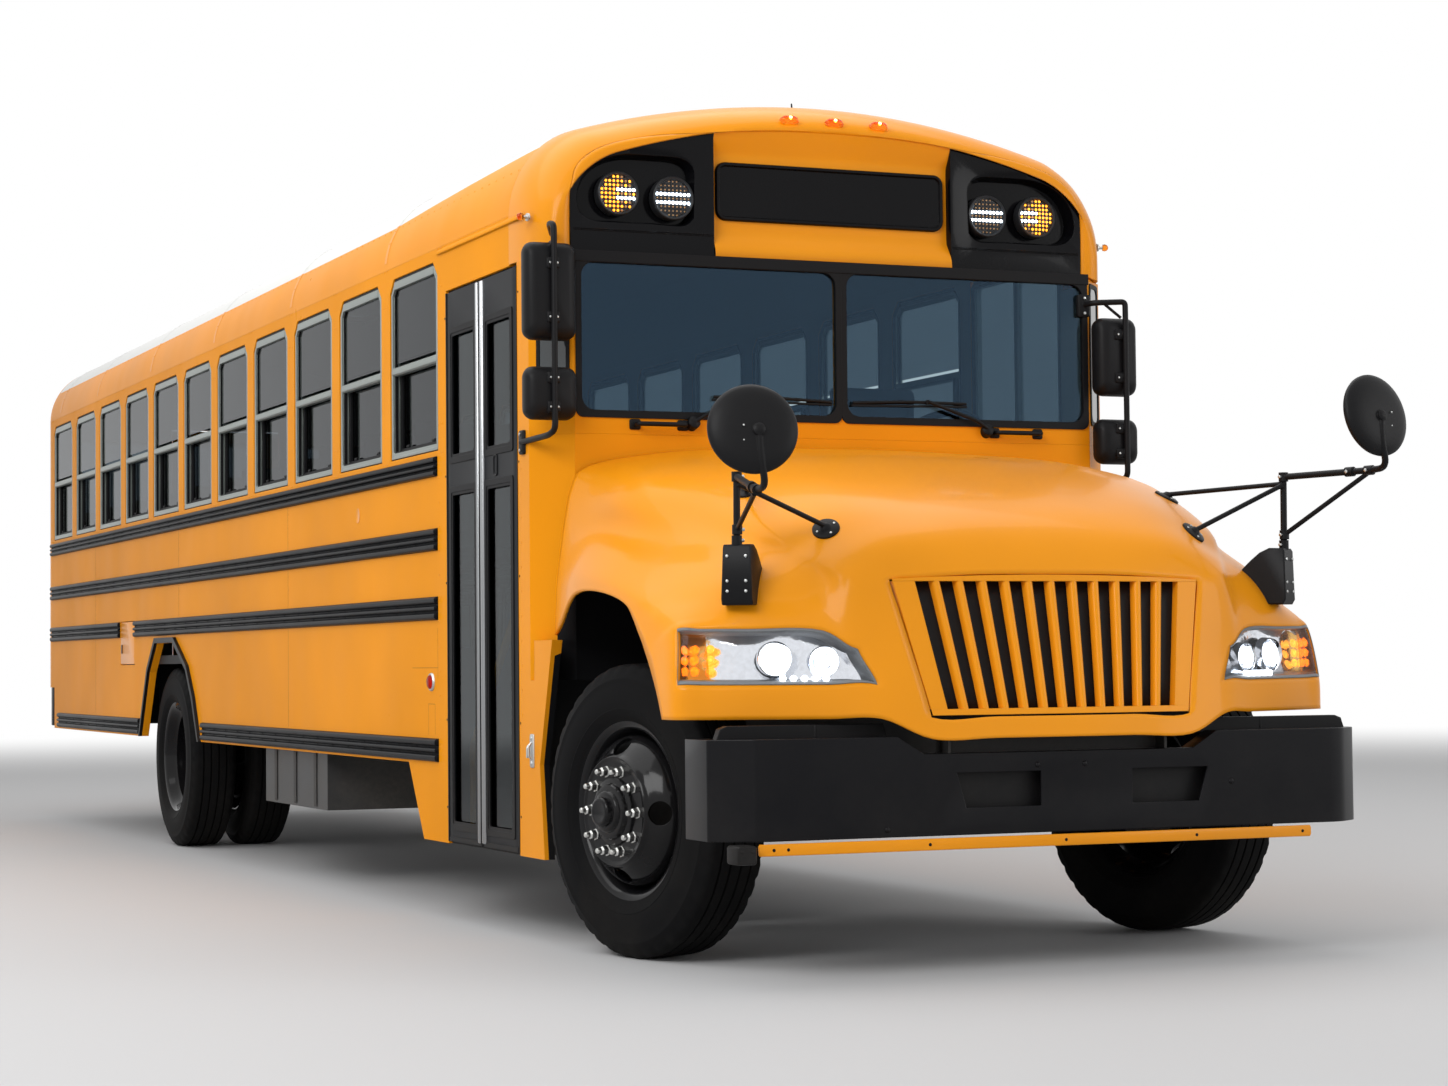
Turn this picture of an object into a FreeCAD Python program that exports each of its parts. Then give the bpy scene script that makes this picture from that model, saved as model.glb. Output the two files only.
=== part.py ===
"""School bus with a hood in front: millimetres, +Z up, the front faces -Y, the driver's side is +X.

Stations (y in every size below) are counted from the front bumper's face.  Each finished piece is
then shifted so that the middle of the whole bus, mirrors included, stands over the origin.
"""
import FreeCAD, Part
import os
import re
import Sketcher

document = FreeCAD.newDocument("school_bus")
sizes = document.addObject("Spreadsheet::Sheet", "Sizes")
sub_parts = []

# ---------------------------------------------------------------- driving dimensions
# name, millimetres (or degrees, or a count), what it is
SIZES = (
    ("front_reach", 208, "from the bumper's face forward to the crossview mirrors"),
    ("rear_reach", 11950, "from the bumper's face back to the rear bumper's face"),
    ("bumper_out", 110, "from the rear wall back to the rear bumper's face"),
    ("body_half", 1220, "half the width over the side panels"),
    ("panel", 40, "thickness of a body wall with its lining"),
    ("skirt_low", 616, "lower edge of the side skirts"),
    ("step_low", 305, "lower edge of the entry door and of the panels beside it"),
    ("eave", 2720, "where the side walls end and the roof begins"),
    ("crown", 3200, "top of the roof at its middle"),
    ("shoulder_in", 230, "from the side to where the roof's corner curve meets its crown curve"),
    ("shoulder_drop", 145, "how far that line is below the crown"),
    ("corner_in", 70, "from the side to the middle of the roof's corner curve"),
    ("corner_drop", 270, "how far that middle is below the crown"),
    ("tyre_radius", 510, "radius of a tyre, road to axle"),
    ("tyre_wide", 270, "width of one tyre"),
    ("rim_radius", 300, "radius of the rim's lip"),
    ("tyre_clear", 20, "from a tyre's top up to the cabin floor"),
    ("side_clear", 50, "from an outer tyre out to the side panels' face"),
    ("twin_clear", 65, "between two twin tyres"),
    ("floor_thick", 50, "thickness of the cabin floor"),
    ("cowl_face", 1660, "front face of the cowl, behind the hood"),
    ("cowl_slant", 140, "from there back to where the cowl's slanted corner meets the side"),
    ("cowl_corner", 130, "from the side in to the cowl's flat front"),
    ("cowl_high", 1870, "top of the cowl and foot of the windshield frame"),
    ("cowl_low", 960, "lower edge of the firewall"),
    ("pillar", 130, "from the cowl's corner back to the entry doorway"),
    ("door_wide", 880, "width of the entry doorway"),
    ("door_high", 2530, "top of the entry doorway"),
    ("cap_lean", 30, "how far the front cap stands behind the cowl's face"),
    ("cap_deep", 360, "from the cowl's face back to the cap's rear edge"),
    ("cap_low", 2535, "lower edge of the front cap"),
    ("windshield_low", 1955, "lower edge of the windshield opening"),
    ("windshield_high", 2512, "upper edge of the windshield opening"),
    ("windshield_in", 155, "from the side in to the windshield opening"),
    ("divider_half", 18, "half the width of the windshield's centre bar"),
    ("pane", 6, "thickness of a glass pane"),
    ("window_post", 115, "from the doorway back to the first passenger window"),
    ("window_wide", 680, "width of one passenger window"),
    ("window_pitch", 809.7, "distance from one passenger window to the next"),
    ("window_low", 1893, "sill of the side windows"),
    ("window_high", 2670, "head of the side windows"),
    ("window_split", 2273, "height of the bar between the two sashes"),
    ("rear_post", 100, "least width of wall behind the last window"),
    ("sash", 30, "width of a sash bar"),
    ("corner_cut", 60, "cut across the upper corners of a side window"),
    ("driver_post", 20, "from the cap's rear edge back to the driver's window"),
    ("driver_window_wide", 790, "width of the driver's side window"),
    ("rail_proud", 18, "how far a rub rail stands out from the side"),
    ("rail_gap", 127, "from the doorway back to the rub rails"),
    ("rail_end", 60, "from the rub rails' rear end to the rear wall"),
    ("wheel_clear", 80, "from the cowl's face forward to the front tyre"),
    ("wheelbase", 7130, "from the front axle to the rear axle"),
    ("kingpin_in", 135, "from a tyre's middle in to its steering kingpin"),
    ("rest_steer", 13, "degrees that the front wheels are turned to the left as it stands"),
    ("frame_half", 432, "half the width over the frame rails"),
    ("frame_rise", 150, "from the axles up to the frame rails"),
    ("frame_deep", 254, "height of the frame rails"),
    ("frame_flange", 76, "width of a frame rail's flange"),
    ("frame_web", 10, "thickness of the frame rails' steel"),
    ("frame_front", 60, "front end of the frame rails"),
    ("frame_end", 200, "from the frame rails' rear end to the rear bumper's face"),
    ("bumper_low", 453, "lower edge of the front bumper"),
    ("bumper_high", 775, "upper edge of the front bumper"),
    ("bumper_corner", 122, "from the side panels' face in to the front bumper's flat face"),
    ("bumper_over", 5, "from the side panels' face out to the front bumper's ends"),
    ("bumper_slant", 95, "depth of the front bumper's slanted corners"),
    ("bumper_wing", 280, "how far back the front bumper's ends run"),
    ("bumper_steel", 12, "thickness of the bumper steel"),
    ("rear_bumper_low", 630, "lower edge of the rear bumper"),
    ("rear_bumper_high", 890, "upper edge of the rear bumper"),
    ("rear_bumper_wrap", 150, "how far the rear bumper runs forward along the sides"),
    ("rear_bumper_in", 10, "from the side panels' face in to the rear bumper's ends"),
    ("plate_pitch", 177.8, "between the two bolts of a licence plate"),
    ("plate_hole", 3.5, "radius of those bolt holes"),
    ("plate_drop", 100, "from a bumper's upper edge down to the plate's bolts"),
    ("stud_circle", 285.75, "diameter of the circle of wheel studs"),
    ("stud_radius", 11, "radius of a wheel stud"),
    ("hood_wall", 16, "thickness of the hood"),
    ("hood_gap", 14, "between the hood's rear edge and the cowl's face"),
    ("hood_low", 835, "lower edge of the hood ahead of the front wheels"),
    ("lip_low", 768, "lower edge of the lip below the grille"),
    ("lip_half", 540, "half the width of that lip"),
    ("gap", 10, "gap round a moving panel"),
    ("rear_door_half", 385, "half the width of the rear doorway"),
    ("rear_door_high", 2680, "top of the rear doorway"),
    ("rear_pane_in", 500, "from the middle out to a rear window"),
    ("rear_pane_wide", 560, "width of a rear window"),
    ("rear_pane_high", 700, "height of a rear window"),
    ("leaf_thick", 35, "thickness of a door leaf"),
    ("fuel_gap", 207, "from the rear wheel arch back to the fuel door"),
    ("fuel_wide", 423, "width of the fuel door's opening"),
    ("fuel_low", 1037, "lower edge of the fuel door's opening"),
    ("fuel_high", 263, "height of the fuel door's opening"),
    ("hatch_half", 300, "half the side of a roof hatch"),
    ("hatch_thick", 45, "thickness of a roof hatch"),
    ("coaming", 30, "width of the raised frame under a roof hatch"),
    ("seat_gap", 440, "from the doorway back to the first seat's backrest"),
    ("seat_pitch", 770, "distance from one seat to the next"),
    ("seat_wide", 950, "width of one passenger seat"),
    ("seat_room", 600, "least distance from a seat's backrest to the rear wall"),
)
# what follows from them
FOLLOWS = {
    "body_back": "rear_reach - bumper_out",
    "inner_half": "body_half - panel",
    "floor_high": "2 * tyre_radius + tyre_clear + floor_thick",
    "track_half": "body_half - side_clear - tyre_wide / 2",
    "twin_gap": "tyre_wide + twin_clear",
    "kingpin_half": "track_half - kingpin_in",
    "cowl_bend": "cowl_face + cowl_slant",
    "cowl_flat": "body_half - cowl_corner",
    "door_front": "cowl_bend + pillar",
    "door_back": "door_front + door_wide",
    "cap_back": "cowl_face + cap_deep",
    "windshield_half": "body_half - windshield_in",
    "window_front": "door_back + window_post",
    "window_count": "floor((body_back - rear_post - window_wide - window_front) / window_pitch) + 1",
    "driver_window": "cap_back + driver_post",
    "rail_front": "door_back + rail_gap",
    "rail_back": "body_back - rail_end",
    "front_axle": "cowl_face - wheel_clear - tyre_radius",
    "rear_axle": "front_axle + wheelbase",
    "bumper_half": "body_half - bumper_corner",
    "bumper_side": "body_half + bumper_over",
    "arch_front": "rear_axle - 934",
    "arch_back": "rear_axle + 590",
    "fuel_front": "arch_back + fuel_gap",
    "fuel_back": "fuel_front + fuel_wide",
    "frame_low": "tyre_radius + frame_rise",
    "frame_high": "frame_low + frame_deep",
    "frame_back": "rear_reach - frame_end",
    "hood_back": "cowl_face - hood_gap",
    "hatch_front": "door_back + 1490",
    "hatch_rear": "body_back - 2940",
    "seat_front": "door_back + seat_gap",
    "seat_count": "floor((body_back - seat_room - seat_front) / seat_pitch) + 1",
}

for row, (name, value, meaning) in enumerate(SIZES, start=1):
    sizes.set("A%d" % row, meaning)
    sizes.set("B%d" % row, str(value))
    sizes.setAlias("B%d" % row, name)
document.recompute()
ALIASES = {row[0] for row in SIZES}


def bound(text):
    """An expression in which each size's name reads its cell."""
    def word(found):
        name = found.group()
        if name in FOLLOWS:
            return "(%s)" % bound(FOLLOWS[name])
        return "Sizes." + name if name in ALIASES else name
    return re.sub(r"[a-z_]+", word, str(text))


def number(text):
    """The value that such an expression has now."""
    value = sizes.evalExpression(bound(text))
    return float(getattr(value, "Value", value))


# ---------------------------------------------------------------- ways of making a shape
MIDDLE = "(front_reach - rear_reach) / 2"


def sub_part(shape, label, at=("0", "0", "0"), turn="0"):
    """Give a finished piece its label and its place, and keep it for the check and the files."""
    shape.Label = label
    x, y, z = at
    shape.setExpression("Placement", bound("placement(vector(%s; %s + %s; %s); vector(0; 0; 1); %s)"
                                           % (x, y, MIDDLE, z, turn)))
    sub_parts.append(shape)
    return shape


def box(name, x, y, z, size_x, size_y, size_z):
    """A block from its lowest corner and its three sizes."""
    block = document.addObject("Part::Box", name)
    for prop, text in (("Length", size_x), ("Width", size_y), ("Height", size_z),
                       ("Placement.Base.x", x), ("Placement.Base.y", y), ("Placement.Base.z", z)):
        block.setExpression(prop, bound(text))
    return block


TURNS = {"z": FreeCAD.Rotation(), "x": FreeCAD.Rotation(FreeCAD.Vector(0, 1, 0), 90),
         "y": FreeCAD.Rotation(FreeCAD.Vector(1, 0, 0), -90)}


def rod(name, radius, length, x, y, z, axis="z"):
    """A round bar from the middle of its lower end, along one of the three directions."""
    bar = document.addObject("Part::Cylinder", name)
    bar.Placement.Rotation = TURNS[axis]
    for prop, text in (("Radius", radius), ("Height", length),
                       ("Placement.Base.x", x), ("Placement.Base.y", y), ("Placement.Base.z", z)):
        bar.setExpression(prop, bound(text))
    return bar


def together(name, pieces):
    """Several pieces of one kind, kept apart, as one object."""
    compound = document.addObject("Part::Compound", name)
    compound.Links = pieces
    return compound


def joined(name, pieces):
    """Pieces welded into one."""
    fusion = document.addObject("Part::MultiFuse", name)
    fusion.Shapes = pieces
    return fusion


def less(name, base, tools):
    """A piece with others taken out of it."""
    cut = document.addObject("Part::Cut", name)
    cut.Base = base
    cut.Tool = tools[0] if len(tools) == 1 else together(name + "_tools", tools)
    return cut


def mirrored(name, source):
    """The same piece on the other side of the bus."""
    copy = document.addObject("Part::Mirroring", name)
    copy.Source = source
    copy.Normal = (1, 0, 0)
    return copy


def both_sides(name, source):
    """A piece and its mirror image as one object."""
    return together(name, [source, mirrored(name + "_other", source)])


def blank(body, role, start):
    """An empty sketch on one of a body's planes, start away from it."""
    sketch = body.newObject("Sketcher::SketchObject", body.Name + "_sketch")
    plane = [item for item in body.Origin.OriginFeatures if item.Role == role][0]
    sketch.AttachmentSupport = [(plane, "")]
    sketch.MapMode = "FlatFace"
    sign = "-" if role == "XZ_Plane" else ""
    sketch.setExpression("AttachmentOffset.Base.z", bound("%s(%s)" % (sign, start)))
    return sketch


def drawn(body, role, outlines, start):
    """Closed outlines on such a sketch; each corner is tied to the sheet."""
    sketch = blank(body, role, start)
    for corners in outlines:
        first = sketch.GeometryCount
        spots = [FreeCAD.Vector(number(across), number(up), 0) for across, up in corners]
        for spot, after in zip(spots, spots[1:] + spots[:1]):
            sketch.addGeometry(Part.LineSegment(spot, after), False)
        for turn, (across, up) in enumerate(corners):
            edge, following = first + turn, first + (turn + 1) % len(corners)
            sketch.addConstraint(Sketcher.Constraint("Coincident", edge, 2, following, 1))
            for kind, text in (("DistanceX", across), ("DistanceY", up)):
                rule = sketch.addConstraint(Sketcher.Constraint(kind, -1, 1, edge, 1, number(text)))
                sketch.setExpression("Constraints[%d]" % rule, bound(text))
    return sketch


def padded(body, role, outlines, start, length):
    """Add outlines to a body, from start along the plane's own direction."""
    return raised(body, role, drawn(body, role, outlines, start), length)


def raised(body, role, sketch, length):
    """Add a sketch to a body, along its plane's own direction."""
    pad = body.newObject("PartDesign::Pad", body.Name + "_pad")
    pad.Profile = sketch
    pad.Reversed = role == "XZ_Plane"
    pad.setExpression("Length", bound(length))
    body.Tip = pad
    return pad


def prism(name, role, corners, start, length, also=()):
    """A body padded from one outline, and any others with it."""
    body = document.addObject("PartDesign::Body", name)
    padded(body, role, [corners] + list(also), start, length)
    return body


def turned(name, profiles):
    """A body turned about the X direction; each profile is (along X, away from the axis)."""
    body = document.addObject("PartDesign::Body", name)
    for profile in profiles:
        sketch = drawn(body, "XZ_Plane", [profile], "0")
        ring = body.newObject("PartDesign::Revolution", name + "_ring")
        ring.Profile = sketch
        ring.ReferenceAxis = (sketch, ["H_Axis"])
        ring.Angle = 360
        body.Tip = ring
    return body


def rounds(body, role, centres, radius, start):
    """Circles of one radius on such a sketch."""
    sketch = blank(body, role, start)
    for circle, centre in enumerate(centres):
        spot = FreeCAD.Vector(number(centre[0]), number(centre[1]), 0)
        sketch.addGeometry(Part.Circle(spot, FreeCAD.Vector(0, 0, 1), number(radius)), False)
        for kind, text in (("DistanceX", centre[0]), ("DistanceY", centre[1])):
            rule = sketch.addConstraint(Sketcher.Constraint(kind, -1, 1, circle, 3, number(text)))
            sketch.setExpression("Constraints[%d]" % rule, bound(text))
        rule = sketch.addConstraint(Sketcher.Constraint("Radius", circle, number(radius)))
        sketch.setExpression("Constraints[%d]" % rule, bound(radius))
    return sketch


def pocket(body, role, corners, start, length):
    """Take an outline out of a body, from start along the plane's own direction."""
    return taken(body, role, drawn(body, role, [corners], start), length)


def taken(body, role, sketch, length):
    """Take a sketch out of a body, along its plane's own direction."""
    hole = body.newObject("PartDesign::Pocket", body.Name + "_pocket")
    hole.Profile = sketch
    hole.Reversed = role != "XZ_Plane"
    hole.setExpression("Length", bound(length))
    body.Tip = hole
    return hole


def around(body, feature, count):
    """The same feature again round the body's X direction."""
    pattern = body.newObject("PartDesign::PolarPattern", body.Name + "_round")
    pattern.Originals = [feature]
    pattern.Axis = (feature.Profile[0], ["N_Axis"])
    pattern.Angle = 360
    pattern.Occurrences = count
    body.Tip = pattern
    return pattern


def repeated(body, features, pitch, count):
    """The same features again along their sketch's level direction."""
    pattern = body.newObject("PartDesign::LinearPattern", body.Name + "_pattern")
    pattern.Originals = features
    pattern.Direction = (features[0].Profile[0], ["H_Axis"])
    pattern.setExpression("Length", bound("(%s) * (%s - 1)" % (pitch, count)))
    pattern.setExpression("Occurrences", bound(count))
    body.Tip = pattern
    return pattern


def oblong(x, z, wide, high):
    """The four corners of an oblong from its lowest corner."""
    right, top = "%s + (%s)" % (x, wide), "%s + (%s)" % (z, high)
    return [(x, z), (right, z), (right, top), (x, top)]


def symmetric(half):
    """An outline from its right half: the same corners again with x turned round."""
    return half + [("-(%s)" % across, up) for across, up in reversed(half)]


def points(rows, along, up):
    """Corners from rows of two offsets, each counted from a named place."""
    return [("%s + (%s)" % (along, a), "%s + (%s)" % (up, b)) for a, b in rows]


# ---------------------------------------------------------------- side walls
# the rear wheel arch from back to front: along from the axle and up from it; the feet are on the skirt's edge
ARCH_TOP = ((460, 321), (360, 485), (160, 650), (-320, 650), (-647, 495), (-795, 331))
ARCH = [("arch_back", "skirt_low")] + points(ARCH_TOP, "rear_axle", "tyre_radius") + [("arch_front", "skirt_low")]
WINDOW = [("window_front", "window_low"), ("window_front + window_wide", "window_low"),
          ("window_front + window_wide", "window_high - corner_cut"),
          ("window_front + window_wide - corner_cut", "window_high"),
          ("window_front + corner_cut", "window_high"), ("window_front", "window_high - corner_cut")]
WRAP = "body_back - rear_bumper_wrap - gap / 2"
SKIRT_BACK = [("body_back - panel", "eave"), ("body_back - panel", "rear_bumper_high"), (WRAP, "rear_bumper_high"),
              (WRAP, "skirt_low")] + ARCH
# the panel behind the entry door: how far back its lower edge and its slant reach
STEP_PANEL, STEP_SLANT = 337, 548


def side_wall(name, corners, start):
    """One side of the body with its row of passenger windows cut."""
    wall = prism(name, "YZ_Plane", corners, start, "panel")
    window = pocket(wall, "YZ_Plane", WINDOW, start, "panel")
    repeated(wall, [window], "window_pitch", "window_count")
    return wall


left_wall = side_wall("left_side_wall", SKIRT_BACK + [("door_front", "skirt_low"), ("door_front", "cap_low"),
                      ("cap_back", "cap_low"), ("cap_back", "eave")], "inner_half")
pocket(left_wall, "YZ_Plane", oblong("driver_window", "window_low", "driver_window_wide", "window_high - window_low"),
       "inner_half", "panel")
sub_part(left_wall, "left_side_wall")

right_wall = side_wall("right_side_wall", SKIRT_BACK + [
    ("door_back + %d" % STEP_SLANT, "skirt_low"), ("door_back + %d" % STEP_PANEL, "step_low"),
    ("door_back", "step_low"), ("door_back", "door_high"), ("cap_back", "door_high"), ("cap_back", "eave")],
    "-body_half")
pocket(right_wall, "YZ_Plane", oblong("fuel_front", "fuel_low", "fuel_wide", "fuel_high"), "-body_half", "panel")
sub_part(right_wall, "right_side_wall")

# ---------------------------------------------------------------- roof, cap and rear wall
# how far the inner corner and shoulder points move in and down for each millimetre of wall
CORNER_LEAN, SHOULDER_LEAN = (0.8, 0.5), (0.3, 0.9)


def crown_outline(station, inset, low, narrow=0, drop=0):
    """The body's cross-section at a station, from its lower edge over the roof; inset is the wall."""
    half, top = number("body_half") - narrow, number("crown") - drop
    eave = number("eave") - drop
    corner = (half - number("corner_in") - CORNER_LEAN[0] * inset,
              top - number("corner_drop") - CORNER_LEAN[1] * inset)
    shoulder = (half - number("shoulder_in") - SHOULDER_LEAN[0] * inset,
                top - number("shoulder_drop") - SHOULDER_LEAN[1] * inset)
    spots = [FreeCAD.Vector(x, station, z) for x, z in (
        (half - inset, low), (half - inset, eave), corner, shoulder, (0, top - inset))]
    foot, eave_spot, corner_spot, shoulder_spot, crown_spot = spots
    other = [FreeCAD.Vector(-spot.x, spot.y, spot.z) for spot in spots]
    edges = [Part.LineSegment(other[0], foot), Part.Arc(eave_spot, corner_spot, shoulder_spot),
             Part.Arc(shoulder_spot, crown_spot, other[3]), Part.Arc(other[3], other[2], other[1])]
    if low < eave:
        edges[1:1] = [Part.LineSegment(foot, eave_spot)]
        edges.append(Part.LineSegment(other[1], other[0]))
    return Part.Wire([edge.toShape() for edge in edges])


def slab(wire, length):
    """A flat outline pushed rearward into a solid."""
    return Part.Face(wire).extrude(FreeCAD.Vector(0, length, 0))


def made(label, shape):
    """A piece whose shape comes straight from the sheet's values."""
    feature = document.addObject("Part::Feature", label)
    feature.Shape = shape
    return feature


def block(x, y, z, size_x, size_y, size_z):
    """A plain block for a boolean, from its lowest corner."""
    return Part.makeBox(size_x, size_y, size_z, FreeCAD.Vector(x, y, z))


def strut(start, end, radius):
    """A round bar between two points."""
    start, end = FreeCAD.Vector(*start), FreeCAD.Vector(*end)
    return Part.makeCylinder(radius, (end - start).Length, start, end - start)


def welded(pieces):
    """Shapes fused into one solid."""
    return pieces[0].multiFuse(pieces[1:]).removeSplitter()


def square(half, station, z, high):
    """A square block over the middle of a roof hatch."""
    return block(-half, station - half, z, 2 * half, 2 * half, high)


panel, eave, crown = number("panel"), number("eave"), number("crown")
cap_back, body_back = number("cap_back"), number("body_back")
roof_long = body_back - panel - cap_back
hollow = slab(crown_outline(cap_back, panel, eave), roof_long)
shape = slab(crown_outline(cap_back, 0, eave), roof_long).cut(hollow)
hatch_hole = number("hatch_half - panel")
for hatch in ("front", "rear"):
    station = number("hatch_" + hatch)
    raised_frame = square(hatch_hole + number("coaming"), station, eave, crown - eave)
    shape = shape.fuse(raised_frame.cut(hollow)).cut(square(hatch_hole, station, eave, crown))
sub_part(made("roof", shape.removeSplitter()), "roof")

shape = slab(crown_outline(body_back - panel, 0, number("rear_bumper_high")), panel)
half, low = number("rear_door_half"), number("floor_high")
shape = shape.cut(block(-half, body_back - 2 * panel, low, 2 * half, 3 * panel, number("rear_door_high") - low))
wide = number("rear_pane_wide")
for x in (number("rear_pane_in"), -number("rear_pane_in") - wide):
    shape = shape.cut(block(x, body_back - 2 * panel, number("window_low"), wide, 3 * panel,
                            number("rear_pane_high")))
sub_part(made("rear_wall", shape), "rear_wall")

# from the cowl's face back, how far inside the body's side, how far below the roof's crown, shift of the hollow
CAP = (("cap_lean", 80, 50, 90), ("cap_lean + 160", 0, 16, 40), ("cap_deep", 0, 0, 1))
# the recess round the warning lamps: in from the side to its ends, up from the cap's edge, height, depth
PAN_OUTER, PAN_INNER, PAN_LOW, PAN_HIGH, PAN_DEEP = 140, 715, 105, 290, 35
cowl_face, cap_low, body_half = number("cowl_face"), number("cap_low"), number("body_half")
cap_front = cowl_face + number("cap_lean")
outer_cap = Part.makeLoft([crown_outline(cowl_face + number(back), 0, cap_low, narrow, drop)
                       for back, narrow, drop, shift in CAP], True, True)
inner = Part.makeLoft([crown_outline(cowl_face + number(back) + shift, panel, cap_low, narrow, drop)
                       for back, narrow, drop, shift in CAP], True, True)
shape = outer_cap.cut(inner)
for x in (body_half - PAN_INNER, -(body_half - PAN_OUTER)):
    shape = shape.cut(block(x, cap_front - PAN_DEEP, cap_low + PAN_LOW, PAN_INNER - PAN_OUTER, 2 * PAN_DEEP,
                            PAN_HIGH))
sub_part(made("front_cap", shape), "front_cap")


# ---------------------------------------------------------------- cowl, windshield frame, floor
def wrapped(face, inset):
    """Half the plan of the body's front, flat with slanted corners, from its rear corner."""
    return [("body_half - %s" % inset, "door_front"), ("body_half - %s" % inset, "cowl_bend + %s / 2" % inset),
            ("cowl_flat - %s / 2" % inset, "%s + %s" % (face, inset))]


def hollow_plan(outside, inside):
    """A bent strip from its outer and inner right halves, for both sides at once."""
    return symmetric(outside) + [("-(%s)" % x, y) for x, y in inside] + list(reversed(inside))


OUTER, INNER = wrapped("cowl_face", "0"), wrapped("cowl_face", "panel")
WRAPPED = hollow_plan(OUTER, INNER)
# the legs behind the front wheels: from the cowl's face at the foot, the knee and the top; height of knee and top
LEG_FOOT, LEG_KNEE, LEG_TOP, LEG_REAR = -4, 43, -100, 97
KNEE_HIGH, LEG_HIGH = 650, 1107
pieces = [prism("firewall", "XY_Plane", WRAPPED, "cowl_low", "cowl_high - cowl_low")]
for side, foot, start in (("left", "skirt_low", "inner_half"), ("right", "step_low", "-body_half")):
    leg = [("door_front", "cowl_low"), ("door_front", foot), ("cowl_face + (%d)" % LEG_FOOT, foot),
           ("cowl_face + %d" % LEG_KNEE, str(KNEE_HIGH)), ("cowl_face + (%d)" % LEG_TOP, str(LEG_HIGH)),
           ("cowl_face + %d" % LEG_REAR, str(LEG_HIGH)), ("cowl_face + %d" % LEG_REAR, "cowl_low")]
    pieces.append(prism(side + "_leg", "YZ_Plane", leg, start, "panel"))
sub_part(joined("cowl", pieces), "cowl")

frame = prism("windshield_frame", "XY_Plane", WRAPPED, "cowl_high", "cap_low - cowl_high")
for x in ("-windshield_half", "divider_half"):
    pocket(frame, "XZ_Plane", oblong(x, "windshield_low", "windshield_half - divider_half",
                                     "windshield_high - windshield_low"), "cowl_face - gap", "panel + 3 * gap")
sub_part(frame, "windshield_frame")

STEPS, STEP_DEEP, STEP_STEEL, STAIR_SIDE, DECK_START = 3, 235, 30, 20, 150
RISE = "(floor_high - step_low) / %d" % STEPS
deck = box("deck", "-inner_half", "cowl_face + panel + %d" % DECK_START, "floor_high - floor_thick",
           "2 * inner_half", "body_back - cowl_face - 2 * panel - %d" % DECK_START, "floor_thick")
stair_hole = box("stair_hole", "-body_half", "door_front", "step_low",
                 "panel + %d" % (STEPS * STEP_DEEP + STEP_STEEL), "door_wide", "floor_high")
pieces = [less("cut_deck", deck, [stair_hole])]
for step in range(STEPS):
    inner, high = "-inner_half + %d" % (step * STEP_DEEP), "step_low + %d * %s" % (step, RISE)
    pieces.append(box("tread_%d" % step, inner, "door_front", high, STEP_DEEP + STEP_STEEL, "door_wide", STEP_STEEL))
    pieces.append(box("riser_%d" % step, "%s + %d" % (inner, STEP_DEEP), "door_front", high, STEP_STEEL,
                      "door_wide", RISE))
for side, station in (("front", "door_front - %d" % STAIR_SIDE), ("back", "door_back")):
    pieces.append(box("stair_" + side, "-inner_half", station, "step_low", STEPS * STEP_DEEP + STEP_STEEL,
                      STAIR_SIDE, "floor_high - step_low"))
for side, x in (("left", "frame_half - frame_flange"), ("right", "-frame_half")):
    pieces.append(box("sill_" + side, x, "door_back + 5 * gap", "frame_high", "frame_flange - frame_web",
                      "body_back - door_back - 18 * gap", "floor_high - floor_thick - frame_high"))
sub_part(joined("floor", pieces), "floor")

# ---------------------------------------------------------------- glass and sashes
SASH_LOW = oblong("window_front + sash", "window_low + sash", "window_wide - 2 * sash",
                  "window_split - window_low - 1.5 * sash")
SASH_HIGH = [("window_front + sash", "window_split + sash / 2"),
             ("window_front + window_wide - sash", "window_split + sash / 2"),
             ("window_front + window_wide - sash", "window_high - sash - corner_cut"),
             ("window_front + window_wide - sash - corner_cut", "window_high - sash"),
             ("window_front + sash + corner_cut", "window_high - sash"),
             ("window_front + sash", "window_high - sash - corner_cut")]
SASH_PROUD, PANE_IN, REAR_PANE_IN, SCREEN_IN = 3, 17, 20, 12
sashes = prism("sashes", "YZ_Plane", WINDOW, "body_half - panel / 2", "panel / 2 + %d" % SASH_PROUD,
               [SASH_LOW, SASH_HIGH])
repeated(sashes, [sashes.Tip], "window_pitch", "window_count")
sub_part(both_sides("window_frames", sashes), "window_frames")

side_panes = prism("side_panes", "YZ_Plane", SASH_LOW, "body_half - %d" % PANE_IN, "pane", [SASH_HIGH])
repeated(side_panes, [side_panes.Tip], "window_pitch", "window_count")
driver_pane = box("driver_pane", "body_half - %d" % PANE_IN, "driver_window", "window_low", "pane",
                  "driver_window_wide", "window_high - window_low")
screens = [box("screen_" + side, x, "cowl_face + %d" % SCREEN_IN, "windshield_low",
               "windshield_half - divider_half", "pane", "windshield_high - windshield_low")
           for side, x in (("right", "-windshield_half"), ("left", "divider_half"))]
rear_pane = box("rear_pane", "rear_pane_in", "body_back - %d" % REAR_PANE_IN, "window_low", "rear_pane_wide", "pane",
                "rear_pane_high")
sub_part(together("window_glass", [both_sides("passenger_panes", side_panes), driver_pane] + screens
                  + [both_sides("rear_panes", rear_pane)]), "window_glass")

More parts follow.
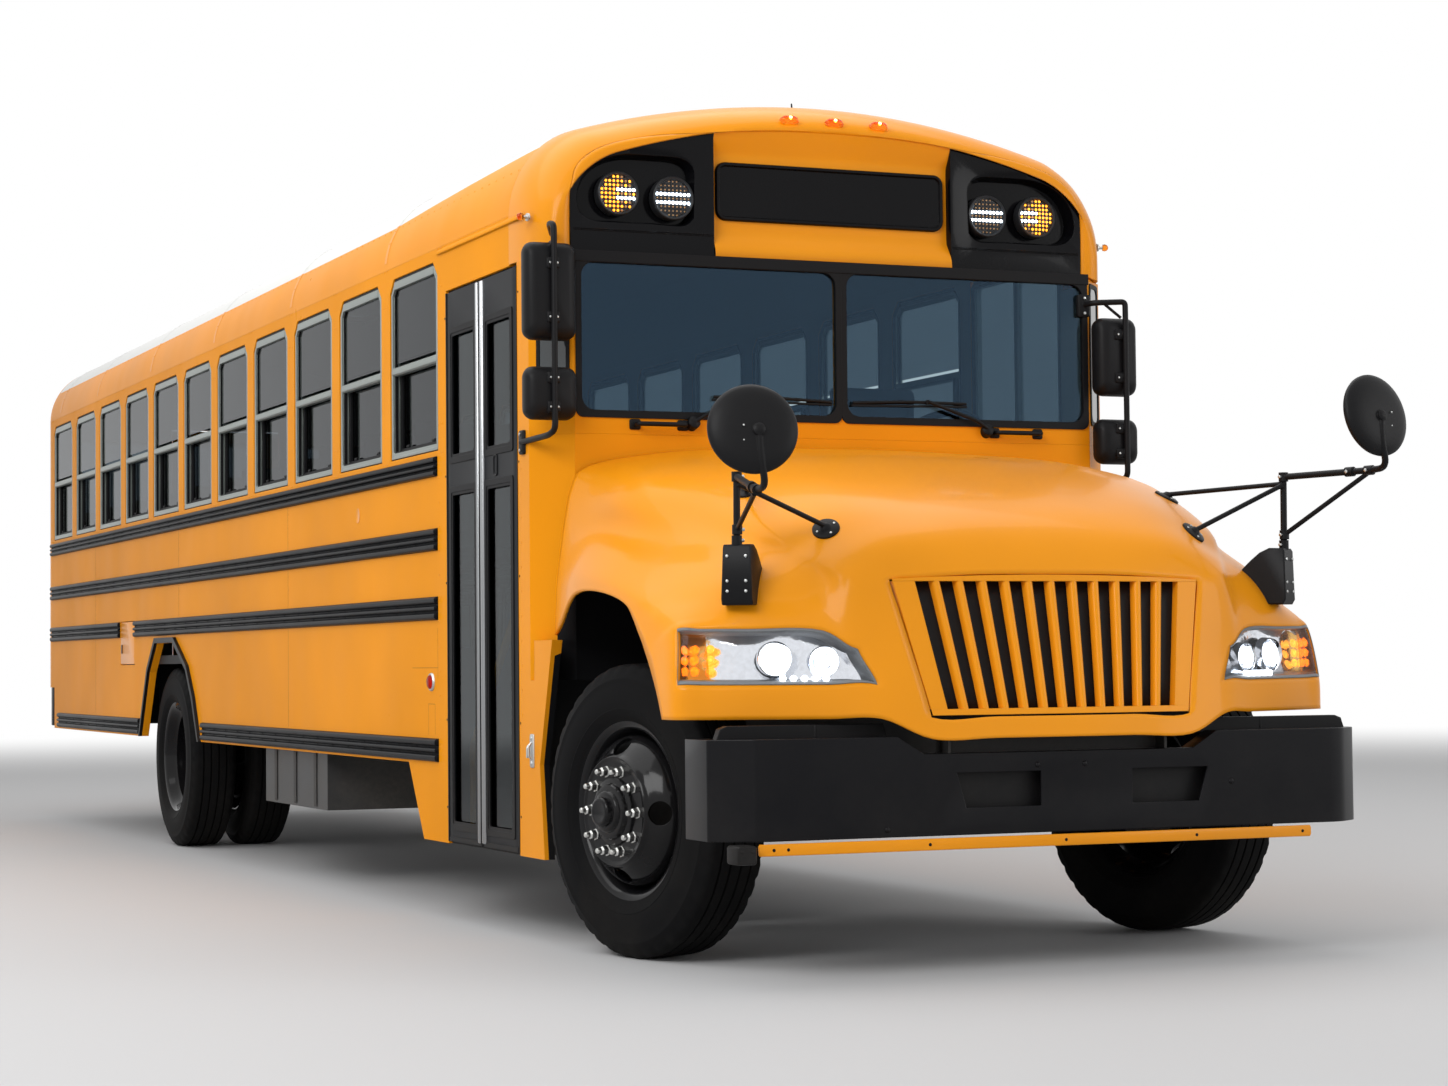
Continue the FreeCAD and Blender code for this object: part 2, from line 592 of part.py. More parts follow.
# ---------------------------------------------------------------- rub rails, wheel flares, bumpers
# name, lower edge, height, front end, rear end
RAILS = (("window", 1789, 82, "rail_front", "rail_back"), ("seat", 1486, 92, "rail_front", "rail_back"),
         ("floor_front", 1203, 96, "rail_front", "fuel_front - gap"),
         ("floor_rear", 1203, 96, "fuel_back + gap", "rail_back"),
         ("skirt_front", 626, 95, "rail_front", "arch_front - 60"),
         ("skirt_rear", 626, 95, "arch_back + 45", "rail_back - 260"))
rails = [box("rail_" + name, "body_half", front, low, "rail_proud", "%s - (%s)" % (back, front), high)
         for name, low, high, front, back in RAILS]
sub_part(both_sides("rub_rails", together("rails_left", rails)), "rub_rails")

# the trim round the arch: its outer edge, counted as the arch's own edge is
TRIM_TOP = ((485, 331), (380, 505), (170, 680), (-330, 680), (-664, 520), (-824, 346))
TRIM = [("arch_back + 30", "skirt_low")] + points(TRIM_TOP, "rear_axle", "tyre_radius") + [
    ("arch_front - 30", "skirt_low")]
flare = prism("flare", "YZ_Plane", TRIM + list(reversed(ARCH)), "body_half", "rail_proud")
FLAP_LOW, FLAP_THICK, FLAP_IN = 250, 10, 60
flap = box("mud_flap", "track_half - tyre_wide - side_clear / 2 - %d" % FLAP_IN, "arch_back + 2 * gap", FLAP_LOW,
           "tyre_wide + 2 * side_clear + %d" % FLAP_IN, FLAP_THICK, "floor_high - floor_thick - %d" % FLAP_LOW)
sub_part(both_sides("wheel_flares", together("flare_and_flap", [flare, flap])), "wheel_flares")

BUMPER = [("bumper_side", "bumper_wing"), ("bumper_side", "bumper_slant"), ("bumper_half", "0")]
BUMPER_IN = [("bumper_side - bumper_steel", "bumper_wing"),
             ("bumper_side - bumper_steel", "bumper_slant + bumper_steel / 2"),
             ("bumper_half - bumper_steel / 2", "bumper_steel")]
# the tow openings: across, and up from the lower edge; the notch: half its width at the top and foot, its depth
TOW = (((-76, 88), (-76, 202), (-386, 202), (-353, 88)), ((270, 88), (270, 202), (563, 202), (528, 88)))
NOTCH_TOP, NOTCH_FOOT, NOTCH_DEEP = 600, 505, 57
bumper = prism("bumper_bar", "XY_Plane", hollow_plan(BUMPER, BUMPER_IN), "bumper_low", "bumper_high - bumper_low")
NOTCH_EDGE = "bumper_high - %d" % NOTCH_DEEP
THROUGH = ("-gap", "bumper_steel + 2 * gap")
pocket(bumper, "XZ_Plane", [("-%d" % NOTCH_TOP, "bumper_high"), ("-%d" % NOTCH_FOOT, NOTCH_EDGE),
                            (str(NOTCH_FOOT), NOTCH_EDGE), (str(NOTCH_TOP), "bumper_high")], *THROUGH)
for opening in TOW:
    pocket(bumper, "XZ_Plane", [(str(x), "bumper_low + %d" % up) for x, up in opening], *THROUGH)


def plate_bolts(body, high, start):
    """The two bolt holes of a licence plate below a bumper's upper edge."""
    spots = [(x, "%s - plate_drop" % high) for x in ("-plate_pitch / 2", "plate_pitch / 2")]
    taken(body, "XZ_Plane", rounds(body, "XZ_Plane", spots, "plate_hole", start), "bumper_steel + 2 * gap")


plate_bolts(bumper, "bumper_high", "-gap")
sub_part(bumper, "front_bumper")

# the rear bumper's corner: forward from its face, in from the side
REAR_SLANT, REAR_CORNER = 60, 70
REAR_BUMPER = [("body_half - rear_bumper_in", "body_back - rear_bumper_wrap"),
               ("body_half - rear_bumper_in", "rear_reach - %d" % REAR_SLANT),
               ("body_half - rear_bumper_in - %d" % REAR_CORNER, "rear_reach")]
REAR_IN = [("body_half - rear_bumper_in - bumper_steel", "body_back - rear_bumper_wrap"),
           ("body_half - rear_bumper_in - bumper_steel", "rear_reach - %d - bumper_steel / 2" % REAR_SLANT),
           ("body_half - rear_bumper_in - %d - bumper_steel / 2" % REAR_CORNER, "rear_reach - bumper_steel")]
rear_bumper = prism("rear_bumper_bar", "XY_Plane", hollow_plan(REAR_BUMPER, REAR_IN), "rear_bumper_low",
                    "rear_bumper_high - rear_bumper_low")
plate_bolts(rear_bumper, "rear_bumper_high", "rear_reach - bumper_steel - gap")
sub_part(rear_bumper, "rear_bumper")

# ---------------------------------------------------------------- chassis
WEB_FACE, LOW_WEB, HIGH_WEB = "frame_half - frame_web", "frame_low + frame_web", "frame_high - frame_web"
RAIL_SECTION = [("frame_half", "frame_low"), ("frame_half", "frame_high"), ("frame_half - frame_flange", "frame_high"),
                ("frame_half - frame_flange", HIGH_WEB), (WEB_FACE, HIGH_WEB), (WEB_FACE, LOW_WEB),
                ("frame_half - frame_flange", LOW_WEB), ("frame_half - frame_flange", "frame_low")]
rail_left = prism("rail_left", "XZ_Plane", RAIL_SECTION, "frame_front", "frame_back - frame_front")
# one crossmember at the front, the others evenly from behind the engine to the rear end
CROSSMEMBERS, CROSS_DEEP, CROSS_DROP, CROSS_BACK = 7, 60, 40, 60
FIRST = "cowl_face + %d" % CROSS_BACK
crossed = ["frame_front + gap"] + ["%s + %d * (frame_back - gap - %d - (%s)) / %d"
                                   % (FIRST, place, CROSS_DEEP, FIRST, CROSSMEMBERS - 1)
                                   for place in range(CROSSMEMBERS)]
pieces = [rail_left, mirrored("rail_right", rail_left)]
for place, station in enumerate(crossed):
    pieces.append(box("crossmember_%d" % place, "-(%s)" % WEB_FACE, station, "frame_low + %d" % CROSS_DROP,
                      "2 * (%s)" % WEB_FACE, CROSS_DEEP, "frame_deep - 2 * %d" % CROSS_DROP))
HANGER_IN, HANGER_HIGH = 30, 170
for side, x in (("left", "frame_half - %d" % HANGER_IN), ("right", "-frame_half + %d - frame_web" % HANGER_IN)):
    pieces.append(box("front_hanger_" + side, x, "bumper_steel", LOW_WEB, "frame_web", "frame_front", 90))
    pieces.append(box("rear_hanger_" + side, x, "frame_back - frame_front", LOW_WEB, "frame_web",
                      "frame_end - bumper_steel + frame_front", HANGER_HIGH))
sub_part(joined("frame_rails", pieces), "frame_rails")

# name, axle, half the length, from the axle up to the spring, from the spring up to the frame
SPRINGS = (("front", "front_axle", 700, 60, 20), ("rear", "rear_axle", 800, 70, 20))
SADDLE = 60
springs = []
for name, station, reach, low, free in SPRINGS:
    springs.append(box("spring_" + name, "frame_half - frame_flange", "%s - %d" % (station, reach),
                       "tyre_radius + %d" % low, "frame_flange", 2 * reach, "frame_rise - %d" % (low + free)))
sub_part(both_sides("leaf_springs", together("springs_left", springs)), "leaf_springs")


def saddles(name, station, low, high):
    """The blocks between an axle and its two springs."""
    return [box("%s_saddle_%s" % (name, side), x, "%s - %d" % (station, SADDLE), "tyre_radius + %d" % low,
                "frame_flange", 2 * SADDLE, high - low)
            for side, x in (("left", "frame_half - frame_flange"), ("right", "-frame_half"))]


# the front beam: half its thickness, its drop below the axle, its ends; the kingpin eyes and the ends beside them
BEAM_HALF, BEAM_DROP, BEAM_END, EYE_RADIUS, EYE_HALF, END_IN, END_LONG, END_HALF = 50, 40, 75, 45, 75, 20, 70, 40
beam = box("axle_beam", "-kingpin_half + %d" % BEAM_END, "front_axle - %d" % BEAM_HALF,
           "tyre_radius - %d" % (BEAM_HALF + BEAM_DROP), "2 * (kingpin_half - %d)" % BEAM_END, 2 * BEAM_HALF,
           2 * BEAM_HALF)
pieces = [beam] + saddles("front", "front_axle", BEAM_HALF - BEAM_DROP, SPRINGS[0][3])
for side, x in (("left", "kingpin_half"), ("right", "-kingpin_half")):
    pieces.append(rod("kingpin_eye_" + side, EYE_RADIUS, 2 * EYE_HALF, x, "front_axle",
                      "tyre_radius - %d" % EYE_HALF))
for side, x in (("left", "kingpin_half - %d" % (END_IN + END_LONG)), ("right", "-kingpin_half + %d" % END_IN)):
    pieces.append(box("axle_end_" + side, x, "front_axle - %d" % END_HALF, "tyre_radius - %d" % EYE_HALF, END_LONG,
                      2 * END_HALF, EYE_HALF + BEAM_HALF - BEAM_DROP))
sub_part(joined("front_axle", pieces), "front_axle")

# the rear housing: radius of its tube and of the differential, and where it begins to swell
TUBE, BOWL, BOWL_FLAT, BOWL_END = 70, 190, 110, 230
AXLE_END = "track_half - twin_gap - tyre_wide / 2 - gap"
housing = turned("axle_housing", [[("-(%s)" % AXLE_END, "0"), ("-(%s)" % AXLE_END, TUBE), (-BOWL_END, TUBE),
                                   (-BOWL_FLAT, BOWL), (BOWL_FLAT, BOWL), (BOWL_END, TUBE), (AXLE_END, TUBE),
                                   (AXLE_END, "0")]])
housing.setExpression("Placement", bound("placement(vector(0; rear_axle; tyre_radius); vector(0; 0; 1); 0)"))
NOSE_HALF, NOSE_REACH = 60, 250
nose = box("pinion_nose", -NOSE_HALF, "rear_axle - %d" % NOSE_REACH, "tyre_radius - %d" % NOSE_HALF, 2 * NOSE_HALF,
           NOSE_REACH - NOSE_HALF, 2 * NOSE_HALF)
sub_part(joined("rear_axle", [housing, nose] + saddles("rear", "rear_axle", 0, SPRINGS[1][3])), "rear_axle")

# the engine and gearbox, the radiator's core, the fuel tank: half width or width, length and height
ENGINE_HALF, ENGINE_LONG, ENGINE_HIGH, ENGINE_BACK, ENGINE_DROP = 290, 1120, 640, 60, 40
CORE_HALF, CORE_THICK, CORE_HIGH, CORE_FRONT = 340, 90, 520, 170
TANK_WIDE, TANK_LONG, TANK_HIGH, TANK_LOW, TANK_BACK = 620, 1170, 510, 345, 2060
SHAFT_RADIUS, SHAFT_RISE, SHAFT_FRONT = 50, 60, 640
shaft = rod("driveshaft_tube", SHAFT_RADIUS, "rear_axle - %d - gap - (cowl_face + %d)" % (NOSE_REACH, SHAFT_FRONT),
            "0", "cowl_face + %d" % SHAFT_FRONT, "tyre_radius + %d" % SHAFT_RISE, "y")
sub_part(together("driveshaft", [shaft]), "driveshaft")
engine = box("engine", -ENGINE_HALF, "cowl_face - %d" % (ENGINE_BACK + ENGINE_LONG), "frame_low - %d" % ENGINE_DROP,
             2 * ENGINE_HALF, ENGINE_LONG, ENGINE_HIGH)
sub_part(together("engine_block", [engine]), "engine_block")
core = box("core", -CORE_HALF, CORE_FRONT, "frame_low + 6 * gap", 2 * CORE_HALF, CORE_THICK, CORE_HIGH)
sub_part(together("radiator", [core]), "radiator")
tank = box("tank", "-inner_half + 2 * gap", "door_back + %d" % TANK_BACK, TANK_LOW, TANK_WIDE, TANK_LONG, TANK_HIGH)
sub_part(together("fuel_tank", [tank]), "fuel_tank")
# the muffler and tail pipe: across, radius, front end behind the doorway, length; the pipe ends ahead of the axle
EXHAUST_X, EXHAUST_DROP, MUFFLER, MUFFLER_FRONT, MUFFLER_LONG, PIPE, PIPE_END = 620, 30, 130, 790, 1100, 50, 1150
muffler = rod("muffler", MUFFLER, MUFFLER_LONG, EXHAUST_X, "door_back + %d" % MUFFLER_FRONT,
              "frame_low - %d" % EXHAUST_DROP, "y")
PIPE_START = "door_back + %d" % (MUFFLER_FRONT + MUFFLER_LONG)
pipe = rod("tail_pipe", PIPE, "rear_axle - %d - (%s)" % (PIPE_END, PIPE_START), EXHAUST_X, PIPE_START,
           "frame_low - %d" % EXHAUST_DROP, "y")
sub_part(joined("exhaust", [muffler, pipe]), "exhaust")

# ---------------------------------------------------------------- hood, grille and headlights
# station, crown height, then in from the body's side and up: shoulder, crease, fender's crest, flank
HOOD = (("-80", 1250, (770, 1240), (580, 1190), (220, 1040), (-20, 950)),
        ("300", 1560, (620, 1525), (410, 1390), (140, 1235), (-20, 1140)),
        ("900", 1745, (570, 1705), (320, 1600), (120, 1440), (20, 1280)),
        ("hood_back", 1832, (320, 1815), (145, 1735), (100, 1500), (65, 1250)))
# in from the body's side and station of the hood's plan at its datum; the front leans back as it rises
HOOD_PLAN = ((620, -15), (570, 0), (120, 218), (-12, 300), (-30, 400), (-30, 1700))
HOOD_NOSE, HOOD_LEAN, HOOD_DATUM, HOOD_FOOT, HOOD_TOP = -45, 0.19, 800, 400, 2000
PLAN_END = "hood_back + 54"


def hood_section(row, wall):
    """One cross-section of the hood, moved in by its wall."""
    station, top = number(row[0]), row[1] - wall
    right = [FreeCAD.Vector(body_half - inset - wall, station, up - wall) for inset, up in row[2:]]
    foot = FreeCAD.Vector(right[-1].x, station, HOOD_FOOT)
    left = [FreeCAD.Vector(-spot.x, spot.y, spot.z) for spot in right]
    middle = Part.Arc(left[0], FreeCAD.Vector(0, station, top), right[0]).toShape()
    sides = Part.makePolygon(right + [foot, FreeCAD.Vector(-foot.x, foot.y, foot.z)] + left[::-1])
    return Part.Wire([middle] + sides.Edges)


def hood_plan(height, wall):
    """The hood's plan at a height, moved in by its wall."""
    shift = (height - HOOD_DATUM) * HOOD_LEAN + wall
    rows = HOOD_PLAN[:-1] + ((HOOD_PLAN[-1][0], number(PLAN_END)),)
    right = [FreeCAD.Vector(body_half - inset - wall, y + shift, height) for inset, y in rows]
    left = [FreeCAD.Vector(-spot.x, spot.y, spot.z) for spot in right]
    nose = Part.Arc(left[0], FreeCAD.Vector(0, HOOD_NOSE + shift, height), right[0]).toShape()
    return Part.Wire([nose] + Part.makePolygon(right + left[::-1]).Edges)


def hood_form(wall):
    """The hood's form as a solid, moved in by its wall."""
    form = Part.makeLoft([hood_section(row, wall) for row in HOOD], True, True)
    plan = Part.makeLoft([hood_plan(height, wall) for height in (HOOD_FOOT, HOOD_TOP)], True, True)
    return form.common(plan)


def across(corners, start, length):
    """A solid pushed rearward from an outline of (x, z)."""
    spots = [FreeCAD.Vector(x, start, z) for x, z in corners]
    return Part.Face(Part.makePolygon(spots + spots[:1])).extrude(FreeCAD.Vector(0, length, 0))


def sideways(corners, start, length):
    """A solid pushed to the driver's side from an outline of (station, z)."""
    spots = [FreeCAD.Vector(start, y, z) for y, z in corners]
    return Part.Face(Part.makePolygon(spots + spots[:1])).extrude(FreeCAD.Vector(length, 0, 0))


def turned_over(shape):
    """The mirror image of a shape across the bus's middle."""
    return shape.mirror(FreeCAD.Vector(0, 0, 0), FreeCAD.Vector(1, 0, 0))


GRILLE = ((-583, 1284), (-486, 836), (486, 836), (583, 1284))
# in from the body's side, and up
HEADLIGHT = ((564, 943), (-80, 947), (-80, 1133), (420, 1122), (505, 1060))
# the wheel arch from front to back: along from the front axle, up from it
ARCH_FRONT = ((-647, 330), (-475, 587), (-340, 706), (-56, 760), (174, 767), (438, 651), (490, 610), (650, 610))
CUT_FRONT, CUT_DEEP = -200, 800
WIDE = 2 * body_half
front_axle, axle_high = number("front_axle"), number("tyre_radius")
shell = hood_form(0).cut(hood_form(number("hood_wall")))
arch = [(front_axle + along, axle_high + up) for along, up in ARCH_FRONT]
arch = [(arch[0][0] - axle_high / 4, 0)] + arch + [(arch[-1][0], 0)]
shell = shell.cut(sideways(arch, -WIDE / 2 - panel, WIDE + 2 * panel))
for x, wide, low in ((-WIDE, 2 * WIDE, number("lip_low")), (-WIDE, WIDE - number("lip_half"), number("hood_low")),
                     (number("lip_half"), WIDE, number("hood_low"))):
    shell = shell.cut(block(x, CUT_FRONT, 0, wide, body_back, low))
lamp_hole = across([(body_half - inset, up) for inset, up in HEADLIGHT], CUT_FRONT, CUT_DEEP)
lenses = []
for tool in (lamp_hole, turned_over(lamp_hole)):
    lenses.append(shell.common(tool))
    shell = shell.cut(tool)
grille_hole = across(GRILLE, CUT_FRONT, CUT_DEEP / 2)
bars = shell.common(grille_hole)
# slots, the share of the pitch where each begins and ends, then height and half width at the foot and at the top
SLOTS, SLOT_START, SLOT_END, SLOT_FOOT, SLOT_TOP = 12, 0.18, 0.82, (865, 433), (1272, 505)
for slot in range(SLOTS):
    corners = []
    for (z, half), shares in ((SLOT_FOOT, (SLOT_START, SLOT_END)), (SLOT_TOP, (SLOT_END, SLOT_START))):
        corners += [(half * (2 * (slot + share) / SLOTS - 1), z) for share in shares]
    bars = bars.cut(across(corners, CUT_FRONT, CUT_DEEP / 2))
sub_part(made("hood", shell.cut(grille_hole)), "hood")
sub_part(made("grille", bars), "grille")
sub_part(made("headlights", Part.makeCompound(lenses)), "headlights")

# side, height of the mirror's middle
CROSSVIEW = ((-1, 1744), (1, 1843))
# half the mirror's depth, the radius of its two faces, in from the body's side to its middle
HEAD_HALF, HEAD_ROUND, HEAD_IN = 60, 200, 56
# the arm goes back and down from the mirror to its knee, and the wedge stands below the knee
ARM_BACK, ARM_DROP, ARM, BRACE = 90, 60, 12, 10
KNEE_IN, KNEE_AT, KNEE_DROP, WEDGE_IN, WEDGE_HALF = 200, 290, 190, 195, 50
WEDGE = ((250, 1230), (290, 1405), (330, 1405), (520, 1370), (400, 1290))
# in from the body's side, station, height of the two braces' feet on the hood
FEET = ((430, 330, 1440), (420, 560, 1555))
mirrors = []
for side, height in CROSSVIEW:
    middle = (side * (body_half - HEAD_IN), HEAD_HALF - number("front_reach"), height)
    front, back = [Part.makeSphere(HEAD_ROUND, FreeCAD.Vector(middle[0], middle[1] + shift, height))
                   for shift in (HEAD_ROUND - HEAD_HALF, HEAD_HALF - HEAD_ROUND)]
    elbow = (middle[0], middle[1] + ARM_BACK, height - ARM_DROP)
    knee = (side * (body_half - KNEE_IN), KNEE_AT, height - KNEE_DROP)
    wedge = sideways(WEDGE, side * (body_half - WEDGE_IN) - WEDGE_HALF, 2 * WEDGE_HALF)
    pieces = [front.common(back), strut(middle, elbow, ARM), strut(elbow, knee, ARM), wedge,
              strut(knee, (knee[0], knee[1] + 10, WEDGE[2][1] - 35), ARM)]
    pieces += [strut(knee, (side * (body_half - inset), y, z), BRACE) for inset, y, z in FEET]
    mirrors.append(welded(pieces).cut(hood_form(0)))
sub_part(made("crossview_mirrors", Part.makeCompound(mirrors)), "crossview_mirrors")

# ---------------------------------------------------------------- doors
DOOR_MIDDLE = "(door_front + door_back) / 2"
# name, front edge, rear edge, how far in its panes begin at the front and end at the rear
LEAVES = (("front", "door_front + gap", DOOR_MIDDLE + " - gap / 2", 55, 55),
          ("rear", DOOR_MIDDLE + " + gap / 2", "door_back - gap", 60, 45))
# panes of a leaf: up from the step, height
LOW_PANE, HIGH_PANE = (70, 1345), (1535, 520)
GLASS_IN = 14
for name, front, back, ahead, behind in LEAVES:
    wide = "%s - (%s)" % (back, front)
    panes = [oblong("%s + %d" % (front, ahead), "step_low + %d" % low, "%s - %d" % (wide, ahead + behind), high)
             for low, high in (LOW_PANE, HIGH_PANE)]
    outer = oblong(front, "step_low + gap", wide, "door_high - step_low - 2 * gap")
    leaf = prism("leaf_" + name, "YZ_Plane", outer, "-body_half", "leaf_thick", panes)
    sub_part(leaf, "entry_door_%s_leaf" % name)
    glass = prism("leaf_glass_" + name, "YZ_Plane", panes[0], "-body_half + %d" % GLASS_IN, "pane", [panes[1]])
    sub_part(glass, "entry_door_%s_glass" % name)

# panes of the rear door: sill and height; the stiles beside them
REAR_PANES, STILE, REAR_GAP = (("window_low", "rear_pane_high"),
                               ("floor_high + 210", "window_low - floor_high - 383")), 90, 8
panes = [oblong("-rear_door_half + %d" % STILE, low, "2 * (rear_door_half - %d)" % STILE, high)
         for low, high in REAR_PANES]
outer = oblong("-rear_door_half + %d" % REAR_GAP, "floor_high + gap", "2 * (rear_door_half - %d)" % REAR_GAP,
               "rear_door_high - %d - floor_high - gap" % REAR_GAP)
sub_part(prism("rear_door_leaf", "XZ_Plane", outer, "body_back - leaf_thick", "leaf_thick", panes), "rear_door")
sub_part(prism("rear_door_panes", "XZ_Plane", panes[0], "body_back - %d" % REAR_PANE_IN, "pane", [panes[1]]),
         "rear_door_glass")
FUEL_GAP, FUEL_THICK = 4, 14
fuel_door = box("fuel_door_panel", "-body_half", "fuel_front + %d" % FUEL_GAP, "fuel_low + %d" % FUEL_GAP, FUEL_THICK,
                "fuel_wide - 2 * %d" % FUEL_GAP, "fuel_high - 2 * %d" % FUEL_GAP)
sub_part(together("fuel_door", [fuel_door]), "fuel_door")

# ---------------------------------------------------------------- hatches, crossing arm, stop arm
HATCH_LIFT = 6
for hatch in ("front", "rear"):
    lid = box("lid_" + hatch, "-hatch_half", "hatch_%s - hatch_half" % hatch, "crown + %d" % HATCH_LIFT,
              "2 * hatch_half", "2 * hatch_half", "hatch_thick")
    sub_part(together("roof_hatch_" + hatch, [lid]), "roof_hatch_" + hatch)

# the strip below the front bumper: in from the bumper's side, length, forward, thickness, down, height
ARM_IN, ARM_LONG, ARM_AHEAD, ARM_THICK, ARM_LOW, ARM_HIGH = 125, 2055, 26, 12, 44, 38
strip = box("arm_strip", "-bumper_side + %d" % ARM_IN, -ARM_AHEAD, "bumper_low - %d" % ARM_LOW, ARM_LONG, ARM_THICK,
            ARM_HIGH)
sub_part(together("crossing_arm", [strip]), "crossing_arm")
base = box("crossing_base", "-bumper_side + 35", "-60", "bumper_low - 68", 70, 90, 62)
# an eight-sided sign: the nearer and farther offsets of its corners; its middle behind the doorway, and height
STOP_NEAR, STOP_FAR, STOP_AT, STOP_HIGH, STOP_STANDS, STOP_THICK = 94, 227, 435, 1640, 28, 4
OCTAGON = [(along * STOP_NEAR, up * STOP_FAR) if flat else (along * STOP_FAR, up * STOP_NEAR)
           for along, up, flat in ((1, 1, 1), (1, 1, 0), (1, -1, 0), (1, -1, 1), (-1, -1, 1), (-1, -1, 0),
                                   (-1, 1, 0), (-1, 1, 1))]
sign = prism("stop_sign", "YZ_Plane", points(OCTAGON, "door_back + %d" % STOP_AT, STOP_HIGH),
             "body_half + %d" % STOP_STANDS, STOP_THICK)
blade = box("stop_blade", "body_half + %d" % (STOP_STANDS - 2), "door_back + 152", STOP_HIGH - 60, 8, 120, 120)
sub_part(joined("stop_arm", [sign, blade]), "stop_arm")
stop_base = box("stop_base", "body_half", "door_back + 56", STOP_HIGH - 50, 34, 72, 130)
sub_part(together("arm_actuators", [base, stop_base]), "arm_actuators")

# ---------------------------------------------------------------- side mirrors
# side, lowest and highest of the lower mirror, lowest and highest of the upper one
SIDE_MIRRORS = ((-1, 1915, 2112, 2205, 2564), (1, 1789, 1971, 2062, 2376))
# in from the side, ahead of the cowl's face, width, depth; the pole behind the glass and the arms to the pillar
MIRROR_IN, MIRROR_AHEAD, MIRROR_WIDE, MIRROR_DEEP, POLE_BACK, POLE, ARMS_BACK = 15, 100, 210, 85, 115, 13, 170
BODY_FRONT = [FreeCAD.Vector(number(x), number(y), 0) for x, y in symmetric(OUTER)]
body_front = Part.Face(Part.makePolygon(BODY_FRONT + BODY_FRONT[:1])).extrude(FreeCAD.Vector(0, 0, crown))
mirrors = []
for side, low_a, high_a, low_b, high_b in SIDE_MIRRORS:
    x, y = side * (body_half - MIRROR_IN), cowl_face - MIRROR_AHEAD
    pole = (x, y + POLE_BACK)
    pieces = [block(x - MIRROR_WIDE / 2, y, low, MIRROR_WIDE, MIRROR_DEEP, high - low)
              for low, high in ((low_a, high_a), (low_b, high_b))]
    pieces.append(strut(pole + (low_a - 40,), pole + (high_b + 90,), POLE))
    for height in ((low_a + high_a) / 2, (low_b + high_b) / 2):
        pieces.append(strut((x, y + MIRROR_DEEP - 20, height), pole + (height,), POLE))
    for height in (low_a - 30, high_b + 80):
        pieces.append(strut(pole + (height,), (side * (body_half - 25), cowl_face + ARMS_BACK, height), POLE))
    mirrors.append(welded(pieces).cut(body_front).cut(outer_cap))
sub_part(made("side_mirrors", Part.makeCompound(mirrors)), "side_mirrors")

# ---------------------------------------------------------------- lamps
# in from the side, up from the cap's lower edge; the front ones sit in the pans, the rear ones on the wall
WARNING = ((330, 244), (550, 237))
WARNING_RADIUS, WARNING_DEEP, WARNING_REAR_HIGH = 85, 45, 265
# across; height, half width, depth and height of a marker
MARKERS, MARKER_DROP, MARKER_HALF, MARKER_DEEP, MARKER_HIGH = (-190, 0, 190), 115, 45, 30, 35
# in from the side, height
TAILS = ((320, 1560), (320, 1330), (140, 1445))
TAIL_RADIUS, TAIL_DEEP, SIDE_LAMP, SIDE_LAMP_OUT, SIDE_LAMP_HIGH = 90, 40, 32, 22, 951
lamps = []
for side in ("", "-"):
    for inset, up in WARNING:
        x = "%s(body_half - %d)" % (side, inset)
        lamps.append(rod("warning_front", WARNING_RADIUS, WARNING_DEEP, x,
                         "cowl_face + cap_lean + %d" % (PAN_DEEP - WARNING_DEEP), "cap_low + %d" % up, "y"))
        lamps.append(rod("warning_rear", WARNING_RADIUS, WARNING_DEEP, x, "body_back",
                         "cap_low + %d" % WARNING_REAR_HIGH, "y"))
    lamps += [rod("tail", TAIL_RADIUS, TAIL_DEEP, "%s(body_half - %d)" % (side, inset), "body_back", high, "y")
              for inset, high in TAILS]
for x in MARKERS:
    lamps += [box("marker", x - MARKER_HALF, station, "crown - %d" % MARKER_DROP, 2 * MARKER_HALF, MARKER_DEEP,
                  MARKER_HIGH) for station in ("cowl_face + cap_lean - %d" % MARKER_DEEP, "body_back")]
lamps += [rod("side_marker", SIDE_LAMP, SIDE_LAMP_OUT, x, "door_back + 217", SIDE_LAMP_HIGH, "x")
          for x in ("-body_half - %d" % SIDE_LAMP_OUT, "body_half")]
sub_part(together("lamps", lamps), "lamps")

# ---------------------------------------------------------------- cabin
# a seat seen from the side: back from its backrest's front, up from the floor
SEAT_SIDE = ((-200, 320), (-200, 430), (190, 430), (230, 1010), (290, 1010), (260, 320))
SEAT_LEGS, LEG_WIDE, LEG_UP, SEAT_WALL = (-150, 200), 40, 320, 20
for side, start in (("left", "inner_half - %d - seat_wide" % SEAT_WALL), ("right", "-(inner_half - %d)" % SEAT_WALL)):
    seat = prism(side + "_bench", "YZ_Plane", points(SEAT_SIDE, "seat_front", "floor_high"), start, "seat_wide")
    bench = seat.Tip
    aisle = start if side == "left" else "%s + seat_wide - %d" % (start, LEG_WIDE)
    feet = [oblong("seat_front + (%d)" % along, "floor_high", LEG_WIDE, LEG_UP) for along in SEAT_LEGS]
    legs = padded(seat, "YZ_Plane", feet, aisle, LEG_WIDE)
    repeated(seat, [bench, legs], "seat_pitch", "seat_count")
    sub_part(seat, side + "_seats")

# name; across, back from the cowl's face, up from the floor; width, length, height
DRIVER = (("base", 440, 590, 0, 360, 380, 250), ("cushion", 390, 530, 250, 460, 480, 140),
          ("back", 390, 940, 300, 460, 110, 820))
pieces = [box("driver_" + name, x, "cowl_face + %d" % back, "floor_high + %d" % up, wide, long, high)
          for name, x, back, up, wide, long, high in DRIVER]
sub_part(joined("driver_seat", pieces), "driver_seat")
